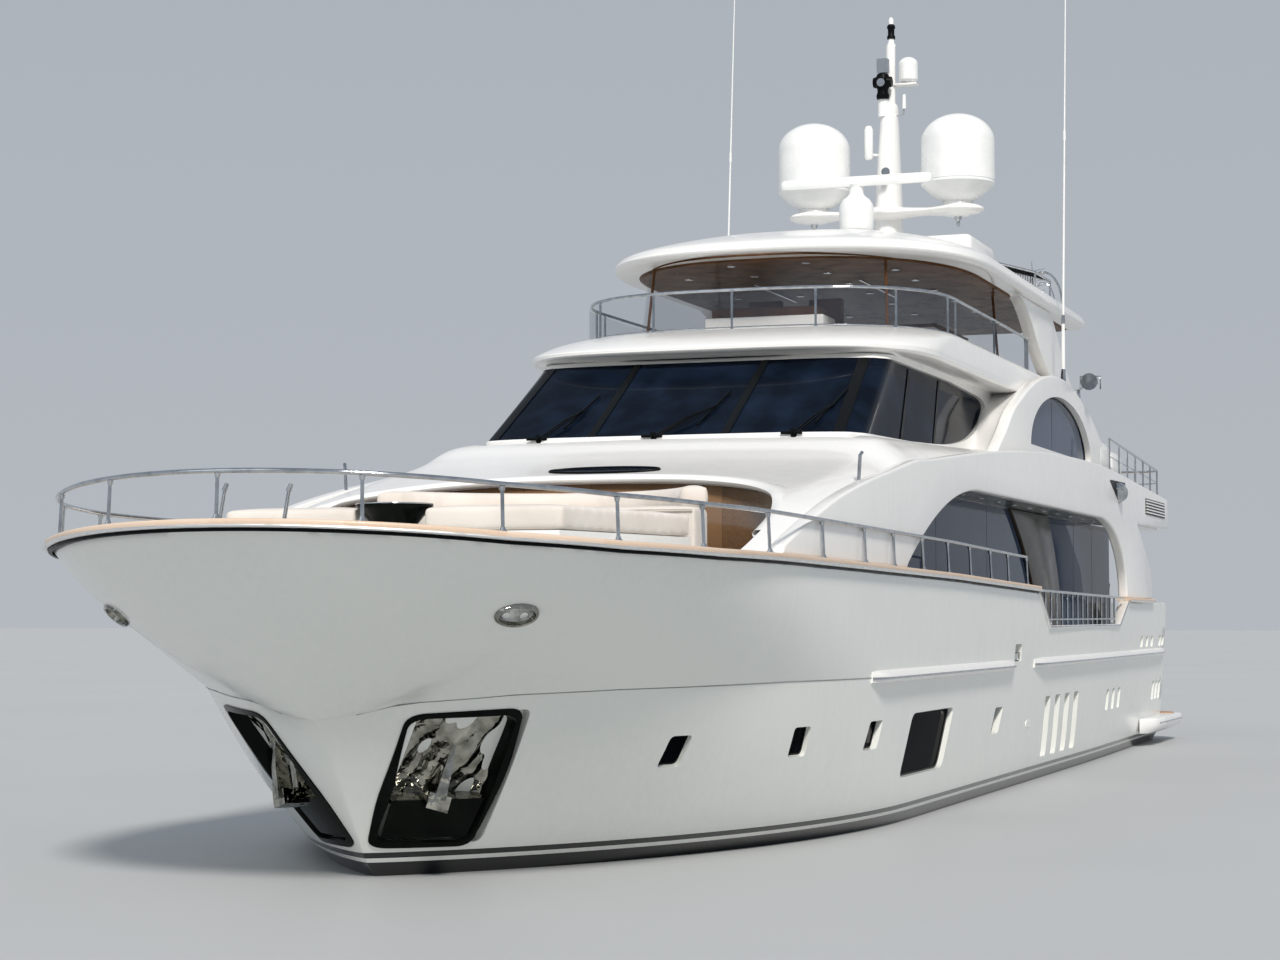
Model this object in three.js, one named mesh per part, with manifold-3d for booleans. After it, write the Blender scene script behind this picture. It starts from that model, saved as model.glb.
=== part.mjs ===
// Motor yacht afloat, about 35 m long.
// Millimetres, +X to the bow, +Y to port, +Z up, origin on the waterline amidships.
import * as THREE from "three";
import { mergeVertices } from "three/addons/utils/BufferGeometryUtils.js";
import Module from "manifold-3d";

const wasm = await Module();
wasm.setup();

// Driving dimensions
const TRANSOM_X = -16000;
const PLATFORM_END_X = -17300;
const MAIN_DECK_Z = 2300;
const FOREDECK_Z = 2750;
const FOREDECK_START_X = 8000;
const BULWARK = 150;
const SEAT_GAP = 0.4;
const UPPER_DECK = { under: 4410, top: 4600, halfWidth: 3360, front: 6100, aft: -16350 };
const SUNDECK_Z = 6400;
const COAMING_Z = 6800;
const SALOON = { halfWidth: 2750, wall: 80, front: 5980, aft: -11500 };
const LOUNGE_AFT_X = -8500;
const SHAFT_Y = 1450;
const SHAFT_TILT = 0.12;
const PROPELLER = { x: -13650, z: -1440, radius: 470 };
const RUDDER_X = -14750;
const RUDDER = { boss: -900, socket: 90, top: -906, low: -1850, stockRadius: 60 };

// Finishes
const finish = (color, roughness, metalness = 0, opacity = 1) =>
  new THREE.MeshStandardMaterial({ color, roughness, metalness, opacity, transparent: opacity < 1 });
const GELCOAT = finish(0xf1f3f3, 0.25);
const TEAK = finish(0xb98d62, 0.6);
const STEEL = finish(0xc9ccd0, 0.15, 1);
const DARK_GLASS = finish(0x16202c, 0.06, 0, 0.85);
const CLEAR_GLASS = finish(0x8fa3b5, 0.05, 0, 0.4);
const BRONZE = finish(0xa87b45, 0.35, 1);
const CANVAS = finish(0xd9cdb9, 0.85);

// Solids
function solidOf(geometry) {
  const plain = geometry.clone();
  for (const name of Object.keys(plain.attributes)) if (name !== "position") plain.deleteAttribute(name);
  const merged = mergeVertices(plain, 1e-2);
  const source = merged.index.array;
  const kept = [];
  for (let i = 0; i < source.length; i += 3) {
    const [a, b, c] = [source[i], source[i + 1], source[i + 2]];
    if (a !== b && b !== c && c !== a) kept.push(a, b, c);
  }
  const made = new wasm.Manifold(
    new wasm.Mesh({
      numProp: 3,
      vertProperties: merged.attributes.position.array,
      triVerts: new Uint32Array(kept),
    }),
  );
  if (made.volume() < 0) throw new Error("a solid is inside out");
  return made;
}

function geometryOf(solid) {
  const mesh = solid.getMesh();
  const geometry = new THREE.BufferGeometry();
  geometry.setAttribute("position", new THREE.BufferAttribute(new Float32Array(mesh.vertProperties), 3));
  geometry.setIndex(new THREE.BufferAttribute(new Uint32Array(mesh.triVerts), 1));
  return geometry;
}

// Rings of the same count of points, in order, joined side to side and capped at both ends.
function loft(rings) {
  const count = rings[0].length;
  const positions = rings.flat().flatMap((p) => [p.x, p.y, p.z]);
  const index = [];
  for (let r = 0; r + 1 < rings.length; r++)
    for (let i = 0; i < count; i++) {
      const j = (i + 1) % count;
      const [a, b, c, d] = [r * count + i, r * count + j, (r + 1) * count + j, (r + 1) * count + i];
      index.push(a, b, c, a, c, d);
    }
  const cap = (r, flip) => {
    const ring = rings[r];
    const normal = new THREE.Vector3();
    ring.forEach((p, i) => normal.add(new THREE.Vector3().crossVectors(p, ring[(i + 1) % count])));
    if (normal.length() < 1) return;
    normal.normalize();
    const across = new THREE.Vector3().subVectors(ring[Math.floor(count / 2)], ring[0]);
    const u = across.projectOnPlane(normal).normalize();
    const v = new THREE.Vector3().crossVectors(normal, u);
    // a shift of a micrometre keeps points that lie on a straight edge
    const flat = ring.map(
      (p, i) => new THREE.Vector2(p.dot(u) + 1e-3 * Math.sin(13 * i), p.dot(v) + 1e-3 * Math.cos(29 * i)),
    );
    for (const [a, b, c] of THREE.ShapeUtils.triangulateShape(flat, [])) {
      const base = r * count;
      index.push(base + a, base + (flip ? c : b), base + (flip ? b : c));
    }
  };
  cap(0, true);
  cap(rings.length - 1, false);
  const geometry = new THREE.BufferGeometry();
  geometry.setAttribute("position", new THREE.Float32BufferAttribute(positions, 3));
  geometry.setIndex(index);
  let made;
  try {
    made = solidOf(geometry);
  } catch {
    for (let i = 0; i < index.length; i += 3) [index[i + 1], index[i + 2]] = [index[i + 2], index[i + 1]];
    geometry.setIndex(index);
    made = solidOf(geometry);
  }
  return made;
}

const V = (x, y, z) => new THREE.Vector3(x, y, z);
const box = (x0, x1, y0, y1, z0, z1) =>
  solidOf(
    new THREE.BoxGeometry(x1 - x0, y1 - y0, z1 - z0).translate((x0 + x1) / 2, (y0 + y1) / 2, (z0 + z1) / 2),
  );
const union = (...solids) => solids.flat().reduce((a, b) => a.add(b));

// What is left of a solid beside its neighbour, with the seat gap between the two.
function clearOf(whole, neighbour, gap = SEAT_GAP) {
  let solid = whole.subtract(neighbour);
  for (const x of [gap, -gap])
    for (const y of [gap, -gap])
      for (const z of [gap, -gap]) solid = solid.subtract(neighbour.translate([x, y, z]));
  return solid;
}

// A side view outline of [x, z] points, extruded from y0 to y1.
function sidePlate(outline, y0, y1) {
  const area = THREE.ShapeUtils.area(outline.map(([x, z]) => new THREE.Vector2(x, z)));
  const points = area > 0 ? outline : [...outline].reverse();
  return loft([y1, y0].map((y) => points.map(([x, z]) => V(x, y, z))));
}

// Stacked level outlines of [x, y] port points from aft to bow, mirrored to starboard.
function levels(list) {
  return loft(
    list.map(({ z, port }) => {
      const starboard = port.filter(([, y]) => y > 1).map(([x, y]) => [x, -y]);
      return [...port, ...starboard.reverse()].reverse().map(([x, y]) => V(x, y, z));
    }),
  );
}

function cylinder(from, to, r0, r1 = r0, sides = 8) {
  const axis = new THREE.Vector3().subVectors(to, from);
  const turn = new THREE.Quaternion().setFromUnitVectors(V(0, 1, 0), axis.clone().normalize());
  const geometry = new THREE.CylinderGeometry(r1, r0, axis.length(), sides)
    .applyQuaternion(turn)
    .translate((from.x + to.x) / 2, (from.y + to.y) / 2, (from.z + to.z) / 2);
  return solidOf(geometry);
}

// A round bar along points, with flat ends.
function bar(points, radius, sides = 6) {
  const rings = points.map((p, i) => {
    const before = points[Math.max(i - 1, 0)];
    const after = points[Math.min(i + 1, points.length - 1)];
    const along = new THREE.Vector3().subVectors(after, before).normalize();
    const side = new THREE.Vector3().crossVectors(along, V(0, 0, 1)).normalize();
    const up = new THREE.Vector3().crossVectors(side, along);
    return Array.from({ length: sides }, (_, k) => {
      const a = (2 * Math.PI * k) / sides;
      return p.clone().addScaledVector(side, radius * Math.cos(a)).addScaledVector(up, radius * Math.sin(a));
    });
  });
  return loft(rings);
}

// A turned body about a vertical axis, from [radius, z] points.
const turned = (profile, x, y, sides = 24) =>
  solidOf(
    new THREE.LatheGeometry(profile.map(([r, z]) => new THREE.Vector2(r, z)), sides)
      .rotateX(Math.PI / 2)
      .translate(x, y, 0),
  );

const root = new THREE.Group();
function add(name, solid, material) {
  const mesh = new THREE.Mesh(geometryOf(solid), material);
  mesh.name = name;
  root.add(mesh);
}
const SIDES = [
  ["port", 1],
  ["starboard", -1],
];
const mirrored = (solid, side) => (side > 0 ? solid : solid.mirror([0, 1, 0]));

// Hull form
// Half breadth of an entrance that is full aft: 0 at the stem, beam from `run` metres aft of it.
const fullness = (fromStem, run, p, q) =>
  fromStem <= 0 ? 0 : Math.pow(1 - Math.pow(1 - Math.min(fromStem / run, 1), p), 1 / q);
const smooth = (t) => t * t * (3 - 2 * t);
const along = (table, x) => {
  if (x >= table[0][0]) return table[0][1];
  for (let i = 0; i + 1 < table.length; i++) {
    const [x0, v0] = table[i];
    const [x1, v1] = table[i + 1];
    if (x >= x1) return v0 + ((v1 - v0) * (x0 - x)) / (x0 - x1);
  }
  return table[table.length - 1][1];
};
// Height of each line along the hull: [x, z]
const KEEL_Z = [[12600, -1150], [9000, -1420], [3000, -1500], [-6000, -1400], [-16000, -900]];
const BOTTOM_Z = [[13100, -950], [9000, -1150], [3000, -1230], [-6000, -1150], [-16000, -780]];
const BILGE_Z = [[13900, -450], [8000, -640], [-6000, -660], [-16000, -520]];
const FLOAT_Z = [[14450, 30], [-16000, 60]];
const CHINE_Z = [[14720, 310], [-16000, 310]];
const TOPSIDE_Z = [[15200, 980], [12000, 1080], [-16000, 1060]];
const KNUCKLE_Z = [[15750, 1620], [15450, 1780], [14700, 1850], [13700, 1880], [11000, 1900], [8000, 1880],
  [-16000, 1860]];
const SHEER_Z = [[17700, 3430], [16600, 3320], [15500, 3260], [14000, 3225], [12400, 3215], [8800, 3180],
  [4200, 3130], [-1600, 3020], [-10600, 2900], [-16000, 2890]];
const between = (g) => (x) => along(KNUCKLE_Z, x) * (1 - g) + along(SHEER_Z, x) * g;
// One row for each line: stem x, height, half beam, length of entrance, powers p and q of its curve
const LINES = [
  { stem: 12600, z: (x) => along(KEEL_Z, x), beam: 0, run: 9000, p: 2, q: 1 },
  { stem: 13100, z: (x) => along(BOTTOM_Z, x), beam: 1600, run: 9000, p: 1.8, q: 1.1 },
  { stem: 13900, z: (x) => along(BILGE_Z, x), beam: 3050, run: 9000, p: 2, q: 1.1 },
  { stem: 14450, z: (x) => along(FLOAT_Z, x), beam: 3360, run: 9000, p: 2.2, q: 1.15 },
  { stem: 14720, z: (x) => along(CHINE_Z, x), beam: 3480, run: 8600, p: 2.2, q: 1.2 },
  { stem: 15200, z: (x) => along(TOPSIDE_Z, x), beam: 3550, run: 8400, p: 2.4, q: 1.4 },
  { stem: 15750, z: (x) => along(KNUCKLE_Z, x), beam: 3600, run: 8200, p: 2.5, q: 1.6 },
  { stem: 16400, z: between(0.34), beam: 3630, run: 7700, p: 2.7, q: 1.75 },
  { stem: 17050, z: between(0.67), beam: 3650, run: 7100, p: 2.85, q: 1.9 },
  { stem: 17700, z: (x) => along(SHEER_Z, x), beam: 3660, run: 6600, p: 3, q: 2 },
];
const AFT_TAPER_X = -6000;
const TRANSOM_NARROWING = 0.03;
const taper = (x) =>
  1 - TRANSOM_NARROWING * smooth(Math.max(0, (AFT_TAPER_X - x) / (AFT_TAPER_X - TRANSOM_X)));
const breadth = (line, x, inset = 0) =>
  Math.max(0, (line.beam - inset) * fullness(line.stem - inset - x, line.run, line.p, line.q) * taper(x));
const KNUCKLE = LINES[6];
const SHEER = LINES[9];

// The line that lies a share g of the way from knuckle to sheer.
const flareLine = (g) => {
  const mix = (name) => KNUCKLE[name] * (1 - g) + SHEER[name] * g;
  return { stem: mix("stem"), beam: mix("beam"), run: mix("run"), p: mix("p"), q: mix("q") };
};
const bunched = (i, n, power) => 1 - Math.pow(1 - i / n, power);

const STATIONS = 27;
const stationOf = (line, i) => {
  const x = TRANSOM_X + (line.stem - TRANSOM_X) * bunched(i, STATIONS, 1.9);
  return V(x, breadth(line, x), line.z(x));
};
function hullBody() {
  const rings = [];
  for (let i = 0; i <= STATIONS; i++) {
    const port = LINES.map((line) => stationOf(line, i));
    const starboard = port.slice(1).reverse().map((p) => V(p.x, -p.y, p.z));
    rings.push([...port, ...starboard]);
  }
  return loft(rings);
}

// Space inside the bulwarks, above a floor, from x0 to the bow.
function well(floor, x0) {
  const POINTS = 16;
  return levels(
    [floor, floor + 350, 3300, 4200].map((z) => {
      const line = flareLine(Math.min(1, Math.max(0, (z - 1850) / 1600)));
      const port = [[x0, 0.5]];
      for (let i = 0; i < POINTS; i++) {
        const x = x0 + (line.stem - BULWARK - x0) * bunched(i, POINTS, 1.8);
        port.push([x, breadth(line, x, BULWARK)]);
      }
      port.push([line.stem - BULWARK, 0.5]);
      return { z, port };
    }),
  );
}
// The same space, ending square at x1.
const wellTo = (floor, x0, x1) => well(floor, x0).intersect(box(x0 - 10, x1, -5000, 5000, floor - 10, 5000));

// Bulwark cut down for the side balconies: forward top, forward sill, aft sill, aft top
const BALCONY = { topFront: -1550, sillFront: -2500, sillAft: -9450, topAft: -10650, sill: 2450 };
const balconyCut = () =>
  sidePlate(
    [
      [BALCONY.topFront, 3600],
      [BALCONY.topFront, along(SHEER_Z, BALCONY.topFront) + 1],
      [BALCONY.sillFront, BALCONY.sill],
      [BALCONY.sillAft, BALCONY.sill],
      [BALCONY.topAft, along(SHEER_Z, BALCONY.topAft) + 1],
      [BALCONY.topAft, 3600],
    ],
    3300,
    3900,
  );

// Stowed anchor recess in each bow, as a prism square to the flare: corners in side view.
const POCKET = [[14700, 340], [13980, 320], [14550, 1690], [15330, 1650]];
function anchorPocket() {
  const outer = POCKET.map(([x, z], i) => V(x, [90, 1060, 1850, 960][i], z));
  const into = V(-0.55, -0.8, 0.1).normalize();
  const rings = [420, -260].map((d) => outer.map((p) => p.clone().addScaledVector(into, -d)));
  return loft(rings);
}

// Window recesses in the topsides: centre x, centre z, width, height, how far the top leans forward, depth
const PORTLIGHTS = [
  { x: 12530, z: 1200, w: 310, h: 340, lean: 50, depth: 120 },
  { x: 10350, z: 1210, w: 390, h: 340, lean: 40, depth: 110 },
  { x: 8140, z: 1190, w: 520, h: 340, lean: -170, depth: 90 },
  { x: 5430, z: 990, w: 2300, h: 790, lean: -530, depth: 90 },
  { x: 1160, z: 1090, w: 520, h: 380, lean: -270, depth: 90 },
];
const AIR_INTAKES = [-2660, -3510, -4360, -5210].map((x) => ({ x, z: 850, w: 430, h: 960, lean: -150, depth: 120 }));
const STERN_LIGHTS = [-8600, -9300, -10000, -14700, -15140, -15580].map((x) => ({
  x, z: 1080, w: 300, h: 380, lean: -100, depth: 100,
}));
function sideRecess({ x, z, w, h, lean, depth }) {
  const outline = [
    [x - w / 2 - lean / 2, z - h / 2],
    [x + w / 2 - lean / 2, z - h / 2],
    [x + w / 2 + lean / 2, z + h / 2],
    [x - w / 2 + lean / 2, z + h / 2],
  ];
  const surface = breadth(LINES[5], x);
  return sidePlate(outline, surface - depth, surface + 700);
}

// Rubbing strake along the knuckle, from x0 aft to x1.
function rubbingStrake(x0, x1) {
  const COUNT = 8;
  const rings = [];
  for (let i = 0; i <= COUNT; i++) {
    const x = x0 + ((x1 - x0) * i) / COUNT;
    const proud = 110 * Math.sin(Math.min(1, Math.min(i, COUNT - i) / 1.5 + 0.12) * (Math.PI / 2));
    const y = breadth(KNUCKLE, x);
    const z = along(KNUCKLE_Z, x);
    rings.push([
      V(x, y - 60, z - 80),
      V(x, y + proud * 0.7, z - 60),
      V(x, y + proud, z),
      V(x, y + proud * 0.6, z + 70),
      V(x, y - 60, z + 110),
    ]);
  }
  return loft(rings);
}

const STAIR = { inner: 2450, outer: 3250, rise: 250, tread: 260, foot: 560, steps: 7 };
function sternStairs() {
  const { inner, outer, rise, tread, foot, steps } = STAIR;
  return Array.from({ length: steps }, (_, i) =>
    box(TRANSOM_X - 300, TRANSOM_X + tread * (i + 1) - 60, inner, outer, foot + rise * i, 4000),
  );
}
const GARAGE = {
  halfWidth: 1800,
  floor: 800,
  top: 2020,
  doorTop: 2000,
  depth: 3200,
  lip: 60,
  door: 110,
  gap: 8,
};
const HINGE = {
  x: TRANSOM_X + 45,
  z: 2070,
  radius: 30,
  swing: 12,
  places: [-1200, 1200],
  length: 160,
  sides: 16,
};
// Radius of the seat round a turning barrel: its flats stay just clear of the barrel's corners
const seatRadius = (radius, sides) => (radius + SEAT_GAP / 2) / Math.cos(Math.PI / sides);

// Keel: x, half width and underside of each section
const KEEL = [[8800, 60, -1200], [8200, 150, -1950], [-8200, 150, -1950], [-10200, 60, -1300]];
const KEEL_ROOT_Z = -900;
const makeKeel = () =>
  loft(KEEL.map(([x, w, low]) => [V(x, -w, low), V(x, w, low), V(x, w, KEEL_ROOT_Z), V(x, -w, KEEL_ROOT_Z)]));
const TRANSOM_THICK = 380;
// Hull bosses that the rudder stocks turn in
const RUDDER_BOSS = { top: -600, radius: 140, sides: 16 };
function rudderSeat(y) {
  const seat = seatRadius(RUDDER.stockRadius, RUDDER_BOSS.sides);
  const { top, radius, sides } = RUDDER_BOSS;
  const at = (z) => V(RUDDER_X, y, z);
  return {
    boss: cylinder(at(top), at(RUDDER.boss), radius, radius, sides),
    socket: cylinder(at(RUDDER.boss + RUDDER.socket), at(RUDDER.boss - 50), seat, seat, sides),
  };
}
// Garage opening, its rebate for the door, and the seats of the door's hinges
function garageCuts() {
  const { halfWidth, floor, top, depth, lip, door, gap } = GARAGE;
  const inner = halfWidth - lip;
  const out = TRANSOM_X - 100;
  const cuts = [
    box(out, TRANSOM_X + depth, -inner, inner, floor + lip, top - lip),
    box(out, TRANSOM_X + door + gap, -halfWidth - gap, halfWidth + gap, floor - gap, top + gap),
  ];
  const seat = seatRadius(HINGE.radius, HINGE.sides);
  const half = HINGE.length / 2 + gap;
  for (const y of HINGE.places) {
    cuts.push(cylinder(V(HINGE.x, y - half, HINGE.z), V(HINGE.x, y + half, HINGE.z), seat, seat, HINGE.sides));
    cuts.push(box(out, HINGE.x, y - half, y + half, top, HINGE.z + HINGE.radius + HINGE.swing));
    cuts.push(box(out, HINGE.x + HINGE.radius * 0.7, y - half, y + half, top, HINGE.z - 10));
  }
  return union(cuts);
}

function makeHull() {
  let hull = hullBody().add(makeKeel());
  hull = hull.subtract(wellTo(MAIN_DECK_Z, TRANSOM_X + TRANSOM_THICK, FOREDECK_START_X));
  hull = hull.subtract(well(FOREDECK_Z, FOREDECK_START_X - 5));
  const tools = [balconyCut(), anchorPocket()];
  [...PORTLIGHTS, ...AIR_INTAKES, ...STERN_LIGHTS].forEach((light) => tools.push(sideRecess(light)));
  tools.push(...sternStairs());
  const strakes = [rubbingStrake(8450, 150), rubbingStrake(-1400, -15990)];
  for (const [, side] of SIDES) {
    for (const strake of strakes) hull = hull.add(mirrored(strake, side));
    for (const tool of tools) hull = hull.subtract(mirrored(tool, side));
  }
  for (const [, side] of SIDES) {
    const { boss, socket } = rudderSeat(side * SHAFT_Y);
    hull = hull.add(boss).subtract(socket);
  }
  return hull.subtract(garageCuts());
}
const hull = makeHull();

// The bulwarks are bodies of their own above the deck line: one round both sides and the bow, one on the transom
const DECK_LINE = [
  { x0: TRANSOM_X - 500, x1: FOREDECK_START_X - SEAT_GAP, z: MAIN_DECK_Z },
  { x0: FOREDECK_START_X - SEAT_GAP, x1: 20000, z: FOREDECK_Z },
];
const aboveDeck = (gap) => union(DECK_LINE.map(({ x0, x1, z }) => box(x0, x1, -5000, 5000, z + gap, 6000)));
const transomWall = box(TRANSOM_X - 500, TRANSOM_X + TRANSOM_THICK + 10, -STAIR.inner - 20, STAIR.inner + 20, 0, 6000);
add("hull", hull.subtract(aboveDeck(0)).subtract(box(7990, 8000, -5000, 5000, FOREDECK_Z - 5, 6000)), GELCOAT);
add("bulwark", hull.intersect(aboveDeck(SEAT_GAP)).subtract(transomWall), GELCOAT);
add("transom_bulwark", hull.intersect(aboveDeck(SEAT_GAP)).intersect(transomWall), GELCOAT);

// The top of the hull side, port, from aft to the bow, and a place on it with its outward direction in plan
const RIM = Array.from({ length: STATIONS + 1 }, (_, i) => stationOf(SHEER, i));
function sheerPoint(x, inset = 0) {
  const i = Math.max(1, RIM.findIndex((p) => p.x >= x));
  const [a, b] = [RIM[i - 1], RIM[i]];
  const out = V(a.y - b.y, b.x - a.x, 0).normalize();
  return { point: a.clone().lerp(b, (x - a.x) / (b.x - a.x)).addScaledVector(out, -inset), out };
}

// Cap rail on the bulwark, as a flat plank that follows the sheer
const CAP = { outer: 60, inner: 230, height: 60 };
function capPlank(path) {
  const rings = path.map(({ point, out }) => {
    const edge = (d, dz) => point.clone().addScaledVector(out, d).setZ(point.z + dz);
    const low = 2 * SEAT_GAP;
    return [edge(-CAP.inner, low), edge(CAP.outer, low), edge(CAP.outer, CAP.height), edge(-CAP.inner, CAP.height)];
  });
  return loft(rings);
}
// Places round the bow from x0 on the port side to x0 on the starboard side, at the hull's own stations
function bowPath(x0, inset) {
  const stations = RIM.filter((p) => p.x > x0 + 100 && p.x < SHEER.stem - 2);
  const port = [sheerPoint(x0, inset)];
  stations.forEach((p) => {
    const [before, after] = [sheerPoint(p.x - 5), sheerPoint(p.x + 5)];
    const out = before.out.clone().add(after.out).normalize();
    port.push({ point: p.clone().addScaledVector(out, -inset), out });
  });
  const tip = { point: V(SHEER.stem - inset, 0, RIM[STATIONS].z), out: V(1, 0, 0) };
  const starboard = [...port].reverse().map(({ point, out }) => ({
    point: V(point.x, -point.y, point.z),
    out: V(out.x, -out.y, 0),
  }));
  return [...port, tip, ...starboard];
}
const bowCap = capPlank(bowPath(BALCONY.topFront + 30, 0));
add("bow_cap_rail", bowCap, TEAK);

// Stern caps, from the balconies to the stairs
const STERN_CAP_X = [BALCONY.topAft - 30, -10900, -12500, -14100];
for (const [name, side] of SIDES) {
  const path = STERN_CAP_X.map((x) => sheerPoint(x));
  add(`stern_cap_rail_${name}`, mirrored(capPlank(path), side), TEAK);
}
const RAIL_RADIUS = 24;
const POST_RADIUS = 18;
const post = (foot, top) => cylinder(foot, top, POST_RADIUS, POST_RADIUS, 6);

// Bow rail: stanchions on the cap rail, leaning out a little, under one bent tube
function makeBowRail() {
  const HEIGHT = 430;
  const INSET = 45;
  const path = bowPath(-900, INSET);
  const topOf = ({ point, out }) => point.clone().addScaledVector(out, -20).setZ(point.z + CAP.height + HEIGHT);
  const tops = path.map(topOf);
  const solids = [bar(tops, RAIL_RADIUS)];
  const POST_X = [-900, 520, 1750, 3000, 4300, 5650, 7050, 8500, 10000, 11500, 13000, 14500, 15900, 16950,
    17500];
  for (const x of POST_X) {
    const place = sheerPoint(x, INSET);
    const foot = place.point.clone().setZ(place.point.z + CAP.height - 6);
    for (const side of [1, -1]) {
      const a = V(foot.x, foot.y * side, foot.z);
      const top = topOf(place);
      solids.push(post(a, V(top.x, top.y * side, top.z)));
    }
  }
  const tip = path[(path.length - 1) / 2];
  solids.push(post(tip.point.clone().setZ(tip.point.z + CAP.height - 6), topOf(tip)));
  return clearOf(union(solids), bowCap);
}
add("bow_rail", makeBowRail(), STEEL);

// Balcony rails between the cut ends of the bulwark
function makeBalconyRail() {
  const y = 3560;
  const top = 3010;
  const ends = [BALCONY.topFront - 150, BALCONY.topAft + 330];
  const solids = [bar([V(ends[0], y, top + 20), V(ends[1], y, top - 60)], RAIL_RADIUS)];
  solids.push(bar([V(BALCONY.sillFront - 120, y, 2560), V(BALCONY.sillAft + 120, y, 2560)], POST_RADIUS));
  const COUNT = 10;
  for (let i = 0; i < COUNT; i++) {
    const x = BALCONY.sillFront - 150 + ((BALCONY.sillAft + 150 - BALCONY.sillFront + 150) * i) / (COUNT - 1);
    solids.push(post(V(x, y, BALCONY.sill + SEAT_GAP), V(x, y, top - 10)));
  }
  return union(solids);
}
for (const [name, side] of SIDES) add(`balcony_rail_${name}`, mirrored(makeBalconyRail(), side), STEEL);

// Swim platform, wrapped round the stern quarters
function makePlatform() {
  const HALF = 3780;
  const FRONT = -12600;
  const outline = (grow) => {
    const port = [[TRANSOM_X - SEAT_GAP, 0.5], [TRANSOM_X - SEAT_GAP, 3100], [FRONT - 300, 3300]];
    port.push([FRONT - 900, HALF - 20 + grow], [-14500, HALF + grow], [PLATFORM_END_X + 900, HALF + grow]);
    for (let i = 0; i <= 5; i++) {
      const a = (i / 5) * (Math.PI / 2);
      port.push([PLATFORM_END_X + 800 - (800 + grow) * Math.sin(a), HALF - 800 + (800 + grow) * Math.cos(a)]);
    }
    port.push([PLATFORM_END_X - grow, 0.5]);
    return port;
  };
  return levels([
    { z: 260, port: outline(-160) },
    { z: 400, port: outline(0) },
    { z: 520, port: outline(0) },
    { z: 555, port: outline(-40) },
  ]);
}
add("swim_platform", clearOf(makePlatform(), hull), GELCOAT);

// Side panels: the sweeping profile over the side deck, with its arch and aft leg
const PANEL = { inner: 3380, outer: 3560 };
const ARCH_TOP = 4400;
const CAP_TOP = (x) => sheerPoint(x).point.z + CAP.height + 2 * SEAT_GAP;
const PANEL_TOP = [[11900, 3370], [11000, 3640], [9800, 3960], [8500, 4220], [7200, 4430], [6000, 4620],
  [5000, 4700], [2700, 4910], [400, 5090], [-3400, 5290], [-8600, 5350], [-13900, 5180], [-16400, 5080]];
const arc = (cx, cz, rx, rz, from, to, count) =>
  Array.from({ length: count + 1 }, (_, i) => {
    const a = ((from + ((to - from) * i) / count) * Math.PI) / 180;
    return [cx + rx * Math.cos(a), cz + rz * Math.sin(a)];
  });
// The arch falls to the cap rail forward as a parabola
const ARCH_FRONT = { from: 2070, to: 6450, drop: 1130, count: 8 };
const archFront = () =>
  Array.from({ length: ARCH_FRONT.count + 1 }, (_, i) => {
    const t = i / ARCH_FRONT.count;
    return [ARCH_FRONT.from + (ARCH_FRONT.to - ARCH_FRONT.from) * t, ARCH_TOP - ARCH_FRONT.drop * t * t];
  });
function sidePanel() {
  const foot = [11950, 10500, 8800, 7500, 6500].map((x) => [x, CAP_TOP(x)]);
  const outline = [
    ...PANEL_TOP,
    [-16500, 4460],
    [-12250, 4430],
    ...arc(-11400, CAP_TOP(-14100), -2700, 1400, 28, 0, 4),
    [-12500, CAP_TOP(-12500)],
    ...arc(-8000, CAP_TOP(-10900), -2900, ARCH_TOP - CAP_TOP(-10900), 0, 90, 5),
    ...archFront(),
    ...foot.reverse(),
  ];
  return sidePlate(outline, PANEL.inner, PANEL.outer);
}
for (const [name, side] of SIDES) add(`side_panel_${name}`, mirrored(sidePanel(), side), GELCOAT);

// Upper deck slab, laid between the side panels
add(
  "upper_deck",
  levels(
    [UPPER_DECK.under, UPPER_DECK.top].map((z) => ({
      z,
      port: [
        [UPPER_DECK.aft, 0.5],
        [UPPER_DECK.aft, PANEL.inner - SEAT_GAP - 250],
        [UPPER_DECK.aft + 250, PANEL.inner - SEAT_GAP],
        [UPPER_DECK.front, PANEL.inner - SEAT_GAP],
        [UPPER_DECK.front, 0.5],
      ],
    })),
  ),
  GELCOAT,
);

// Teak laid on the open deck aft of the wings
const AFT_TEAK = { x0: -15800, x1: -12600, half: 3150, top: UPPER_DECK.top + 25, thick: 25 - SEAT_GAP };
add(
  "upper_aft_teak",
  box(AFT_TEAK.x0, AFT_TEAK.x1, -AFT_TEAK.half, AFT_TEAK.half, AFT_TEAK.top - AFT_TEAK.thick, AFT_TEAK.top),
  TEAK,
);

// Saloon walls on the main deck: two sides and the aft bulkhead, with their windows cut
const SALOON_WINDOW = { front: 5200, aft: -10600, low: 2950, high: 4180 };
const DOORWAY = { half: 1500, high: 4300 };
function makeSaloon() {
  const { halfWidth, wall, front, aft } = SALOON;
  const low = MAIN_DECK_Z + SEAT_GAP;
  const high = UPPER_DECK.under - SEAT_GAP;
  let walls = box(aft, front, -halfWidth, halfWidth, low, high);
  walls = walls.subtract(box(aft + wall, front + 10, -halfWidth + wall, halfWidth - wall, low - 10, high + 10));
  const window = SALOON_WINDOW;
  walls = walls.subtract(box(window.aft, window.front, -halfWidth - 10, halfWidth + 10, window.low, window.high));
  return walls.subtract(box(aft - 10, aft + wall + 10, -DOORWAY.half, DOORWAY.half, low - 10, DOORWAY.high));
}
add("saloon_walls", makeSaloon(), GELCOAT);
function makeSaloonGlass() {
  const { front, aft, low, high } = SALOON_WINDOW;
  const y = SALOON.halfWidth;
  return box(aft + SEAT_GAP, front - SEAT_GAP, y - 50, y - 20, low + SEAT_GAP, high - SEAT_GAP);
}
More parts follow.
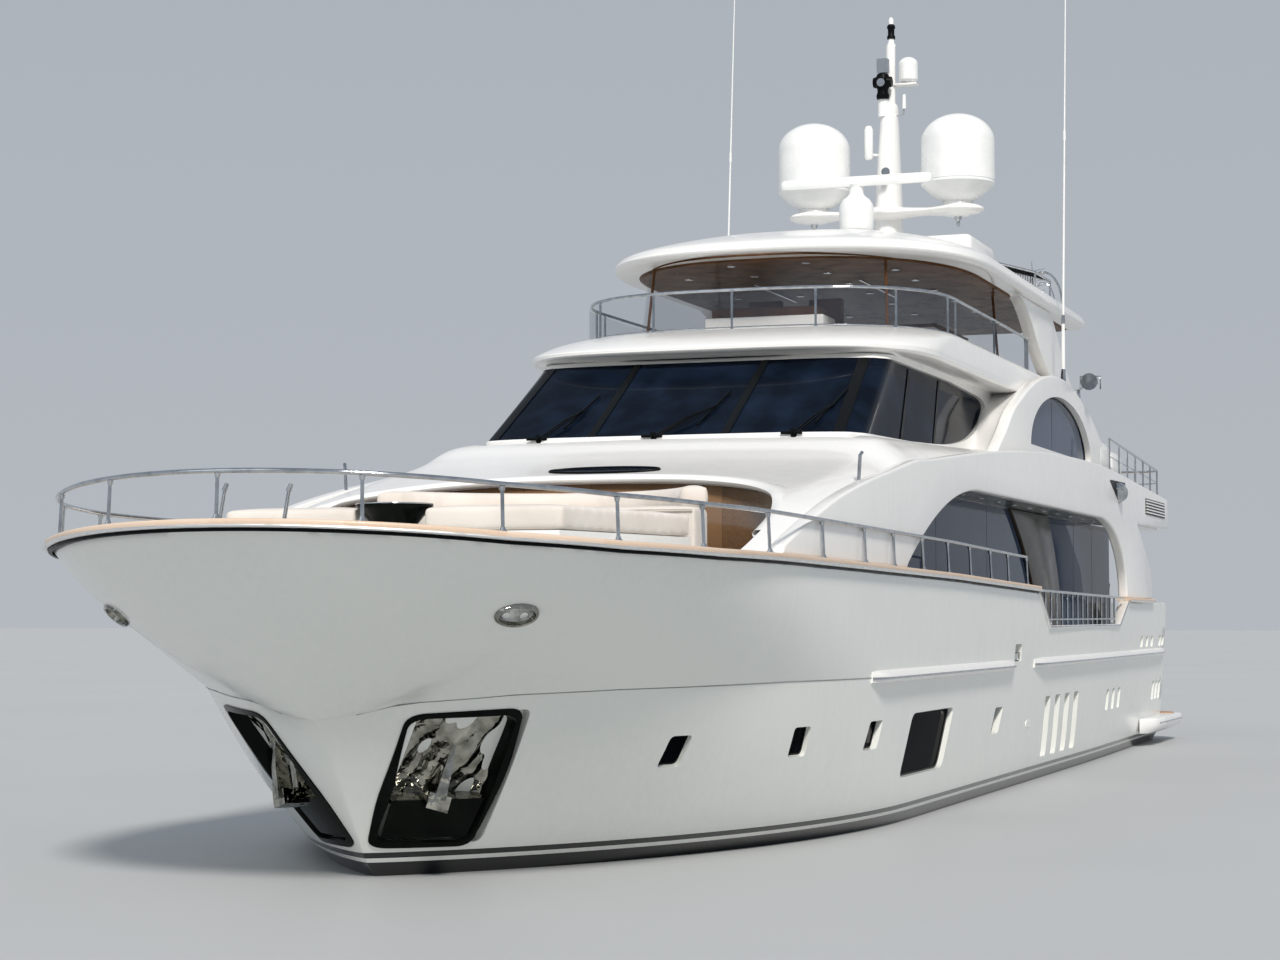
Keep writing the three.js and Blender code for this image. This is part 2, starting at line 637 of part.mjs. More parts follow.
for (const [name, side] of SIDES) add(`saloon_glass_${name}`, mirrored(makeSaloonGlass(), side), DARK_GLASS);
// A sliding door leaf just aft of its bulkhead, standing on two runner shoes
const LEAF = { stand: 12, thick: 40, clear: 6, shoe: 90 };
function slidingLeaf(bulkheadX, y0, y1, floor, top) {
  const [x0, x1] = [bulkheadX - LEAF.stand - LEAF.thick, bulkheadX - LEAF.stand];
  const shoe = (y) => box(x0 + 8, x1 - 8, y, y + LEAF.shoe, floor + SEAT_GAP, floor + LEAF.clear + 5);
  return union(box(x0, x1, y0, y1, floor + LEAF.clear, top), shoe(y0 + 60), shoe(y1 - 60 - LEAF.shoe));
}
for (const [name, side] of SIDES)
  add(
    `saloon_door_${name}`,
    mirrored(slidingLeaf(SALOON.aft, 6, DOORWAY.half + 60, MAIN_DECK_Z, UPPER_DECK.under - 6), side),
    DARK_GLASS,
  );

// Forward trunk: rounded coach roof between foredeck and windscreen, with shoulders beside the pilothouse
const TRUNK_HALF = PANEL.inner - SEAT_GAP;
const TRUNK = [
  // x, centre z, shoulder y, shoulder z, edge z
  [12000, 3330, 2650, 3330, 3250],
  [10900, 3700, 2700, 3690, 3600],
  [9800, 4040, 2750, 4020, 3900],
  [7700, 4500, 2780, 4460, 4330],
  [6800, 4740, 2780, 4690, 4440],
  [6000, 4990, 2780, 4940, 4640],
  [5000, 5020, 2780, 5000, 4700],
  [2700, 5060, 2780, 5060, 4880],
  [520, 5120, 2780, 5120, 5060],
];
const SCOOP = { x: 11400, rx: 3000, ry: 3100, power: 2.8, sides: 56 };
// The scoop as a column: its outline is an oval with fuller shoulders.
function scoopColumn(low, high) {
  const share = (t) => Math.sign(t) * Math.abs(t) ** (2 / SCOOP.power);
  const ring = (z) =>
    Array.from({ length: SCOOP.sides }, (_, i) => {
      const a = (2 * Math.PI * (i + 0.5)) / SCOOP.sides;
      return V(SCOOP.x + SCOOP.rx * share(Math.cos(a)), SCOOP.ry * share(Math.sin(a)), z);
    });
  return loft([ring(low), ring(high)]);
}
const PILOTHOUSE_HALF = 2750;
function makeTrunk() {
  const section = (low) => ([x, centreZ, shoulderY, shoulderZ, edgeZ]) => {
    const half = [
      [TRUNK_HALF, low],
      [TRUNK_HALF, edgeZ],
      [(shoulderY + TRUNK_HALF) / 2 + 60, (shoulderZ + edgeZ) / 2 + 25],
      [shoulderY, shoulderZ],
      [shoulderY / 2, (shoulderZ + 3 * centreZ) / 4],
    ];
    return [...half, ...half.map(([y, z]) => [-y, z]).reverse()].map(([y, z]) => V(x, y, z));
  };
  const clear = UPPER_DECK.front + SEAT_GAP;
  const rows = [...TRUNK];
  rows[5] = [clear, ...TRUNK[5].slice(1)];
  const front = loft(rows.slice(0, 6).map(section(FOREDECK_Z + SEAT_GAP)));
  let shoulders = loft(rows.slice(5).map(section(UPPER_DECK.top + SEAT_GAP)));
  const room = PILOTHOUSE_HALF + SEAT_GAP;
  shoulders = shoulders.subtract(box(-1000, clear, -room, room, 4000, 6000));
  return clearOf(front.subtract(scoopColumn(2000, 6000)), hull).add(shoulders);
}
add("forward_trunk", makeTrunk(), GELCOAT);

// Pilothouse and upper saloon: one shell, windows cut, roofed by the sundeck
const HOUSE = [
  // z, front x at the centre, x and half width where the front turns, x and half width where the side begins
  { z: UPPER_DECK.top + SEAT_GAP, front: 6060, turnX: 5860, turnY: 2480, sideX: 5350, sideY: 2745 },
  { z: 5000, front: 6020, turnX: 5820, turnY: 2480, sideX: 5300, sideY: 2745 },
  { z: 6080, front: 4280, turnX: 4120, turnY: 2350, sideX: 3700, sideY: 2640 },
  { z: 6260 - SEAT_GAP, front: 4000, turnX: 3850, turnY: 2330, sideX: 3450, sideY: 2620 },
];
const houseLevels = (inset, extra = 0) =>
  levels(
    HOUSE.map(({ z, front, turnX, turnY, sideX, sideY }, i) => ({
      z: z + (i === 0 ? -extra : i === HOUSE.length - 1 ? extra : 0),
      port: [
        [LOUNGE_AFT_X + inset, 0.5],
        [LOUNGE_AFT_X + inset, sideY - inset],
        [1500, sideY - inset],
        [sideX, sideY - inset],
        [sideX + (turnX - sideX) * 0.55 - inset * 0.5, sideY - (sideY - turnY) * 0.3 - inset],
        [turnX - inset * 1.3, turnY - inset * 0.5],
        [front - inset * 1.6, 850],
        [front - inset * 1.6, 0.5],
      ],
    })),
  );
// Window band in side view: it runs right across, and its aft end sweeps to a point
const HOUSE_BAND = [[7000, 5030], [5300, 5030], [3000, 5080], [-700, 5330], [-1500, 5500], [-2400, 5960],
  [-1900, 6120], [0, 6190], [3000, 6190], [7000, 6190]];
const HOUSE_WALL = 90;
const bandPrism = () => sidePlate(HOUSE_BAND, -4000, 4000);
const LOUNGE_DOORWAY = { half: 750, high: 6150 };
const MULLIONS = [{ y: 950, half: 60 }, { y: 2560, half: 120 }];
function makeHouse() {
  let shell = houseLevels(0).subtract(houseLevels(HOUSE_WALL, 50));
  shell = shell.subtract(bandPrism());
  // four mullions stay between the panes
  const innerSkin = houseLevels(HOUSE_WALL * 0.55).subtract(houseLevels(HOUSE_WALL, 50));
  for (const { y, half } of MULLIONS) {
    for (const side of [1, -1]) {
      const upright = box(2500, 6600, side * y - half, side * y + half, 4900, 6220);
      shell = shell.add(upright.intersect(innerSkin));
    }
  }
  const { half, high } = LOUNGE_DOORWAY;
  return shell.subtract(box(LOUNGE_AFT_X - 10, LOUNGE_AFT_X + HOUSE_WALL + 10, -half, half, 4000, high));
}
const pilothouse = makeHouse();
add("pilothouse", pilothouse, GELCOAT);
function makeHouseGlass() {
  let pane = houseLevels(8).subtract(houseLevels(HOUSE_WALL * 0.5, 50));
  for (const dx of [SEAT_GAP, -SEAT_GAP])
    for (const dz of [SEAT_GAP, -SEAT_GAP]) pane = pane.intersect(bandPrism().translate([dx, 0, dz]));
  return pane.intersect(box(-2300, 7000, -4000, 4000, 5020, 6200));
}
add("pilothouse_glass", makeHouseGlass(), DARK_GLASS);
add(
  "upper_saloon_door",
  slidingLeaf(LOUNGE_AFT_X, -LOUNGE_DOORWAY.half - 60, LOUNGE_DOORWAY.half + 60, UPPER_DECK.top, 6220),
  DARK_GLASS,
);

// Wings: upper side arches with a half-round window, from upper deck to sundeck
const WING = { inner: 3045, outer: 3240 };
const WING_WINDOW = { x: -6010, z: 5430, half: 2840, rise: 980 };
function makeWing() {
  const outline = [
    [-430, UPPER_DECK.top + SEAT_GAP], [-480, 5130], [-1170, 5500], [-1800, 5880], [-2490, 6140], [-3120, 6350],
    [-3890, 6550], [-4650, 6680], [-5420, 6750], [-6300, 6760], [-7200, 6680], [-8160, 6490], [-8890, 6320],
    [-9580, 6090], [-11700, 5300], [-12300, UPPER_DECK.top + SEAT_GAP],
  ];
  const window = arc(WING_WINDOW.x, WING_WINDOW.z, WING_WINDOW.half, WING_WINDOW.rise, 0, 180, 12);
  return sidePlate(outline, WING.inner, WING.outer).subtract(sidePlate(window, WING.inner - 50, WING.outer + 50));
}
function makeWingGlass() {
  const { x, z, half, rise } = WING_WINDOW;
  const outline = arc(x, z + SEAT_GAP, half - SEAT_GAP, rise - 2 * SEAT_GAP, 0, 180, 12);
  return sidePlate(outline, WING.inner + 60, WING.inner + 90);
}
for (const [name, side] of SIDES) {
  add(`wing_${name}`, mirrored(makeWing(), side), GELCOAT);
  add(`wing_glass_${name}`, mirrored(makeWingGlass(), side), DARK_GLASS);
}

// Sundeck: brow over the windscreen, coaming round a sunken floor
const ROUND = { run: 3400, p: 2.3, q: 2.5, count: 10 };
function deckOutline(front, beam, aft, { run = ROUND.run, q = ROUND.q } = {}) {
  const { p, count } = ROUND;
  const port = [[aft, 0.5], [aft, beam * 0.985], [(aft + front - run) / 2, beam * 0.995]];
  for (let i = 0; i < count; i++) {
    const x = front - run * Math.pow(1 - i / count, 2.2);
    port.push([x, beam * fullness(front - x, run, p, q)]);
  }
  port.push([front, 0.5]);
  return port;
}
const SUNDECK_HALF = 3044;
const SUNDECK_AFT = -9200;
// Brow and coaming: height, front, half breadth, length and fullness of the rounded front
const SUNDECK_LEVELS = [
  [6260, 4050, SUNDECK_HALF - 140, 1900, 4],
  [6300, 4380, SUNDECK_HALF, 2000, 4],
  [6420, 4330, SUNDECK_HALF, 2000, 4],
  [6600, 3800, SUNDECK_HALF - 40, 2100, 3.5],
  [6740, 3200, SUNDECK_HALF - 90, 2200, 3],
  [COAMING_Z, 2850, SUNDECK_HALF - 130, 2200, 3],
];
function makeSundeck() {
  const aft = SUNDECK_AFT;
  const body = levels(
    SUNDECK_LEVELS.map(([z, front, half, run, q]) => ({ z, port: deckOutline(front, half, aft, { run, q }) })),
  );
  const floor = levels([
    { z: SUNDECK_Z, port: deckOutline(2350, 2600, aft - 50) },
    { z: 7000, port: deckOutline(2500, 2660, aft - 50) },
  ]);
  return body.subtract(floor);
}
const sundeck = makeSundeck();
add("sundeck", sundeck, GELCOAT);

// Rail with glass round the front of the sundeck
const SUNDECK_RAIL = { front: 2720, beam: 2830, aft: -5200, top: 7390 };
function makeSundeckRail() {
  const { front, beam, aft, top } = SUNDECK_RAIL;
  const port = deckOutline(front, beam, aft, { run: 2200, q: 3 }).slice(1, -1);
  const path = [...port, ...[...port].reverse().map(([x, y]) => [x, -y])].map(([x, y]) => V(x, y, top));
  const solids = [bar(path, RAIL_RADIUS)];
  const onPosts = path.filter((_, i) => i % 2 === 0 && i !== 2 && i !== path.length - 3);
  onPosts.forEach((top) => solids.push(post(top.clone().setZ(COAMING_Z + SEAT_GAP), top)));
  return union(solids);
}
add("sundeck_rail", makeSundeckRail(), STEEL);

// Hardtop on two raked legs
const HARDTOP_AFT = -10000;
// Height, front, half breadth, and how much shorter the aft end is
const HARDTOP_LEVELS = [
  [8030, 1400, 2700, 300],
  [8050, 1750, 2980, 60],
  [8130, 1850, 3030, 0],
  [8290, 1600, 2950, 60],
  [8450, 1000, 2700, 260],
  [8640, 100, 2250, 800],
  [8780, -900, 1650, 1500],
  [8850, -1900, 1000, 2300],
];
function makeHardtop() {
  return levels(
    HARDTOP_LEVELS.map(([z, front, half, shorter]) => ({
      z,
      port: deckOutline(front, half, HARDTOP_AFT + shorter, { run: 3200, q: 2.6 }),
    })),
  );
}
// Life-raft locker on the port side of the hardtop: y and height share of its sections
const LOCKER = { aft: -4400, front: -2700, foot: 8300, shoulder: 8700, rise: 310 };
const LOCKER_SECTIONS = [[700, 0.8], [820, 1], [2450, 1], [2600, 0.75]];
function makeLocker() {
  const { aft, front, foot, shoulder, rise } = LOCKER;
  return loft(
    LOCKER_SECTIONS.map(([y, share]) => {
      const top = shoulder + rise * share;
      return [
        V(aft, y, foot),
        V(front, y, foot),
        V(front + 50, y, top - 50),
        V(front - 100, y, top),
        V(aft + 150, y, top),
        V(aft, y, top - 60),
      ];
    }),
  );
}
const hardtop = makeHardtop().add(makeLocker());
add("hardtop", hardtop, GELCOAT);
const LEG = { inner: 2680, outer: 2860, outline: [[-7300, 0], [-4000, 1400], [-7200, 1400], [-9150, 0]] };
const UNDER_HARDTOP_Z = 8100;
function makeLeg() {
  const foot = COAMING_Z + SEAT_GAP;
  const plate = sidePlate(LEG.outline.map(([x, rise]) => [x, foot + rise]), LEG.inner, LEG.outer);
  return plate
    .subtract(makeHardtop().translate([0, 0, -SEAT_GAP]))
    .subtract(box(-20000, 20000, 0, 4000, UNDER_HARDTOP_Z, 9000));
}
for (const [name, side] of SIDES) add(`hardtop_leg_${name}`, mirrored(makeLeg(), side), GELCOAT);

// Curved screen between the sundeck's floor and the hardtop, open aft
const SCREEN = { front: 2050, beam: 2560, aft: -4150, thick: 34, lean: 260, end: -4100 };
function makeWindscreen() {
  const { front, beam, aft, thick, lean, end } = SCREEN;
  const wall = (less, more) =>
    levels([
      { z: SUNDECK_Z + SEAT_GAP - more, port: deckOutline(front - less, beam - less, aft - less) },
      { z: 8200 + more, port: deckOutline(front - less - lean, beam - less - lean / 2, aft - less) },
    ]);
  return wall(0, 0)
    .subtract(wall(thick, 5))
    .subtract(box(-20000, end, -4000, 4000, 6000, 9000))
    .subtract(makeHardtop().translate([0, 0, -SEAT_GAP]))
    .subtract(box(-20000, 20000, -4000, 4000, 8060, 9000))
    .subtract(sundeck.translate([0, 0, SEAT_GAP]));
}
add("sundeck_windscreen", makeWindscreen(), CLEAR_GLASS);

// Mast with its dome arms, on the hardtop
const MAST_X = -6500;
const DOME = { x: -6310, y: 1340, radius: 660, seat: 10030, rim: 10330, top: 11620 };
// Column sections: height, half length, half width; arm sections along y: half height, half chord
const COLUMN = [[8600, 620, 340], [9300, 430, 240], [10900, 330, 180], [11350, 230, 150]];
const ARM = [[1800, 40, 110], [1640, 95, 300], [1340, 115, 380], [1000, 95, 300], [500, 95, 250],
  [0, 150, 380]];
const ARM_Z = 9890;
const SHELF = { z: 12300, thick: 40, reach: 520 };
const ring = (at, count) => Array.from({ length: count }, (_, k) => at((2 * Math.PI * k) / count));
function makeMast() {
  const column = loft(
    COLUMN.map(([z, rx, ry], i) => ring((a) => V(MAST_X - i * 50 + rx * Math.cos(a), ry * Math.sin(a), z), 12)),
  );
  const sections = [...ARM.map(([y, ...size]) => [-y, ...size]), ...ARM.slice(0, -1).reverse()];
  const arms = loft(
    sections.map(([y, thick, chord]) =>
      ring((a) => V(DOME.x + chord * Math.cos(a), y, ARM_Z + thick * Math.sin(a)), 8),
    ),
  );
  const seats = [1, -1].map((side) =>
    cylinder(V(DOME.x, side * DOME.y, ARM_Z), V(DOME.x, side * DOME.y, DOME.seat), 270, 270, 14),
  );
  const topmast = cylinder(V(MAST_X - 170, 0, 11100), V(MAST_X - 300, 0, 13050), 100, 90, 12);
  const light = cylinder(V(MAST_X - 300, 0, 13040), V(MAST_X - 300, 0, 13600), 85, 60, 8);
  const cameraPost = cylinder(V(MAST_X + 20, -130, 11200), V(MAST_X + 20, -130, 12150), 90, 90, 10);
  const shelf = box(MAST_X - 400, MAST_X - 120, 0, SHELF.reach, SHELF.z, SHELF.z + SHELF.thick);
  const mast = union(column, arms, seats, topmast, light, cameraPost, shelf);
  return mast.subtract(hardtop.translate([0, 0, SEAT_GAP]));
}
add("mast", makeMast(), GELCOAT);
const domeProfile = (r, base, rim, tall) => [
  [0, base],
  [r * 0.42, base],
  [r * 0.93, rim - r * 0.04],
  [r, rim + r * 0.06],
  ...arc(0, tall - r * 0.78, r, r * 0.78, 0, 67.5, 3),
  [0, tall],
];
const BIG_DOME = domeProfile(DOME.radius, DOME.seat + SEAT_GAP, DOME.rim, DOME.top);
for (const [name, side] of SIDES) add(`dome_${name}`, turned(BIG_DOME, DOME.x, side * DOME.y), GELCOAT);
const SMALL_DOME = domeProfile(175, SHELF.z + SHELF.thick + SEAT_GAP, 12400, 12830);
add("dome_small", turned(SMALL_DOME, MAST_X - 260, 330, 14), GELCOAT);

// Radar: pedestal, and the scanner that turns on it
const RADAR = { x: -4300, base: 8540, pedestalTop: 10030, barZ: 10140 };
function makePedestal() {
  const { x, base, pedestalTop } = RADAR;
  const profile = [[0, base], [260, base], [200, 9260], [290, 9340], [295, 9720], [230, 9850], [120, 9900],
    [120, pedestalTop], [0, pedestalTop]];
  return turned(profile, x, 0, 16).subtract(hardtop.translate([0, 0, SEAT_GAP]));
}
add("radar_pedestal", makePedestal(), GELCOAT);
// Scanner bar: half length and size share of its sections, on a short hub
const BAR_SECTIONS = [[-1350, 0.6], [-1280, 1], [1280, 1], [1350, 0.6]];
const BAR_PROFILE = [[-70, -60], [90, -90], [110, 0], [60, 95], [-70, 70]];
function makeScanner() {
  const { x, pedestalTop, barZ } = RADAR;
  const section = ([y, share]) => BAR_PROFILE.map(([dx, dz]) => V(x + dx * share, y, barZ + dz * share));
  const hub = cylinder(V(x, 0, pedestalTop + SEAT_GAP), V(x, 0, barZ - 70), 110, 140, 14);
  return union(loft(BAR_SECTIONS.map(section)), hub);
}
add("radar_scanner", makeScanner(), GELCOAT);

// Whip aerials on the wings' tops, raked aft
const AERIAL = { x: -6600, y: 3150, joint: 7900, top: 14600, rake: 620 };
for (const [name, side] of SIDES) {
  const y = side * AERIAL.y;
  const foot = cylinder(V(AERIAL.x, y, 6700), V(AERIAL.x - 40, y, AERIAL.joint), 34, 30, 8);
  const tip = V(AERIAL.x - AERIAL.rake, y, AERIAL.top);
  const whip = cylinder(V(AERIAL.x - 38, y, AERIAL.joint - 50), tip, 24, 9, 8);
  const wing = mirrored(makeWing(), side).translate([0, 0, SEAT_GAP]);
  add(`aerial_${name}`, union(foot, whip).subtract(wing), GELCOAT);
}

// Rail round the aft end of the upper deck, on the side panels and the deck's edge
const AFT_RAIL = { y: 3470, top: 5930, fall: 270, front: -9500, corner: -15600, end: -15880, round: 220 };
const AFT_RAIL_SIDE_X = [-9500, -10630, -11620, -12600, -13600, -14560, -15500];
const AFT_RAIL_END_Y = [400, 1450, 2500];
function makeAftRail() {
  const { y, top, fall, front, corner, end, round } = AFT_RAIL;
  const low = top - fall;
  const port = [V(front, y, top), V(corner, y, low), V(end, y - round, low)];
  const solids = [bar([...port, ...[...port].reverse().map((p) => V(p.x, -p.y, p.z))], RAIL_RADIUS)];
  const footZ = (x) => along(PANEL_TOP, x) + SEAT_GAP + 3;
  const topZ = (x) => top - (fall * (front - x)) / (front - corner);
  for (const [, side] of SIDES) {
    AFT_RAIL_SIDE_X.forEach((x) => solids.push(post(V(x, side * y, footZ(x)), V(x, side * y, topZ(x)))));
    AFT_RAIL_END_Y.forEach((across) =>
      solids.push(post(V(end, side * across, UPPER_DECK.top + SEAT_GAP), V(end, side * across, low))),
    );
  }
  return union(solids);
}
add("upper_aft_rail", makeAftRail(), STEEL);

// Foredeck lounge in the trunk's scoop: moulded base, covered seats and backrest
const LOUNGE = {
  base: 3250,
  seat: 3850,
  backrest: 4130,
  baseFront: 10900,
  seatFront: 11300,
  backFront: 10200,
  backWidth: 380,
  x: 11400,
  rx: 2900,
  ry: 2420,
};
// The lounge's oval column, made smaller by an inset.
const loungeColumn = (low, high, inset) =>
  turned([[0, low], [1, low], [1, high], [0, high]], 0, 0, 40)
    .scale([LOUNGE.rx - inset, LOUNGE.ry - inset, 1])
    .translate([LOUNGE.x, 0, 0]);
const crescent = (front, low, high, inset) =>
  loungeColumn(low, high, inset).intersect(box(0, front, -4000, 4000, low - 10, high + 10));
add("lounge_base", crescent(LOUNGE.baseFront, FOREDECK_Z + SEAT_GAP, LOUNGE.base, 2 * SEAT_GAP), GELCOAT);
add("lounge_seat", crescent(LOUNGE.seatFront, LOUNGE.base + SEAT_GAP, LOUNGE.seat, 20), CANVAS);
add(
  "lounge_backrest",
  crescent(LOUNGE.backFront, LOUNGE.seat + SEAT_GAP, LOUNGE.backrest, 20).subtract(
    loungeColumn(LOUNGE.seat, LOUNGE.backrest + 10, LOUNGE.backWidth),
  ),
  CANVAS,
);

// Sunpads on their lockers on both sides of the pedestal table
const PAD = { x0: 11350, x1: 14200, inner: 340, aft: 2400, fore: 1950, bottom: 3480, top: 3760 };
function padBlock(low, high, inset) {
  const corners = [
    [PAD.x0 + inset, PAD.inner + inset],
    [PAD.x1 - inset, PAD.inner + inset],
    [PAD.x1 - inset, PAD.fore - inset],
    [PAD.x0 + inset, PAD.aft - inset],
  ];
  return loft([low, high].map((z) => corners.map(([x, y]) => V(x, y, z))));
}
for (const [name, side] of SIDES) {
  add(`sunpad_${name}`, mirrored(padBlock(PAD.bottom + SEAT_GAP, PAD.top, 0), side), CANVAS);
}
const padLocker = padBlock(FOREDECK_Z + SEAT_GAP, PAD.bottom, 60);
const lockerBack = box(PAD.x0 + 60, 12500, -PAD.inner - 80, PAD.inner + 80, FOREDECK_Z + SEAT_GAP, PAD.bottom);
add("sunpad_locker", union([padLocker, mirrored(padLocker, -1), lockerBack]), GELCOAT);
const TABLE = { x: 14000, y: 0, top: 3850, rim: 480 };
add(
  "foredeck_table",
  turned(
    [[0, FOREDECK_Z + SEAT_GAP], [260, FOREDECK_Z + SEAT_GAP], [180, 3100], [190, 3640], [290, 3765],
      [TABLE.rim - 10, TABLE.top - 50], [TABLE.rim, TABLE.top - 35], [TABLE.rim, TABLE.top], [0, TABLE.top]],
    TABLE.x,
    TABLE.y,
    20,
  ),
  TEAK,
);
const WINDLASS = { x: 15850, y: 620 };
// Stacked drums of a windlass: foot and top above the deck, radius below and above
const WINDLASS_DRUMS = [[SEAT_GAP, 120, 190, 170], [100, 480, 110, 90], [460, 540, 130, 120]];
for (const [name, side] of SIDES) {
  const at = (dz) => V(WINDLASS.x, side * WINDLASS.y, FOREDECK_Z + dz);
  const drums = WINDLASS_DRUMS.map(([low, high, r0, r1]) => cylinder(at(low), at(high), r0, r1, 14));
  add(`windlass_${name}`, union(drums), STEEL);
}

// Stowed anchors in the bow recesses. Fluke sections: height, half width, half thickness
const FLUKE = [[-180, 90, 60], [150, 70, 40], [420, 18, 14]];
function makeAnchor() {
  const shank = box(-50, 50, -45, 45, -100, 620);
  const crown = box(-260, 260, -110, 110, -260, -100);
  const flukes = [200, -200].map((x) =>
    loft(FLUKE.map(([z, w, t]) => [V(x - w, -t, z), V(x + w, -t, z), V(x + w, t, z), V(x - w, t, z)])),
  );
  return union(shank, crown, flukes);
}
for (const [name, side] of SIDES) {
  const placed = makeAnchor().rotate([-16, 0, 32]).translate([14560, 790, 960]);
  add(`anchor_${name}`, clearOf(mirrored(placed, side), hull), STEEL);
}

// Shaft lines with their brackets, ending at the propeller hubs
const HUB = { front: 160, aft: 200, radius: 120 };
const STRUT = { x: -12900, half: 130, thick: 25, spread: 420, top: -520, barrel: 260 };
const SHAFT = { radius: 62, entry: -8800, barrelRadius: 110 };
function makeShaft(y) {
  const end = PROPELLER.x + (HUB.front + SEAT_GAP) * Math.cos(Math.atan(SHAFT_TILT));
  const at = (x) => V(x, y, PROPELLER.z + (x - PROPELLER.x) * SHAFT_TILT);
  const section = (yy, z) =>
    [[-1, -1], [1, -1], [1, 1], [-1, 1]].map(([i, j]) => V(STRUT.x + i * STRUT.half, yy + j * STRUT.thick, z));
  const foot = section(y, at(STRUT.x).z);
  const struts = [-1, 1].map((lean) => loft([foot, section(y + lean * STRUT.spread, STRUT.top)]));
  const { radius, entry, barrelRadius } = SHAFT;
  const shaft = cylinder(at(end), at(entry), radius, radius, 12);
  const barrel = cylinder(at(STRUT.x - STRUT.barrel), at(STRUT.x + STRUT.barrel), barrelRadius, barrelRadius, 12);
  return union(shaft, barrel, struts).subtract(hull.translate([0, 0, -SEAT_GAP]));
}
for (const [name, side] of SIDES) add(`shaft_${name}`, makeShaft(side * SHAFT_Y), BRONZE);

const BLADE = { count: 5, root: 80, steps: 7, pitch: 900, widest: 165, rootThick: 30, tipThick: 9, edge: 5 };
// One blade of constant pitch standing up from the hub, six points to a section
function makeBlade() {
  const { root: from, steps, pitch, widest, rootThick, tipThick, edge } = BLADE;
  return loft(
    Array.from({ length: steps + 1 }, (_, i) => {
      const t = i / steps;
      const r = from + (PROPELLER.radius - from) * t;
      const angle = Math.atan(pitch / (2 * Math.PI * r));
      const swell = 0.45 + 0.55 * smooth(Math.min(1, t * 2));
      const half = widest * swell * Math.sqrt(Math.max(0.06, 1 - Math.pow(1.45 * t - 0.55, 4)));
      const thick = (rootThick + (tipThick - rootThick) * t) / 2;
      const [sin, cos] = [Math.sin(angle), Math.cos(angle)];
      const place = ([c, d]) => V(c * half * sin + d * cos, c * half * cos - d * sin, r);
      const rim = edge / 2;
      return [[-1, rim], [0, thick], [1, rim], [1, -rim], [0, -thick], [-1, -rim]].map(place);
    }),
  );
}
function makePropeller(y) {
  const hub = cylinder(V(-HUB.aft, 0, 0), V(HUB.front, 0, 0), HUB.radius * 0.75, HUB.radius, 14);
  const blade = makeBlade();
  const blades = Array.from({ length: BLADE.count }, (_, k) => blade.rotate([(360 / BLADE.count) * k, 0, 0]));
  const tilt = (-Math.atan(SHAFT_TILT) * 180) / Math.PI;
  return union(hub, blades).rotate([0, tilt, 0]).translate([PROPELLER.x, y, PROPELLER.z]);
}
for (const [name, side] of SIDES) add(`propeller_${name}`, makePropeller(side * SHAFT_Y), BRONZE);

// Rudder sections: height, reach before and behind the stock, half thickness
const RUDDER_SECTIONS = [
  [RUDDER.low, 190, 420, 35],
  [RUDDER.low + 60, 240, 470, 55],
  [RUDDER.top - 40, 280, 560, 75],
  [RUDDER.top, 250, 540, 70],
];
function makeRudder(y) {
  const section = ([z, fore, aft, thick]) =>
    [[fore, 0], [fore * 0.4, thick], [-aft, 0], [fore * 0.4, -thick]].map(([dx, dy]) => V(RUDDER_X + dx, y + dy, z));
  const blade = loft(RUDDER_SECTIONS.map(section));
  const { stockRadius, boss, socket, top } = RUDDER;
  const stockTop = V(RUDDER_X, y, boss + socket - SEAT_GAP);
  const stock = cylinder(V(RUDDER_X, y, top - 200), stockTop, stockRadius, stockRadius, RUDDER_BOSS.sides);
  return union(blade, stock);
}
for (const [name, side] of SIDES) add(`rudder_${name}`, makeRudder(side * SHAFT_Y), BRONZE);

// Stern garage door, hung from two hinge barrels along its top edge
function makeGarageDoor() {
  const { halfWidth, floor, doorTop, door } = GARAGE;
  const solids = [box(TRANSOM_X + 2, TRANSOM_X + door, -halfWidth, halfWidth, floor, doorTop)];
  for (const y of HINGE.places) {
    const [y0, y1] = [y - HINGE.length / 2, y + HINGE.length / 2];
    solids.push(cylinder(V(HINGE.x, y0, HINGE.z), V(HINGE.x, y1, HINGE.z), HINGE.radius, HINGE.radius, HINGE.sides));
    solids.push(box(TRANSOM_X + 10, HINGE.x + 10, y0, y1, doorTop - 20, HINGE.z));
  }
  return union(solids);
}
add("garage_door", makeGarageDoor(), GELCOAT);

export default root;
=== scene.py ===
"""Looks of the motor yacht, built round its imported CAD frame.

Metres, +X to the bow, +Y to port, +Z up, origin on the waterline amidships.
"""

import logging
from collections.abc import Callable, Sequence
from dataclasses import dataclass
from enum import Enum
from functools import lru_cache
from math import copysign, cos, pi, radians, sin, sqrt, tau

import bmesh
import bpy
from mathutils import Matrix, Vector
from mathutils.bvhtree import BVHTree
from mathutils.interpolate import poly_3d_calc


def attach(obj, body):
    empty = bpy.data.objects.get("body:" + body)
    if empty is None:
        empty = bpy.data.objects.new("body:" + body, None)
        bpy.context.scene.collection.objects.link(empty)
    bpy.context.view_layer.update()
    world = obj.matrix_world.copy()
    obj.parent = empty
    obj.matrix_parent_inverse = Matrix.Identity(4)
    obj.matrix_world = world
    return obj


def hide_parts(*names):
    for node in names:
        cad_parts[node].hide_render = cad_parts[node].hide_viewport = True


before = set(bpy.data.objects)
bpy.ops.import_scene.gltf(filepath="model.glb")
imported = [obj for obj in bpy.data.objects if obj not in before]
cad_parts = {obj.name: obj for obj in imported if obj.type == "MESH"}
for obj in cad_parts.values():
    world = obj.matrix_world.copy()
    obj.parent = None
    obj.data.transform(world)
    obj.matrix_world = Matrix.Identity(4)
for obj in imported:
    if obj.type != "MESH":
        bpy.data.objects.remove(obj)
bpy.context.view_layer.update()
LOG = logging.getLogger("motor_yacht")

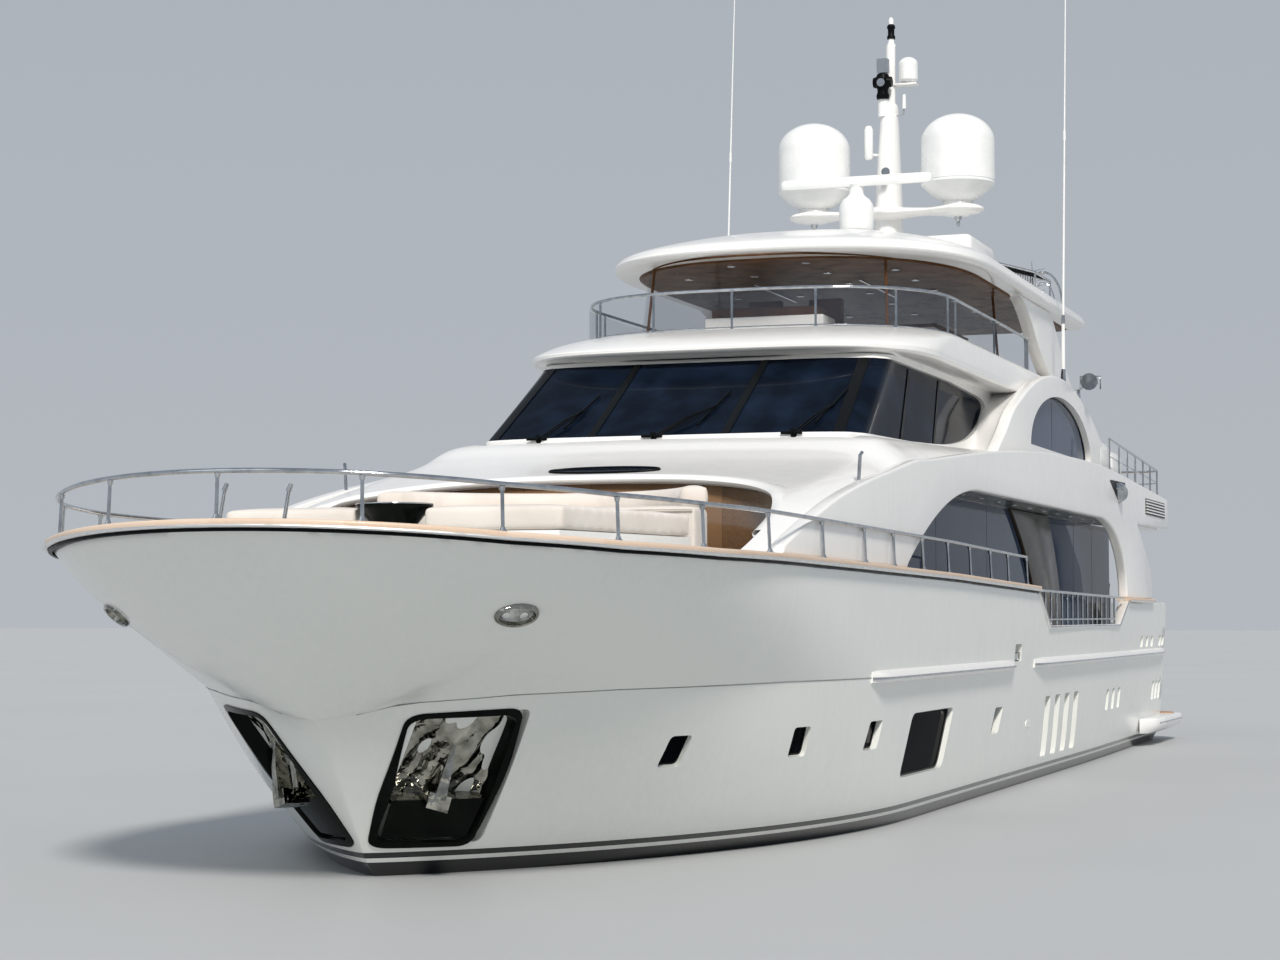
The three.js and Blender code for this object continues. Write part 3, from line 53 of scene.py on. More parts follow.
Row = Sequence[float]
Colour = tuple[float, float, float, float]
Points = list[tuple[float, float]]
BMesh, Mesh, Tree, Socket = bmesh.types.BMesh, bpy.types.Mesh, bpy.types.NodeTree, bpy.types.NodeSocket
UP = Vector((0, 0, 1))

# tops of the decks that pieces stand on, with 0.4 mm of air
FOREDECK = 2.7504
UPPER_DECK = 4.6004
# corners nearer than this are joined, on large forms and on fine ones
GAP, FINE_GAP = 1e-4, 1e-5
# edges sharper than this are rounded, or stay sharp on CAD nodes
SHARP = radians(30)
# how near to a skin the faces are that belong to it
REACH = 0.004


class Side(Enum):
    """The two sides of the boat, with the sign of y on each."""

    PORT = 1
    STARBOARD = -1

    @property
    def label(self) -> str:
        """Name of the side as the CAD nodes write it."""
        return self.name.lower()


def smooth(t: float) -> float:
    """Eases a share from 0 to 1."""
    return t * t * (3 - 2 * t)


def fullness(from_stem: float, run: float, p: float, q: float) -> float:
    """Half breadth share of an entrance, from 0 at the stem to 1 at the end of its run.

    Args:
        from_stem: Distance aft of the stem.
        run: Length of the entrance.
        p: Power of the run.
        q: Bluntness at the stem.

    Returns:
        The share of the half beam.
    """
    if from_stem <= 0:
        return 0.0
    return (1 - (1 - min(from_stem / run, 1)) ** p) ** (1 / q)


def along(table: Sequence[Row], x: float) -> float:
    """Reads a table of (x, value) rows whose x falls from row to row.

    Args:
        table: The rows.
        x: Where to read.

    Returns:
        The value there, held level past both ends.
    """
    if x >= table[0][0]:
        return table[0][1]
    for (x0, v0), (x1, v1) in zip(table, table[1:]):
        if x >= x1:
            return v0 + (v1 - v0) * (x0 - x) / (x0 - x1)
    return table[-1][1]


def spline(four: Sequence[Row], t: float) -> tuple[float, ...]:
    """Row at a share of the way between the middle two of four rows, on a smooth curve."""
    return tuple(0.5 * (2 * b + (c - a) * t + (2 * a - 5 * b + 4 * c - d) * t * t + (3 * b - a - 3 * c + d) * t**3)
        for a, b, c, d in zip(*four))


def refine(rows: Sequence[Row], steps: int) -> list[tuple[float, ...]]:
    """Puts smooth rows between rows of numbers.

    Args:
        rows: The rows that the curve goes through.
        steps: How many rows each gap becomes.

    Returns:
        All the rows, first and last kept.
    """
    out = []
    last = len(rows) - 1
    for i in range(last):
        four = (rows[max(i - 1, 0)], rows[i], rows[i + 1], rows[min(i + 2, last)])
        for k in range(steps):
            out.append(spline(four, k / steps))
    out.append(tuple(rows[-1]))
    return out


def arc(cx: float, cz: float, rx: float, rz: float, start: float, end: float, count: int) -> Points:
    """Points of an oval arc.

    Args:
        cx: Centre, first coordinate.
        cz: Centre, second coordinate.
        rx: Half axis along the first coordinate.
        rz: Half axis along the second coordinate.
        start: First angle in degrees.
        end: Last angle in degrees.
        count: Number of steps.

    Returns:
        The points, both ends included.
    """
    turns = [radians(start + (end - start) * i / count) for i in range(count + 1)]
    return [(cx + rx * cos(a), cz + rz * sin(a)) for a in turns]


def angles(count: int, whole: float = tau, last: bool = False) -> list[float]:
    """Angles in even steps from 0, with the last one where it is asked for."""
    return [whole * k / count for k in range(count + last)]


def bend(start: Vector, corner: Vector, end: Vector, t: float) -> Vector:
    """Place at a share of the way round a rounded corner."""
    return start * (1 - t) ** 2 + corner * 2 * t * (1 - t) + end * t * t


def both_ways(port: Sequence[Vector], *middle: Vector) -> list[Vector]:
    """A line on port, the places between, and the same line back on starboard."""
    return [*port, *middle, *(Vector((p.x, -p.y, p.z)) for p in reversed(port))]


def whole_plan(port: Points) -> Points:
    """Closes the port half of a plan, which starts and ends on the centreline."""
    return [*port, *((x, -y) for x, y in reversed(port[1:-1]))]


def frame_at(place: Vector, x: Vector, y: Vector, z: Vector) -> Matrix:
    """Frame at a place with three axes."""
    made = Matrix((x, y, z)).transposed().to_4x4()
    made.translation = place
    return made


# Finishes


def linear(hex_colour: str) -> Colour:
    """Turns an sRGB hex colour to linear light."""
    parts = [int(hex_colour[i : i + 2], 16) / 255 for i in (1, 3, 5)]
    r, g, b = (c / 12.92 if c <= 0.04045 else ((c + 0.055) / 1.055) ** 2.4 for c in parts)
    return (r, g, b, 1.0)


def add_node(tree: Tree, kind: str, inputs: dict | None = None, **settings: object) -> bpy.types.Node:
    """Adds a node with its settings and links.

    Args:
        tree: The material's node tree.
        kind: Class name of the node.
        inputs: Value or source socket for each input, by name or number.
        settings: Properties of the node.

    Returns:
        The new node.
    """
    node = tree.nodes.new(kind)
    for key, value in settings.items():
        setattr(node, key, value)
    for key, value in (inputs or {}).items():
        if isinstance(value, Socket):
            tree.links.new(value, node.inputs[key])
        else:
            node.inputs[key].default_value = value
    return node


def object_place(tree: Tree) -> Socket:
    """Place on the object, in metres."""
    return add_node(tree, "ShaderNodeTexCoord").outputs["Object"]


def noise(tree: Tree, place: Socket, size: float, detail: float) -> Socket:
    """Noise with patches of a size in metres."""
    return add_node(tree, "ShaderNodeTexNoise", {"Vector": place, "Scale": 1 / size, "Detail": detail}).outputs[0]


def mapped(tree: Tree, value: Socket, *ends: float) -> Socket:
    """Stretches a value: lowest and highest that come in, what they become."""
    return add_node(tree, "ShaderNodeMapRange", {0: value, **dict(enumerate(ends, 1))}).outputs[0]


def mixed(tree: Tree, share: Socket, first: Socket | Colour, second: Socket | Colour) -> Socket:
    """Mixes two colours by a share."""
    return add_node(tree, "ShaderNodeMix", {0: share, 6: first, 7: second}, data_type="RGBA").outputs[2]


def bumped(tree: Tree, height: Socket, strength: float, distance: float) -> Socket:
    """Bends the normal after a height."""
    return add_node(tree, "ShaderNodeBump", {"Height": height, "Strength": strength, "Distance": distance}).outputs[0]


def maths(tree: Tree, how: str, *values: Socket | float) -> Socket:
    """Reckons with values."""
    return add_node(tree, "ShaderNodeMath", dict(enumerate(values)), operation=how).outputs[0]


def principled(tree: Tree, inputs: dict) -> Socket:
    """The surface shader."""
    return add_node(tree, "ShaderNodeBsdfPrincipled", inputs).outputs[0]


@dataclass(frozen=True)
class Finish:
    """What every finish has: a name, the record's material slot, and a material that is made once."""

    name: str
    slot: str = "gelcoat"

    def surface(self, tree: Tree) -> Socket:
        """Adds the shader's nodes and returns its output."""
        raise NotImplementedError

    def material(self) -> bpy.types.Material:
        """The finish's material, made at the first call.

        Returns:
            The material.
        """
        found = bpy.data.materials.get(self.name)
        if found:
            return found
        made = bpy.data.materials.new(self.name)
        made.use_nodes = True
        made.node_tree.nodes.clear()
        add_node(made.node_tree, "ShaderNodeOutputMaterial", {"Surface": self.surface(made.node_tree)})
        return made


@dataclass(frozen=True)
class Gelcoat(Finish):
    """Polyester gelcoat, sprayed in a mould and polished: bright white, deep gloss, faint waves in the reflections."""

    tint: str = "#F2F1EE"
    shade: str = "#E9E9E6"
    roughness: float = 0.2
    cloud: float = 1.4
    wave: float = 0.45

    def surface(self, tree: Tree) -> Socket:
        """Adds the shader's nodes and returns its output.

        Args:
            tree: The material's node tree.

        Returns:
            The shader's output.
        """
        place = object_place(tree)
        colour = self.colour(tree, place)
        wear = noise(tree, place, 0.25, 5.0)
        rough = mapped(tree, wear, 0.3, 0.75, self.roughness, self.roughness + 0.04)
        bump = bumped(tree, noise(tree, place, self.wave, 1.0), 0.06, 0.02)
        return principled(tree, {"Base Color": colour, "Roughness": rough, "Normal": bump, "Coat Weight": 0.35,
            "Coat Roughness": 0.05})

    def colour(self, tree: Tree, place: Socket) -> Socket:
        """White with faint clouds and rain streaks.

        Args:
            tree: The material's node tree.
            place: Object coordinates.

        Returns:
            The colour socket.
        """
        cloud = noise(tree, place, self.cloud, 3.0)
        run = add_node(tree, "ShaderNodeMapping", {"Vector": place, "Scale": (14.0, 14.0, 0.7)})
        streak = add_node(tree, "ShaderNodeTexNoise", {"Vector": run.outputs[0], "Scale": 1.0, "Detail": 4.0})
        both = maths(tree, "MULTIPLY", cloud, streak.outputs[0])
        share = mapped(tree, both, 0.15, 0.5, 0.0, 0.6)
        return mixed(tree, share, linear(self.tint), linear(self.shade))


@dataclass(frozen=True)
class HullGelcoat(Gelcoat):
    """Gelcoat of the topsides with the boot top painted below: black bottom, one white stripe, black line over it. Its
    white is toned greyer than the superstructure's as painted shade of the flaring topsides.
    """

    # both whites toned down from the superstructure's gelcoat: painted shade, as the flare faces down and gets less
    # light
    tint: str = "#E4E6E1"
    shade: str = "#DBDEDA"
    black: str = "#0B0D0E"
    paint_top: float = 0.255
    stripe: tuple[float, float] = (0.15, 0.195)

    def colour(self, tree: Tree, place: Socket) -> Socket:
        """White above, boot top below.

        Args:
            tree: The material's node tree.
            place: Object coordinates.

        Returns:
            The colour socket.
        """
        white = super().colour(tree, place)
        height = add_node(tree, "ShaderNodeSeparateXYZ", {0: place}).outputs[2]
        below = maths(tree, "LESS_THAN", height, self.paint_top)
        low, high = self.stripe
        stripe = maths(tree, "COMPARE", height, (low + high) / 2, (high - low) / 2)
        painted = add_node(tree, "ShaderNodeMath", {0: below, 1: stripe}, operation="SUBTRACT", use_clamp=True)
        return mixed(tree, painted.outputs[0], white, linear(self.black))


@dataclass(frozen=True)
class Moulding(Finish):
    """Moulded or painted part in one colour with grain: satin to gloss, slightly uneven, edges a little dusty."""

    slot: str = "black_moulding"
    tint: str = "#141517"
    dust: str = "#26282A"
    roughness: float = 0.45
    grain: float = 0.012
    depth: float = 0.0006
    coat: float = 0.0
    index: float = 1.5

    def surface(self, tree: Tree) -> Socket:
        """Adds the shader's nodes and returns its output.

        Args:
            tree: The material's node tree.

        Returns:
            The shader's output.
        """
        place = object_place(tree)
        cloud = noise(tree, place, 0.3, 4.0)
        share = mapped(tree, cloud, 0.35, 0.75, 0.0, 1.0)
        colour = mixed(tree, share, linear(self.tint), linear(self.dust))
        bump = bumped(tree, noise(tree, place, self.grain, 2.0), 0.4, self.depth)
        rough = mapped(tree, cloud, 0.3, 0.7, self.roughness * 0.8, self.roughness * 1.2)
        return principled(tree, {"Base Color": colour, "Roughness": rough, "Normal": bump, "Coat Weight": self.coat,
            "Coat Roughness": 0.05, "Coat IOR": self.index, "IOR": self.index})


@dataclass(frozen=True)
class Metal(Finish):
    """Polished or cast metal: mirror bright with fine rub marks, or dull with tarnish in patches. On the polished
    steels the greys are toned down and darker in patches as painted dark reflection.
    """

    slot: str = "stainless"
    # default greys toned down from bright steel, darker in patches: painted dark reflection
    tint: str = "#C2C5C8"
    tarnish_and_reflection: str = "#9DA2A7"
    roughness: float = 0.07
    patch: float = 0.12
    crease: float = 0.02
    depth: float = 0.0002

    def surface(self, tree: Tree) -> Socket:
        """Adds the shader's nodes and returns its output.

        Args:
            tree: The material's node tree.

        Returns:
            The shader's output.
        """
        place = object_place(tree)
        # patches of the second colour: tarnish on the bronze, painted dark reflection on the polished steels
        cloud = noise(tree, place, self.patch, 5.0)
        share = mapped(tree, cloud, 0.4, 0.75, 0.0, 1.0)
        colour = mixed(tree, share, linear(self.tint), linear(self.tarnish_and_reflection))
        rough = mapped(tree, share, 0.0, 1.0, self.roughness, self.roughness * 2.2)
        bump = bumped(tree, noise(tree, place, self.crease, 2.0), 0.5, self.depth)
        return principled(tree, {"Base Color": colour, "Metallic": 1.0, "Roughness": rough, "Normal": bump})


@dataclass(frozen=True)
class TintedGlass(Finish):
    """Tinted float glass: dark with sharp reflections, a film of salt in places, slightly wavy."""

    slot: str = "dark_glass"
    tint: str = "#0A121D"
    film: str = "#172335"
    opacity: float = 0.95
    index: float = 1.08

    def surface(self, tree: Tree) -> Socket:
        """Adds the shader's nodes and returns its output.

        Args:
            tree: The material's node tree.

        Returns:
            The shader's output.
        """
        place = object_place(tree)
        salt = noise(tree, place, 0.5, 4.0)
        share = mapped(tree, salt, 0.4, 0.8, 0.0, 1.0)
        colour = mixed(tree, share, linear(self.tint), linear(self.film))
        rough = mapped(tree, share, 0.0, 1.0, 0.015, 0.06)
        bump = bumped(tree, noise(tree, place, 0.8, 1.0), 0.1, 0.02)
        return principled(tree, {"Base Color": colour, "Roughness": rough, "Normal": bump, "Alpha": self.opacity,
            "IOR": self.index})


@dataclass(frozen=True)
class Planks(Finish):
    """Teak, oiled or silvered: fine grain along the boat, boards of slightly different tone, black caulking between."""

    slot: str = "teak"
    tint: str = "#B48D66"
    dark: str = "#96714C"
    board: float = 0.075
    caulk: float = 0.07
    seam: str = "#1A1714"
    roughness: float = 0.55
    coat: float = 0.0

    def surface(self, tree: Tree) -> Socket:
        """Adds the shader's nodes and returns its output.

        Args:
            tree: The material's node tree.

        Returns:
            The shader's output.
        """
        place = object_place(tree)
        across = add_node(tree, "ShaderNodeSeparateXYZ", {0: place}).outputs[1]
        count = maths(tree, "DIVIDE", across, self.board)
        number = maths(tree, "FLOOR", count)
        share = maths(tree, "FRACT", count)
        tone = add_node(tree, "ShaderNodeTexWhiteNoise", {"W": number}, noise_dimensions="1D").outputs[0]
        stretched = add_node(tree, "ShaderNodeMapping", {"Vector": place, "Scale": (2.0, 60.0, 30.0)}).outputs[0]
        grain = add_node(tree, "ShaderNodeTexNoise", {"Vector": stretched, "Scale": 1.0, "Detail": 6.0}).outputs[0]
        share_dark = maths(tree, "MULTIPLY", tone, grain)
        wood = mixed(tree, share_dark, linear(self.tint), linear(self.dark))
        line = maths(tree, "COMPARE", share, 0.0, self.caulk)
        colour = mixed(tree, line, wood, linear(self.seam))
        height = maths(tree, "SUBTRACT", grain, line)
        bump = bumped(tree, height, 0.35, 0.002)
        rough = mapped(tree, grain, 0.3, 0.7, self.roughness * 0.85, self.roughness * 1.1)
        return principled(tree, {"Base Color": colour, "Roughness": rough, "Normal": bump, "Coat Weight": self.coat,
            "Coat Roughness": 0.06})


@dataclass(frozen=True)
class CoverCloth(Finish):
    """Woven acrylic cover cloth: matt beige, a plain weave, soft creases and a little weather staining."""

    slot: str = "canvas"
    tint: str = "#E1DAD2"
    stain: str = "#D3CAC0"
    # the real thread is 0.8 mm; drawn as 9 mm so that the weave shows
    thread: float = 0.009

    def surface(self, tree: Tree) -> Socket:
        """Adds the shader's nodes and returns its output.

        Args:
            tree: The material's node tree.

        Returns:
            The shader's output.
        """
        place = object_place(tree)
        cloud = noise(tree, place, 0.7, 4.0)
        share = mapped(tree, cloud, 0.35, 0.75, 0.0, 1.0)
        colour = mixed(tree, share, linear(self.tint), linear(self.stain))
        turns = tau / self.thread / 20
        warp = add_node(tree, "ShaderNodeTexWave", {"Vector": place, "Scale": turns}, bands_direction="X").outputs[1]
        weft = add_node(tree, "ShaderNodeTexWave", {"Vector": place, "Scale": turns}, bands_direction="Y").outputs[1]
        weave = maths(tree, "MULTIPLY", warp, weft)
        crease = add_node(tree, "ShaderNodeTexNoise", {"Vector": place, "Scale": 1 / 0.35, "Detail": 2.0,
            "Distortion": 0.6}).outputs[0]
        folds = bumped(tree, crease, 0.5, 0.02)
        bump = add_node(tree, "ShaderNodeBump", {"Height": weave, "Strength": 0.25, "Distance": 0.001,
            "Normal": folds}).outputs[0]
        return principled(tree, {"Base Color": colour, "Roughness": 0.85, "Normal": bump, "Sheen Weight": 0.25})


WHITE = Gelcoat("superstructure_gelcoat")
HULL_WHITE = HullGelcoat("hull_gelcoat")
RADOME = Moulding("radome_moulding", slot="gelcoat", tint="#F0F1EF", dust="#E6E8E6", roughness=0.3, grain=0.2,
    depth=0.002, coat=0.3)
DECK_TEAK = Planks("teak_deck")
CAP_TEAK = Planks("teak_cap_rail", tint="#DCC6B1", dark="#C9AB8F", board=0.6, caulk=0.0, roughness=0.42, coat=0.2)
GLOSS_WOOD = Planks("varnished_lining", tint="#836548", dark="#3E2C1E", board=0.9, caulk=0.004, roughness=0.16,
    coat=1.0)
# the default greys, toned down and darker in patches as painted dark reflection
STEEL = Metal("polished_stainless_steel")
# near-white tint, brighter than polished steel: painted highlight along the polished half round and in the hawse
# throats
RUB_STEEL = Metal("rub_strip_painted_highlight", tint="#F4F4F2", tarnish_and_reflection="#E2E3E3", roughness=0.3)
# dark greys, near black in patches: painted dark reflection in the polished plates, hawses and anchors
MIRROR = Metal("mirror_steel_plate", tint="#A5A49C", tarnish_and_reflection="#5A5951", roughness=0.03, crease=0.16, depth=0.07)
BRONZE = Metal("cast_bronze", tint="#B18A4E", tarnish_and_reflection="#6F6A45", roughness=0.3, crease=0.03, depth=0.001)
DARK_GLASS = TintedGlass("dark_tinted_glass")
PORT_GLASS = TintedGlass("portlight_glass", tint="#07090C", film="#0C1015", opacity=1.0, index=1.03)
SIDE_GLASS = TintedGlass("side_window_glass", tint="#3A465C", film="#434F66", opacity=0.97, index=1.15)
SCREEN_GLASS = TintedGlass("screen_glass", slot="clear_glass", tint="#3A3028", film="#4E453C", opacity=0.08, index=1.05)
RAIL_GLASS = TintedGlass("rail_glass", slot="clear_glass", tint="#4A5A6C", film="#5E6C7C", opacity=0.1, index=1.08)
CLOTH = CoverCloth("cover_cloth")
BLACK_GLOSS = Moulding("black_gloss_plate", tint="#0A0D0B", dust="#131714", roughness=0.08, grain=0.3, depth=0.004,
    index=1.12)
BLACK_SATIN = Moulding("black_satin_moulding", tint="#090B0D", dust="#101315", roughness=0.35, index=1.15)
PILLAR_BROWN = Moulding("dark_brown_pillar", tint="#2E241C", dust="#241B14", roughness=0.18, grain=0.5, index=1.2)
CREASE_GREY = Moulding("crease_shadow", slot="gelcoat", tint="#8B9190", dust="#7D8382", roughness=0.5)
GREY_SEAL = Moulding("grey_seal", tint="#5C5F61", dust="#6E7173", roughness=0.5)
# dark grey-green on what are white gloss panels: painted shade and painted reflection of dark water
CEILING_PAINTED_SHADE = Moulding("gloss_ceiling_painted_shade", slot="gelcoat", tint="#5E6664", dust="#545B59", roughness=0.12, grain=0.6,
    depth=0.01, index=1.04)
BROWN_GLOSS = Moulding("brown_gloss_liner", tint="#6A4930", dust="#45301F", roughness=0.2, grain=0.5, depth=0.01,
    index=1.04)
BLIND = Moulding("roller_blind", slot="canvas", tint="#8C8578", dust="#7C766A", roughness=0.8, grain=0.01, depth=0.001)
WHIP = Moulding("white_glass_fibre", slot="fibreglass_whip", tint="#EDEEEC", dust="#E2E3E1", roughness=0.25, grain=0.05)


# Meshes


def grid(bm: BMesh, columns: int, rows: int, place: Callable[[int, int], Vector]) -> list:
    """Adds a grid of faces and lays its corners on a surface.

    Args:
        bm: The mesh in the making.
        columns: Number of faces along.
        rows: Number of faces across.
        place: Gives the place of corner (column, row).

    Returns:
        The new corners.
    """
    verts = bmesh.ops.create_grid(bm, x_segments=columns, y_segments=rows, size=0.5)["verts"]
    for vert in verts:
        i, j = round((vert.co.x + 0.5) * columns), round((vert.co.y + 0.5) * rows)
        vert.co = place(i, j)
    return verts


def face_out(bm: BMesh) -> None:
    """Turns the faces outwards."""
    bmesh.ops.recalc_face_normals(bm, faces=bm.faces)


def weld(bm: BMesh, gap: float = GAP) -> None:
    """Joins corners that meet, closes what is open and turns the faces outwards.

    Args:
        bm: The mesh in the making.
        gap: How near corners are joined.
    """
    bmesh.ops.remove_doubles(bm, verts=bm.verts, dist=gap)
    bmesh.ops.dissolve_degenerate(bm, dist=gap / 2, edges=bm.edges)
    bmesh.ops.holes_fill(bm, edges=[e for e in bm.edges if e.is_boundary], sides=0)
    face_out(bm)


def mirror_to_starboard(*parts: BMesh, merge: float = 0) -> None:
    """Adds the starboard half of what is there and turns the faces outwards."""
    for bm in parts:
        bmesh.ops.mirror(bm, geom=bm.verts[:] + bm.edges[:] + bm.faces[:], axis="Y", merge_dist=merge)
        face_out(bm)


def shells(bm: BMesh, rings: Sequence[Sequence[Row]], closed: bool = False) -> None:
    """Adds a skin through rings of the same count of points.

    Args:
        bm: The mesh in the making.
        rings: The rings, in order.
        closed: True where each ring ends at its first point.
    """
    count = len(rings[0])
    grid(bm, count if closed else count - 1, len(rings) - 1, lambda i, j: Vector(rings[j][i % count]))


def draw_out(bm: BMesh, outline: Sequence[Row], move: Row) -> None:
    """Adds a flat outline and draws it out by a move."""
    face = bm.faces.new([bm.verts.new(place) for place in outline])
    grown = bmesh.ops.extrude_face_region(bm, geom=[face])["geom"]
    bmesh.ops.translate(bm, verts=[g for g in grown if isinstance(g, bmesh.types.BMVert)], vec=move)


def plate(bm: BMesh, outline: Sequence[Row], y0: float, y1: float) -> None:
    """Adds a side view outline of (x, z) points as a plate from y0 to y1."""
    draw_out(bm, [(x, y0, z) for x, z in outline], (0, y1 - y0, 0))
    face_out(bm)


def slab(bm: BMesh, outline: Sequence[Row], z0: float, z1: float) -> None:
    """Adds a plan outline of (x, y) points as a slab from z0 to z1."""
    draw_out(bm, [(x, y, z0) for x, y in outline], (0, 0, z1 - z0))
    face_out(bm)


def block(bm: BMesh, low: Row, high: Row) -> None:
    """Adds a box between two corners."""
    middle = (Vector(low) + Vector(high)) / 2
    size = Vector(high) - Vector(low)
    bmesh.ops.create_cube(bm, size=1, matrix=Matrix.Translation(middle) @ Matrix.Diagonal((*size, 1)))


def drum(bm: BMesh, foot: Row, top: Row, r0: float, r1: float | None = None, sides: int = 20) -> None:
    """Adds a round bar or cone between two points.

    Args:
        bm: The mesh in the making.
        foot: Centre of one end.
        top: Centre of the other end.
        r0: Radius at the foot.
        r1: Radius at the top, the same where it is left out.
        sides: Faces round it.
    """
    axis = Vector(top) - Vector(foot)
    turn = axis.to_track_quat("Z", "Y").to_matrix().to_4x4()
    bmesh.ops.create_cone(bm, cap_ends=True, segments=sides, radius1=r0, radius2=r0 if r1 is None else r1,
        depth=axis.length, matrix=Matrix.Translation((Vector(foot) + Vector(top)) / 2) @ turn)


def soften(bm: BMesh, width: float, segments: int = 3) -> None:
    """Rounds the sharp edges."""
    sharp = [e for e in bm.edges if len(e.link_faces) == 2 and e.calc_face_angle(0) > SHARP]
    bmesh.ops.bevel(bm, geom=sharp, offset=width, offset_type="OFFSET", affect="EDGES", segments=segments, profile=0.5,
        clamp_overlap=True, material=-1)


def frames_along(path: Sequence[Vector]) -> list[Matrix]:
    """Upright frames at the points of a path: local x to the right of it, local y up, local z along it.

    Args:
        path: The points.

    Returns:
        One frame for each point.
    """
    out = []
    for i, point in enumerate(path):
        ahead = (path[min(i + 1, len(path) - 1)] - path[max(i - 1, 0)]).normalized()
        right = ahead.cross(UP)
        right = right.normalized() if right.length > 1e-3 else Vector((0, 1, 0))
        out.append(frame_at(point, right, right.cross(ahead), ahead))
    return out


def lofted(rings: Sequence[Sequence[Row]], closed: bool = True, gap: float = GAP) -> BMesh:
    """A solid through rings of the same count of points.

    Args:
        rings: The rings, in order.
        closed: False where they are port halves that end on the centreline.
        gap: How near corners are joined.

    Returns:
        The mesh in the making.
    """
    bm = bmesh.new()
    shells(bm, rings, closed)
    if not closed:
        mirror_to_starboard(bm, merge=GAP)
    weld(bm, gap=gap)
    return bm


def sweep(bm: BMesh, profile: Sequence[Row], frames: Sequence[Matrix]) -> None:
    """Adds a bar whose section, of (x, y) points, follows the frames of a path, with both ends closed."""
    merge_into(bm, lofted([[at @ Vector((x, y, 0)) for x, y in profile] for at in frames], gap=FINE_GAP))


def tube(bm: BMesh, path: Sequence[Row], radius: float, sides: int = 10) -> None:
    """Adds a round tube along a path."""
    sweep(bm, arc(0, 0, radius, radius, 0, 360 - 360 / sides, sides - 1), frames_along([Vector(p) for p in path]))


def turned(bm: BMesh, profile: Sequence[Row], centre: Row, steps: int = 48) -> None:
    """Adds a turned body.

    Args:
        bm: The mesh in the making.
        profile: (radius, z) points, from the foot up.
        centre: (x, y) of its axis.
        steps: Faces round it.
    """
    part = bmesh.new()
    line = [part.verts.new((r, 0, z)) for r, z in profile]
    edges = [part.edges.new(pair) for pair in zip(line, line[1:])]
    bmesh.ops.spin(part, geom=line + edges, cent=(0, 0, 0), axis=(0, 0, 1), angle=tau, steps=steps, use_merge=True)
    weld(part, gap=FINE_GAP)
    bmesh.ops.translate(part, verts=part.verts, vec=(centre[0], centre[1], 0))
    merge_into(bm, part)


def mesh_of(bm: BMesh, name: str = "tool") -> Mesh:
    """Ends a mesh in the making.

    Args:
        bm: The mesh in the making.
        name: Name of the mesh.

    Returns:
        The mesh.
    """
    made = bpy.data.meshes.new(name)
    bm.to_mesh(made)
    bm.free()
    return made


def merge_into(bm: BMesh, part: BMesh | Mesh) -> None:
    """Moves a finished part into a mesh in the making."""
    carrier = mesh_of(part) if isinstance(part, BMesh) else part
    bm.from_mesh(carrier)
    bpy.data.meshes.remove(carrier)


def boxed(low: Row, high: Row) -> BMesh:
    """A box between two corners, as a mesh in the making."""
    bm = bmesh.new()
    block(bm, low, high)
    return bm


def placed(name: str, data: bpy.types.ID | None) -> bpy.types.Object:
    """A new object in the scene."""
    obj = bpy.data.objects.new(name, data)
    bpy.context.scene.collection.objects.link(obj)
    return obj


def evaluated(obj: bpy.types.Object) -> Mesh:
    """The object's mesh as its modifiers leave it."""
    graph = bpy.context.evaluated_depsgraph_get()
    return bpy.data.meshes.new_from_object(obj.evaluated_get(graph), depsgraph=graph)


class Cut(Enum):
    """How one solid changes another."""

    LESS = "DIFFERENCE"
    COMMON = "INTERSECT"
    PLUS = "UNION"


def carve(solid: Mesh | BMesh, tool: Mesh | BMesh, how: Cut = Cut.LESS) -> Mesh:
    """Changes a solid by another.

    Args:
        solid: The solid.
        tool: The solid that cuts, is common with or is added to it.
        how: Which of the three.

    Returns:
        The new solid. Both old ones are removed.
    """
    meshes = [mesh_of(one) if isinstance(one, BMesh) else one for one in (solid, tool)]
    subject, cutter = (placed(mesh.name, mesh) for mesh in meshes)
    modifier = subject.modifiers.new("cut", "BOOLEAN")
    modifier.operation = how.value
    modifier.object = cutter
    modifier.solver = "MANIFOLD"
    made = evaluated(subject)
    for one in (subject, cutter):
        bpy.data.objects.remove(one)
    for old in meshes:
        bpy.data.meshes.remove(old)
    if not made.polygons:
        raise ValueError("a cut left nothing")
    return made


def piece(
    name: str,
    mesh: Mesh | BMesh,
    finishes: Finish | Sequence[Finish],
    body: str = "root",
    replaces: Sequence[str] = (),
    angle: float = 32,
) -> bpy.types.Object:
    """Makes a finished object that rides on a CAD body.

    Args:
        name: Name of the piece.
        mesh: Its mesh, in place.
        finishes: The finish of each material number.
        body: The CAD body that it rides on.
        replaces: CAD nodes that it stands for.
        angle: Faces that meet at more than this angle in degrees keep a sharp edge.

    Returns:
        The object.
    """
    made = mesh_of(mesh, name) if isinstance(mesh, BMesh) else mesh
    made.name = name
    made.materials.clear()
    looks = [finishes] if isinstance(finishes, Finish) else finishes
    for one in looks:
        made.materials.append(one.material())
    made.shade_smooth()
    made.set_sharp_from_angle(angle=radians(angle))
    obj = placed(name, made)
    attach(obj, body)
    if replaces:
        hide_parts(*replaces)
    LOG.info("%s: %d faces", name, len(made.polygons))
    return obj


def thicken(sheet: bpy.types.Object, thickness: float) -> None:
    """Gives an open skin its thickness."""
    sheet.modifiers.new("thickness", "SOLIDIFY").thickness = thickness


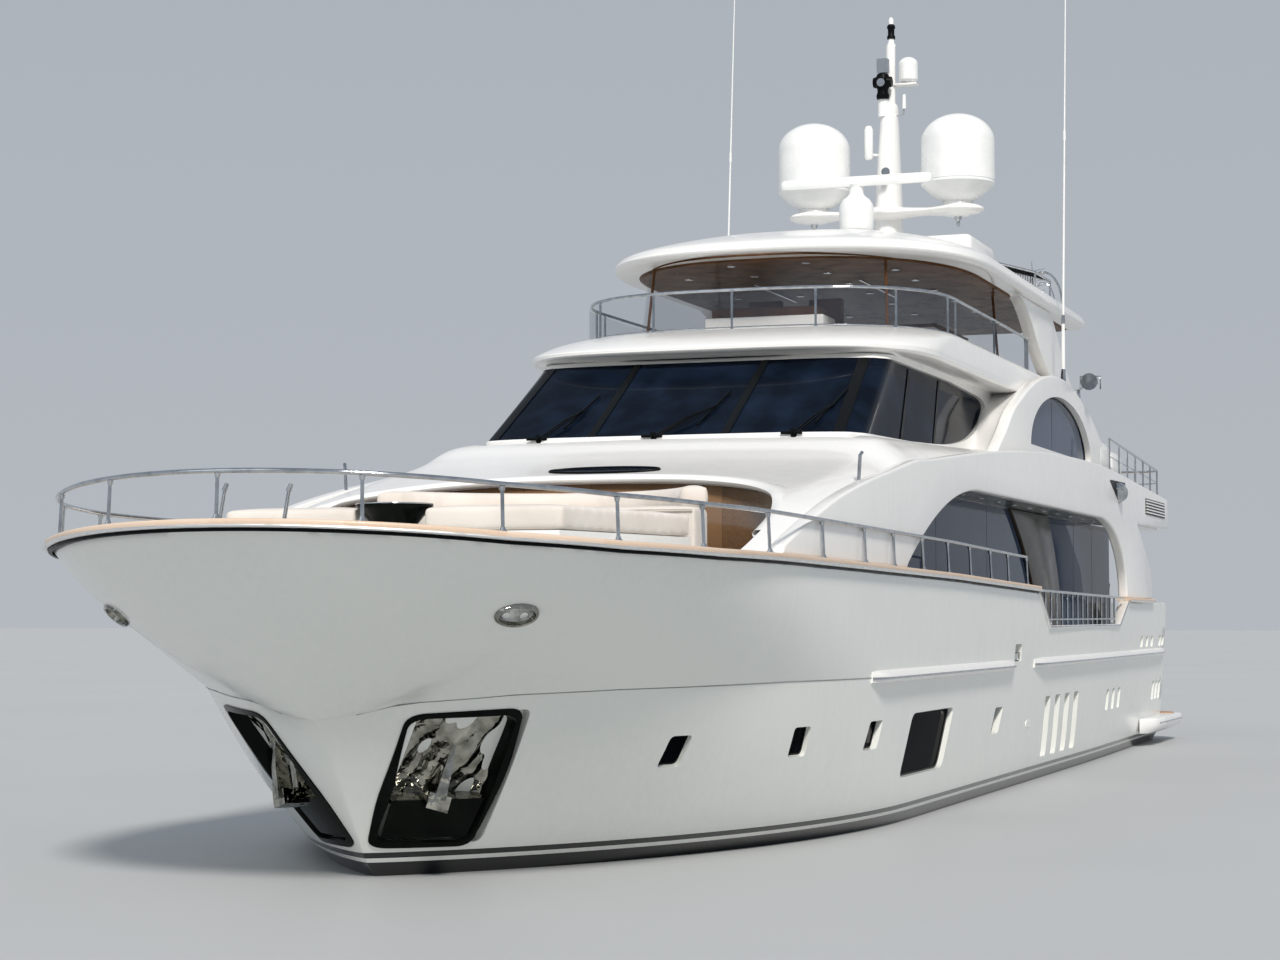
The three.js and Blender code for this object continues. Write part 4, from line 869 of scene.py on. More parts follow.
def dress(finish: Finish, *nodes: str) -> None:
    """Gives CAD nodes a finish, and welds and smooths their triangles.

    Args:
        finish: The finish.
        nodes: Names of the CAD nodes.
    """
    for name in nodes:
        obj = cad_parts[name]
        obj.data.materials.clear()
        obj.data.materials.append(finish.material())
        obj.modifiers.new("weld", "WELD").merge_threshold = FINE_GAP
        split = obj.modifiers.new("edges", "EDGE_SPLIT")
        split.split_angle = SHARP
        obj.data.shade_smooth()
        LOG.info("%s dressed in %s", name, finish.name)


def paint_faces(mesh: Mesh, number: int, where: Callable[[Vector, Vector], bool]) -> None:
    """Sets the material number of the faces whose centre and normal pass a test."""
    for face in mesh.polygons:
        if where(face.center, face.normal):
            face.material_index = number


def keep_skin(mesh: Mesh, skin: Mesh) -> None:
    """Shades what is left of a cut surface as smooth as it was before the cuts.

    Args:
        mesh: The cut mesh.
        skin: The uncut one, smooth, which is removed.
    """
    corners = [v.co.copy() for v in skin.vertices]
    normals = [v.normal.copy() for v in skin.vertices]
    faces = [tuple(f.vertices) for f in skin.polygons]
    tree = BVHTree.FromPolygons(corners, faces)

    def skin_normal(point: Vector, facing: Vector) -> Vector | None:
        """Normal of the skin near a point, or None away from it.

        Args:
            point: The place.
            facing: Normal of the face that it is on.

        Returns:
            The normal, or None.
        """
        hit, flat, number, distance = tree.find_nearest(point)
        if hit is None or distance > REACH or flat.dot(facing) < 0.8:
            return None
        ring = faces[number]
        shares = poly_3d_calc([corners[i] for i in ring], hit)
        return sum((normals[i] * s for i, s in zip(ring, shares)), Vector()).normalized()

    out = [Vector(n.vector) for n in mesh.corner_normals]
    for face in mesh.polygons:
        if skin_normal(face.center, face.normal) is None:
            continue
        for loop in face.loop_indices:
            found = skin_normal(mesh.vertices[mesh.loops[loop].vertex_index].co, face.normal)
            if found is not None:
                out[loop] = found
    mesh.normals_split_custom_set(out)
    bpy.data.meshes.remove(skin)


# Hull form


@dataclass(frozen=True)
class HullLine:
    """One line along the hull: stem x, half beam, entrance length, the two powers of its curve, and its heights."""

    stem: float
    beam: float
    run: float
    p: float
    q: float
    heights: tuple[Row, ...]


@dataclass(frozen=True)
class HullForm:
    """The hull's surface, from keel (line 0) over the knuckle (line 6) to the sheer (line 9)."""

    transom: float = -16.0
    taper_from: float = -6.0
    narrowing: float = 0.03
    bunching: float = 1.9
    knuckle: int = 6
    knuckle_z: tuple[Row, ...] = ((15.75, 1.62), (15.45, 1.78), (14.7, 1.85), (13.7, 1.88), (11, 1.9), (8, 1.88),
        (-16, 1.86))
    sheer_z: tuple[Row, ...] = ((17.7, 3.43), (16.6, 3.32), (15.5, 3.26), (14, 3.225), (12.4, 3.215), (8.8, 3.18),
        (4.2, 3.13), (-1.6, 3.02), (-10.6, 2.9), (-16, 2.89))

    def lines(self) -> tuple[HullLine, ...]:
        """The table of lines from the keel up.

        Returns:
            The ten lines.
        """
        topsides = [HullLine(stem, beam, run, p, q, self.flare_heights(share)) for share, stem, beam, run, p,
            q in ((0, 15.75, 3.6, 8.2, 2.5, 1.6), (0.34, 16.4, 3.63, 7.7, 2.7, 1.75),
            (0.67, 17.05, 3.65, 7.1, 2.85, 1.9), (1, 17.7, 3.66, 6.6, 3, 2))]
        keel = ((12.6, -1.15), (9, -1.42), (3, -1.5), (-6, -1.4), (-16, -0.9))
        bottom = ((13.1, -0.95), (9, -1.15), (3, -1.23), (-6, -1.15), (-16, -0.78))
        return (HullLine(12.6, 0, 9, 2, 1, keel), HullLine(13.1, 1.6, 9, 1.8, 1.1, bottom),
            HullLine(13.9, 3.05, 9, 2, 1.1, ((13.9, -0.45), (8, -0.64), (-6, -0.66), (-16, -0.52))),
            HullLine(14.45, 3.36, 9, 2.2, 1.15, ((14.45, 0.03), (-16, 0.06))),
            HullLine(14.72, 3.48, 8.6, 2.2, 1.2, ((14.72, 0.31), (-16, 0.31))),
            HullLine(15.2, 3.55, 8.4, 2.4, 1.4, ((15.2, 0.98), (12, 1.08), (-16, 1.06))), *topsides)

    def flare_heights(self, share: float) -> tuple[Row, ...]:
        """Heights of a line between knuckle and sheer, at every x of both tables."""
        stops = sorted({x for x, _ in (*self.knuckle_z, *self.sheer_z)}, reverse=True)
        return tuple((x, along(self.knuckle_z, x) * (1 - share) + along(self.sheer_z, x) * share) for x in stops)

    def taper(self, x: float) -> float:
        """How much the stern narrows."""
        share = max(0.0, min(1.0, (self.taper_from - x) / (self.taper_from - self.transom)))
        return 1 - self.narrowing * smooth(share)

    def blended(self, s: float, x: float | None = None) -> tuple[float, ...]:
        """Stem, beam, run, p, q and, where x is given, height of the line at s, smooth but for the knuckle.

        Args:
            s: Line number, from 0 at the keel to 9 at the sheer.
            x: Where the height is read.

        Returns:
            The numbers.
        """
        low, high = (0, self.knuckle) if s < self.knuckle else (self.knuckle, 9)
        k = min(int(s), high - 1)
        rows = []
        for i in (k - 1, k, k + 1, k + 2):
            line = LINES[max(low, min(high, i))]
            row = [line.stem, line.beam, line.run, line.p, line.q]
            rows.append(row if x is None else [*row, along(line.heights, x)])
        return spline(rows, s - k)

    def breadth(self, s: float, x: float, inset: float = 0) -> float:
        """Half breadth of the line at s, moved inboard by an inset."""
        stem, beam, run, p, q = self.blended(s)
        return max(0.0, (beam - inset) * fullness(stem - inset - x, run, p, q) * self.taper(x))

    def point(self, s: float, t: float) -> Vector:
        """Place on the port skin: s from keel to sheer, t from transom to stem."""
        stem = self.blended(s)[0]
        x = self.transom + (stem - self.transom) * (1 - (1 - t) ** self.bunching)
        return Vector((x, self.breadth(s, x), self.blended(s, x)[5]))

    def skin(self, x: float, z: float) -> tuple[Vector, Vector]:
        """The port skin at a place in side view, and its outward normal there.

        Args:
            x: Place along the boat.
            z: Height.

        Returns:
            The place and the normal.
        """

        def at(px: float, pz: float) -> Vector:
            """Finds the line that passes a place.

            Args:
                px: Place along the boat.
                pz: Height.

            Returns:
                The place on the skin.
            """
            low, high = 0.0, 9.0
            for _ in range(22):
                s = (low + high) / 2
                if self.blended(s, px)[5] < pz:
                    low = s
                else:
                    high = s
            return Vector((px, self.breadth(low, px), pz))

        step = 0.02
        here = at(x, z)
        normal = (at(x + step, z) - here).cross(at(x, z + step) - here)
        return here, normal.normalized() * (1 if normal.y > 0 else -1)

    def frame(self, x: float, z: float) -> Matrix:
        """Frame on the port skin: local x aft along it, local y up it, local z outwards."""
        point, out = self.skin(x, z)
        aft = UP.cross(out).normalized()
        return frame_at(point, aft, out.cross(aft), out)

    def sheer(self, x: float, inset: float = 0) -> tuple[Vector, Vector]:
        """Top of the hull side at x and the outward direction in plan there.

        Args:
            x: Place along the boat.
            inset: How far inwards.

        Returns:
            The place and the direction.
        """
        step = 0.01
        rim = [Vector((px, self.breadth(9, px), 0)) for px in (x - step, x)]
        ahead = rim[1] - rim[0]
        out = Vector((-ahead.y, ahead.x, 0)).normalized()
        here = Vector((x, rim[1].y, along(self.sheer_z, x)))
        return here - out * inset, out

    def bow_round(self, x0: float, inset: float, count: int) -> list[tuple[Vector, Vector]]:
        """Places round the bow on the sheer, from x0 on port to x0 on starboard, with their outward directions.

        Args:
            x0: Where the line starts and ends.
            inset: How far inwards.
            count: Steps on each side.

        Returns:
            The places with their directions.
        """
        stem = LINES[9].stem
        start = (1 - (1 - (x0 - self.transom) / (stem - self.transom)) ** (1 / self.bunching))
        port = []
        for i in range(count):
            t = start + (1 - start) * i / count
            x = self.transom + (stem - self.transom) * (1 - (1 - t) ** self.bunching)
            port.append(self.sheer(min(x, stem - 0.012), inset))
        tip = (Vector((stem - inset, 0, along(self.sheer_z, stem))), Vector((1, 0, 0)))
        mirror = Vector((1, -1, 1))
        return [*port, tip, *((p * mirror, out * mirror) for p, out in reversed(port))]


FORM = HullForm()
LINES = FORM.lines()


def rail_frames(path: Sequence[tuple[Vector, Vector]]) -> list[Matrix]:
    """Frames at places on the sheer with their outward directions: local x outboard, y up, z along."""
    return [frame_at(point, outward, UP, outward.cross(UP)) for point, outward in path]


# Hull


@lru_cache(maxsize=None)
def skin_at(x: float, z: float) -> tuple[Vector, Vector]:
    """The port skin and its outward normal at a place in side view, worked out once."""
    return FORM.skin(x, z)


@dataclass(frozen=True)
class Recess:
    """A slanted recess in the topsides, sunk square to the skin: place, size, lean of its sides and depth."""

    x: float
    z: float
    width: float
    height: float
    lean: float
    depth: float
    glazed: bool = True

    def ring(self, share: float, lift: float) -> list[Vector]:
        """Its outline on the skin, rounded.

        Args:
            share: Size against the whole outline.
            lift: Height over the skin, negative inside.

        Returns:
            The places on port.
        """
        w, h, lean = self.width / 2, self.height / 2, self.lean / 2
        corners = [Vector(p) for p in ((-w - lean, -h), (w - lean, -h), (w + lean, h), (-w + lean, h))]
        radius = min(0.15 if w > 0.5 else 0.06, w * 0.4)
        out = []
        for i, here in enumerate(corners):
            start = here + (corners[i - 1] - here).normalized() * radius
            end = here + (corners[(i + 1) % 4] - here).normalized() * radius
            for k in range(5):
                spot = bend(start, here, end, k / 4) * share
                point, normal = skin_at(round(self.x + spot.x, 5), round(self.z + spot.y, 5))
                out.append(point + normal * lift)
        return out

    def prism(self, bm: BMesh, shares: Sequence[float], low: float, high: float) -> None:
        """Adds a body that follows the skin between two heights, ring by ring from its middle to its edge."""
        rings = [self.ring(share, high) for share in shares] + [self.ring(share, low) for share in reversed(shares)]
        merge_into(bm, lofted(rings))


@dataclass
class Hull:
    """Moulded hull: skin, decks inside the bulwarks, recesses, garage and stern stairs."""

    main_deck: float = 2.3
    foredeck: float = 2.75
    foredeck_x: float = 8.0
    bulwark: float = 0.15
    transom_thick: float = 0.38
    columns: int = 150
    lights: tuple[Row, ...] = (
        # x, z, width, height, lean, depth
        (12.53, 1.2, 0.31, 0.34, 0.05, 0.08), (10.35, 1.21, 0.39, 0.34, 0.04, 0.08),
        (8.14, 1.19, 0.52, 0.34, -0.17, 0.1), (5.43, 0.99, 2.3, 0.79, -0.53, 0.09), (1.16, 1.09, 0.52, 0.38, -0.27,
            0.12),
    )
    intakes: tuple[float, ...] = (-2.66, -3.51, -4.36, -5.21)
    stern_lights: tuple[float, ...] = (-8.6, -9.3, -10.0, -14.7, -15.14, -15.58)
    slots: tuple[float, ...] = (-12.75, -13.5, -14.2, -15.35, -15.75)
    balcony: tuple[Row, ...] = ((-1.55, 3.6), (-1.55, 3.021), (-2.5, 2.45), (-9.45, 2.45), (-10.65, 2.901),
        (-10.65, 3.6))
    pocket: tuple[Row, ...] = ((14.7, 0.34), (13.98, 0.32), (14.55, 1.69), (15.33, 1.65))
    # x, z
    hawse: tuple[float, float] = (15.84, 2.63)

    def skin_rows(self) -> list[float]:
        """Line numbers of the skin's rows, close together at the knuckle; past 9 they cross the deck."""
        below = [0, 0.5, 1, 1.35, 1.7, 2, 2.25, 2.5, 2.75, 3, 3.25, 3.5, 3.75, 4, 4.25, 4.5, 4.75, 5, 5.2, 5.4, 5.6]
        return [*below, 5.8, 5.93, 5.99, 6.0, 6.012, 6.08, 6.25, *(6.5 + 0.25 * k for k in range(11)), 10]

    def body(self) -> Mesh:
        """The whole hull as a solid, decked flat at the sheer.

        Returns:
            The solid.
        """
        rows = self.skin_rows()

        def place(i: int, j: int) -> Vector:
            """Place of a corner of the skin."""
            point = FORM.point(min(rows[j], 9), i / self.columns)
            return Vector((point.x, 0, point.z)) if rows[j] > 9 or i == self.columns else point

        bm = bmesh.new()
        grid(bm, self.columns, len(rows) - 1, place)
        mirror_to_starboard(bm, merge=GAP)
        weld(bm)
        return mesh_of(bm, "hull_body")

    def well(self, floor: float, x0: float, x1: float = 18) -> Mesh:
        """Space inside the bulwarks over a deck, from x0 to the bow or to x1.

        Args:
            floor: Height of the deck.
            x0: Its aft end.
            x1: Its forward end.

        Returns:
            The solid.
        """
        heights = [floor, floor + 0.2, floor + 0.4, 3.2, 3.45, 4.2]
        count = 70
        rings = []
        for z in heights:
            s = 6 + 3 * min(1, max(0, (z - 1.85) / 1.6))
            stem = FORM.blended(s)[0] - self.bulwark
            end = min(stem, x1)
            ring = [(x0, 0, z)]
            for i in range(count + 1):
                x = x0 + (end - x0) * (1 - (1 - i / count) ** 1.8)
                ring.append((x, FORM.breadth(s, x, self.bulwark), z))
            rings.append([*ring, (end, 0, z)])
        return mesh_of(lofted(rings, False))

    def both_sides(self, outline: Sequence[Row], y0: float, y1: float) -> Mesh:
        """A side view prism on both sides of the boat.

        Args:
            outline: (x, z) points.
            y0: Place of the inner face.
            y1: Place of the outer face.

        Returns:
            The solid.
        """
        bm = bmesh.new()
        plate(bm, outline, y0, y1)
        mirror_to_starboard(bm)
        return mesh_of(bm)

    def pocket_prism(self) -> Mesh:
        """The anchor recesses, square to the flare.

        Returns:
            The solid.
        """
        into = Vector((-0.55, -0.8, 0.1)).normalized()
        outer = [Vector((x, y, z)) for (x, z), y in zip(self.pocket, (0.09, 1.06, 1.85, 0.96))]
        bm = bmesh.new()
        draw_out(bm, [p - into * 0.42 for p in outer], into * 0.68)
        long_edges = [e for e in bm.edges if abs((e.verts[0].co - e.verts[1].co).normalized().dot(into)) > 0.99]
        bmesh.ops.bevel(bm, geom=long_edges, offset=0.07, offset_type="OFFSET", affect="EDGES", segments=4, profile=0.5,
            material=-1)
        mirror_to_starboard(bm)
        return mesh_of(bm)

    def hawse_prism(self) -> Mesh:
        """Oval openings of the mooring hawses.

        Returns:
            The solid.
        """
        bm = bmesh.new()
        bmesh.ops.create_cone(bm, cap_ends=True, segments=40, radius1=1, radius2=1, depth=0.4,
            matrix=FORM.frame(*self.hawse) @ Matrix.Diagonal((0.2, 0.115, 1, 1)))
        mirror_to_starboard(bm)
        return mesh_of(bm)

    def stern_cuts(self) -> list[BMesh]:
        """Stairs on both sides and the garage with its door's rebate and hinge seats.

        Returns:
            What is cut away.
        """
        steps = [boxed((-16.3, 2.45, 0.56 + 0.25 * i), (-15.8 + 0.26 * i, 3.25, 4)) for i in range(7)]
        mirror_to_starboard(*steps)
        garage = boxed((-16.1, -1.74, 0.86), (-12.8, 1.74, 1.96))
        rebate = boxed((-16.1, -1.808, 0.792), (-15.882, 1.808, 2.028))
        seats = [boxed((-16.1, y - 0.088, 2.0), (-15.924, y + 0.088, 2.112)) for y in (-1.2, 1.2)]
        return [*steps, garage, rebate, *seats]

    def build(self) -> None:
        """Builds and dresses the hull."""
        skin = self.body()
        mesh = skin.copy()
        keel = ((8.8, 0.06, -1.2), (8.2, 0.15, -1.95), (-8.2, 0.15, -1.95), (-10.2, 0.06, -1.3))
        rings = [[(x, -w, low), (x, w, low), (x, w, -0.9), (x, -w, -0.9)] for x, w, low in keel]
        mesh = carve(mesh, lofted(rings), Cut.PLUS)
        for y in (-1.45, 1.45):
            boss = bmesh.new()
            drum(boss, (-14.75, y, -0.9), (-14.75, y, -0.6), 0.14)
            mesh = carve(mesh, boss, Cut.PLUS)
        tools = [self.well(self.main_deck, FORM.transom + self.transom_thick, self.foredeck_x),
            self.well(self.foredeck, self.foredeck_x - 0.005), self.both_sides(self.balcony, 3.3, 3.9),
            self.pocket_prism(), self.hawse_prism(), *self.stern_cuts()]
        for light in self.recesses():
            bm = bmesh.new()
            light.prism(bm, (0.02, 0.6, 1), -light.depth, 0.08)
            mirror_to_starboard(bm)
            tools.append(bm)
        for tool in tools:
            mesh = carve(mesh, tool)
        paint_faces(mesh, 1, lambda c, n: n.z > 0.9 and 2.2 < c.z < 2.8 and abs(c.y) < 3.55)
        paint_faces(mesh, 2, lambda c, n: n.z > 0.9 and 0.5 < c.z < 2.2 and c.x < -14 and 2.4 < abs(c.y) < 3.3)
        made = piece("hull_moulding", mesh, [HULL_WHITE, DECK_TEAK, DECK_TEAK],
            replaces=("hull", "bulwark", "transom_bulwark"), angle=25)
        keep_skin(made.data, skin)
        self.build_recess_panes()
        self.build_pockets()
        self.build_hawses()
        self.build_crease()
        self.build_strakes()

    def recesses(self) -> list[Recess]:
        """Every recess of one side: portlights, engine room intakes and stern lights.

        Returns:
            The recesses.
        """
        return [*(Recess(*row) for row in self.lights), *(Recess(x, 0.85, 0.43, 0.96, -0.15, 0.12, False)
            for x in self.intakes), *(Recess(x, 1.08, 0.3, 0.38, -0.1, 0.1, False) for x in self.stern_lights),
            *(Recess(x, 2.1, 0.32, 0.22, -0.03, 0.08, False) for x in self.slots),
            Recess(-0.15, 2.06, 0.5, 0.26, 0.0, 0.09, False)]

    def build_recess_panes(self) -> None:
        """Dark panes with black seals in the portlights, dark slats in the air intakes, small plates beside them."""
        panes, seals, slats, plates = (bmesh.new() for _ in range(4))
        for light in self.recesses():
            inner = -light.depth
            if light.glazed:
                light.prism(panes, (0.02, 0.5, 0.97), inner + 0.0006, inner + 0.012)
                band = 0.12 if light.width < 1 else 0.06
                edge = ((1 - band, 0.006), (1 - band, 0.022), (1.0, 0.022), (1.0, 0.006))
                shells(seals, [light.ring(share, inner + lift) for share, lift in edge], closed=True)
            elif light.height > 0.9:
                for k in range(12):
                    point, normal = skin_at(light.x - light.lean * (k / 11 - 0.5),
                        round(light.z - 0.4 + 0.8 * k / 11, 4))
                    spot = point + normal * (inner + 0.012)
                    block(slats, spot - Vector((0.15, 0.01, 0.008)), spot + Vector((0.1, 0.01, 0.008)))
        Recess(-1.19, 0.95, 0.36, 0.11, -0.02, 0).prism(plates, (0.02, 1), -0.004, 0.008)
        roller = Recess(-0.15, 2.0, 0.42, 0.13, 0.0, 0)
        for share, lift in ((0.98, -0.02), (0.8, -0.03), (0.6, -0.045)):
            ring = roller.ring(share, lift)
            tube(seals, [*ring, ring[0]], 0.004, 6)
        chrome = bmesh.new()
        roller.prism(chrome, (0.02, 0.5, 1), -0.085, -0.03)
        mirror_to_starboard(panes, seals, slats, plates, chrome)
        piece("portlight_panes", panes, PORT_GLASS)
        piece("portlight_seals", seals, BLACK_SATIN)
        piece("intake_slats", slats, GREY_SEAL)
        piece("skin_fitting_plates", plates, WHITE)
        piece("quarter_fairleads", chrome, STEEL)

    def build_pockets(self) -> None:
        """Anchor recesses: black rim on the skin, creased mirror plates inside, a black plate over the low third."""
        into = Vector((-0.55, -0.8, 0.1)).normalized()
        corners = [Vector(p) for p in self.pocket]
        centre = sum(corners, Vector((0, 0))) / 4
        path = []
        for i, here in enumerate(corners):
            before, after = corners[i - 1], corners[(i + 1) % 4]
            start = here + (before - here).normalized() * 0.12
            end = here + (after - here).normalized() * 0.12
            path += [bend(start, here, end, k / 6) for k in range(7)]
            path += [end.lerp(after + (here - after).normalized() * 0.12, k / 10) for k in range(1, 10)]

        def on_skin(spot: Vector, proud: float, less: float) -> Vector:
            """A place on the skin, moved outwards and towards the recess's middle."""
            moved = spot + (centre - spot).normalized() * less
            point, normal = FORM.skin(moved.x, moved.y)
            return point + normal * proud

        rim = bmesh.new()
        rings = [[on_skin(p, -0.01, -0.03) for p in path], [on_skin(p, 0.014, -0.03) for p in path],
            [on_skin(p, 0.016, 0.03) for p in path], [on_skin(p, -0.02, 0.038) for p in path],
            [on_skin(p, 0, 0.038) + into * 0.2 for p in path]]
        shells(rim, rings, closed=True)
        mirror_to_starboard(rim)
        piece("anchor_pocket_rims", rim, BLACK_GLOSS)

        def quad(u: float, v: float, depth: float) -> Vector:
            """A place in the recess: u aft, v up, at a depth.

            Args:
                u: Share aft.
                v: Share up.
                depth: How deep inside the skin.

            Returns:
                The place.
            """
            low = corners[0].lerp(corners[1], u)
            high = corners[3].lerp(corners[2], u)
            spot = low.lerp(high, v)
            point, _ = FORM.skin(spot.x, spot.y)
            return point + into * depth

        low_plate = bmesh.new()
        grid(low_plate, 12, 6, lambda i, j: quad(0.07 + 0.86 * i / 12, 0.05 + 0.3 * j / 6, 0.012))
        shelf = bmesh.new()
        grid(shelf, 12, 4, lambda i, j: quad(0.07 + 0.86 * i / 12, 0.35 + 0.01 * j, 0.012 + 0.06 * j))
        back = bmesh.new()

        def creased(i: int, j: int) -> Vector:
            """Corner of the back plate, which is dished in three folds towards the middle."""
            u, v = i / 30, j / 24
            fold = 0.05 * sin(u * 9.4 + v * 3) * sin(v * 7 + 0.6) + 0.03 * abs(sin(u * 15 - v * 8))
            return quad(0.05 + 0.9 * u, 0.3 + 0.67 * v, 0.16 + fold)

        grid(back, 30, 24, creased)
        mirror_to_starboard(low_plate, shelf, back)
        piece("anchor_pocket_low_plates", low_plate, BLACK_GLOSS)
        piece("anchor_pocket_shelves", shelf, MIRROR)
        piece("anchor_pocket_backs", back, MIRROR, angle=60)

    def build_hawses(self) -> None:
        """Polished oval mooring hawses with a dished throat."""
        place = FORM.frame(*self.hawse)
        lips, throats = bmesh.new(), bmesh.new()
        profile = ((0.04, -0.01), (0.038, 0.014), (0.02, 0.034), (0.0, 0.028), (-0.012, -0.01), (-0.02, -0.06),
            (-0.03, -0.1))
        for bm, rows in ((lips, profile[:5]), (throats, profile[4:])):
            rings = [[place @ Vector((x, y, depth)) for x, y in arc(0, 0, 0.185 + grow, 0.115 + grow, 0, 352.5, 47)]
                for grow, depth in rows]
            shells(bm, rings, closed=True)
        for x in (-0.09, 0.09):
            drum(throats, place @ Vector((x, -0.03, -0.1)), place @ Vector((x, -0.03, -0.02)), 0.055, 0.04, 24)
        grid(throats, 12, 12, lambda i, j: place @ Vector(((i / 6 - 1) * 0.19, (j / 6 - 1) * 0.12,
            -0.11 + 0.02 * (j % 3))))
        mirror_to_starboard(lips, throats)
        piece("mooring_hawses", lips, MIRROR, angle=50)
        piece("hawse_throats", throats, RUB_STEEL, angle=50)

    def build_crease(self) -> None:
        """Fine shadow line where the flare meets the lower side, from the stem to the rubbing strakes."""
        bm = bmesh.new()
        stations = [17 - 0.15 * k for k in range(76)]
        path = [(x, FORM.breadth(6, x), along(FORM.knuckle_z, x)) for x in stations if FORM.breadth(6, x) > 0.03]
        tube(bm, path, 0.007, 6)
        mirror_to_starboard(bm)
        piece("knuckle_creases", bm, CREASE_GREY)

    def build_strakes(self) -> None:
        """Rubbing strakes on the knuckle, with a polished half round along the edge."""
        body, strip = bmesh.new(), bmesh.new()
        for x0, x1 in ((8.45, 0.15), (-1.4, -15.99)):
            count = 60
            rings, edge = [], []
            for i in range(count + 1):
                x = x0 + (x1 - x0) * i / count
                ease = min(1.0, min(i, count - i) / 4 + 0.12)
                proud = 0.11 * sin(ease * pi / 2)
                y, z = FORM.breadth(6, x), along(FORM.knuckle_z, x)
                sides = ((-0.06, -0.08), (0.7 * proud, -0.06), (proud, -0.01), (0.9 * proud, 0.03), (0.5 * proud, 0.07),
                    (-0.06, 0.11))
                rings.append([(x, y + dy, z + dz) for dy, dz in sides])
                edge.append((x, y + proud, z - 0.01))
            merge_into(body, lofted(rings))
            tube(strip, edge, 0.016, 8)
        mirror_to_starboard(body, strip)
        piece("rubbing_strakes", body, WHITE, angle=40)
        piece("strake_strips", strip, STEEL)


# Rails on the bulwark


@dataclass
class CapRails:
    """Teak cap on the bulwark over a polished half round and a black line."""

    outer: float = 0.06
    inner: float = 0.23
    height: float = 0.06
    bow_from: float = -1.52
    # x at both ends of the stern caps
    stern: tuple[float, float] = (-10.68, -14.1)

    def section(self) -> Points:
        """Section of the plank, edges rounded."""
        o, i, h = self.outer, self.inner, self.height
        return [(-i, 0.001), (o - 0.01, 0.001), (o, 0.012), (o, h - 0.02), (o - 0.006, h - 0.006), (o - 0.02, h),
            (-i + 0.015, h), (-i, h - 0.015)]

    def build(self) -> None:
        """Builds the caps and their strips."""
        bow = FORM.bow_round(self.bow_from, 0, 110)
        teak = bmesh.new()
        sweep(teak, self.section(), rail_frames(bow))
        piece("bow_cap", teak, CAP_TEAK, replaces=("bow_cap_rail",), angle=50)
        strip, line = bmesh.new(), bmesh.new()
        half_round = [(self.outer - 0.03 + x, y) for x, y in arc(0.014, -0.004, 0.036, 0.019, -90, 90, 6)]
        sweep(strip, [(self.outer - 0.03, -0.022), *half_round, (self.outer - 0.03, 0.014)], rail_frames(bow))
        sweep(line, [(-0.02, -0.055), (0.01, -0.055), (0.02, -0.048), (0.02, -0.02), (-0.02, -0.02)], rail_frames(bow))
        for side in Side:
            path = [FORM.sheer(self.stern[0] + (self.stern[1] - self.stern[0]) * k / 20) for k in range(21)]
            cap, mirror = bmesh.new(), Matrix.Diagonal((1, side.value, 1, 1))
            frames = [mirror @ f for f in rail_frames(path)]
            sweep(cap, self.section(), frames)
            piece(f"stern_cap_{side.label}", cap, CAP_TEAK, replaces=(f"stern_cap_rail_{side.label}",), angle=50)
            sweep(strip, [(self.outer - 0.03, -0.022), *half_round, (self.outer - 0.03, 0.014)], frames)
        piece("cap_strips", strip, RUB_STEEL)
        piece("cap_black_line", line, BLACK_SATIN)


@dataclass
class BowRail:
    """Polished rail round the bow: one bent tube on leaning stanchions with round bases."""

    height: float = 0.43
    inset: float = 0.045
    cap: float = 0.06
    tube_radius: float = 0.024
    post_radius: float = 0.018
    aft_end: float = -0.9
    posts: tuple[float, ...] = (-0.9, 0.52, 1.75, 3.1, 4.45, 5.88, 7.385, 8.764, 10.566, 12.54, 14.18, 15.505, 16.617,
        17.4)

    def top(self, place: tuple[Vector, Vector]) -> Vector:
        """Where the rail passes over a place of the cap."""
        point, out = place
        return point + out * -0.02 + UP * (self.cap + self.height)

    def build(self) -> None:
        """Builds the rail with its stanchions and bases."""
        bm = bmesh.new()
        path = [self.top(p) for p in FORM.bow_round(self.aft_end, self.inset, 90)]
        tube(bm, path, self.tube_radius, 12)
        mirror = Vector((1, -1, 1))
        places = [FORM.sheer(x, self.inset) for x in self.posts]
        spots = [(p + UP * self.cap, self.top((p, out))) for p, out in places]
        spots += [(a * mirror, b * mirror) for a, b in spots]
        tip = (Vector((LINES[9].stem - self.inset, 0, along(FORM.sheer_z, 17.7))), Vector((1, 0, 0)))
        spots.append((tip[0] + UP * self.cap, self.top(tip)))
        for foot, top in spots:
            drum(bm, foot, top, self.post_radius, sides=14)
            drum(bm, foot, foot + UP * 0.012, 0.042, 0.04, 18)
            drum(bm, foot + UP * 0.012, foot + UP * 0.04, 0.03, 0.022, 18)
            drum(bm, top - UP * 0.06, top - UP * 0.02, 0.024, 0.03, 14)
        piece("bow_rail_tubes", bm, STEEL, replaces=("bow_rail",))


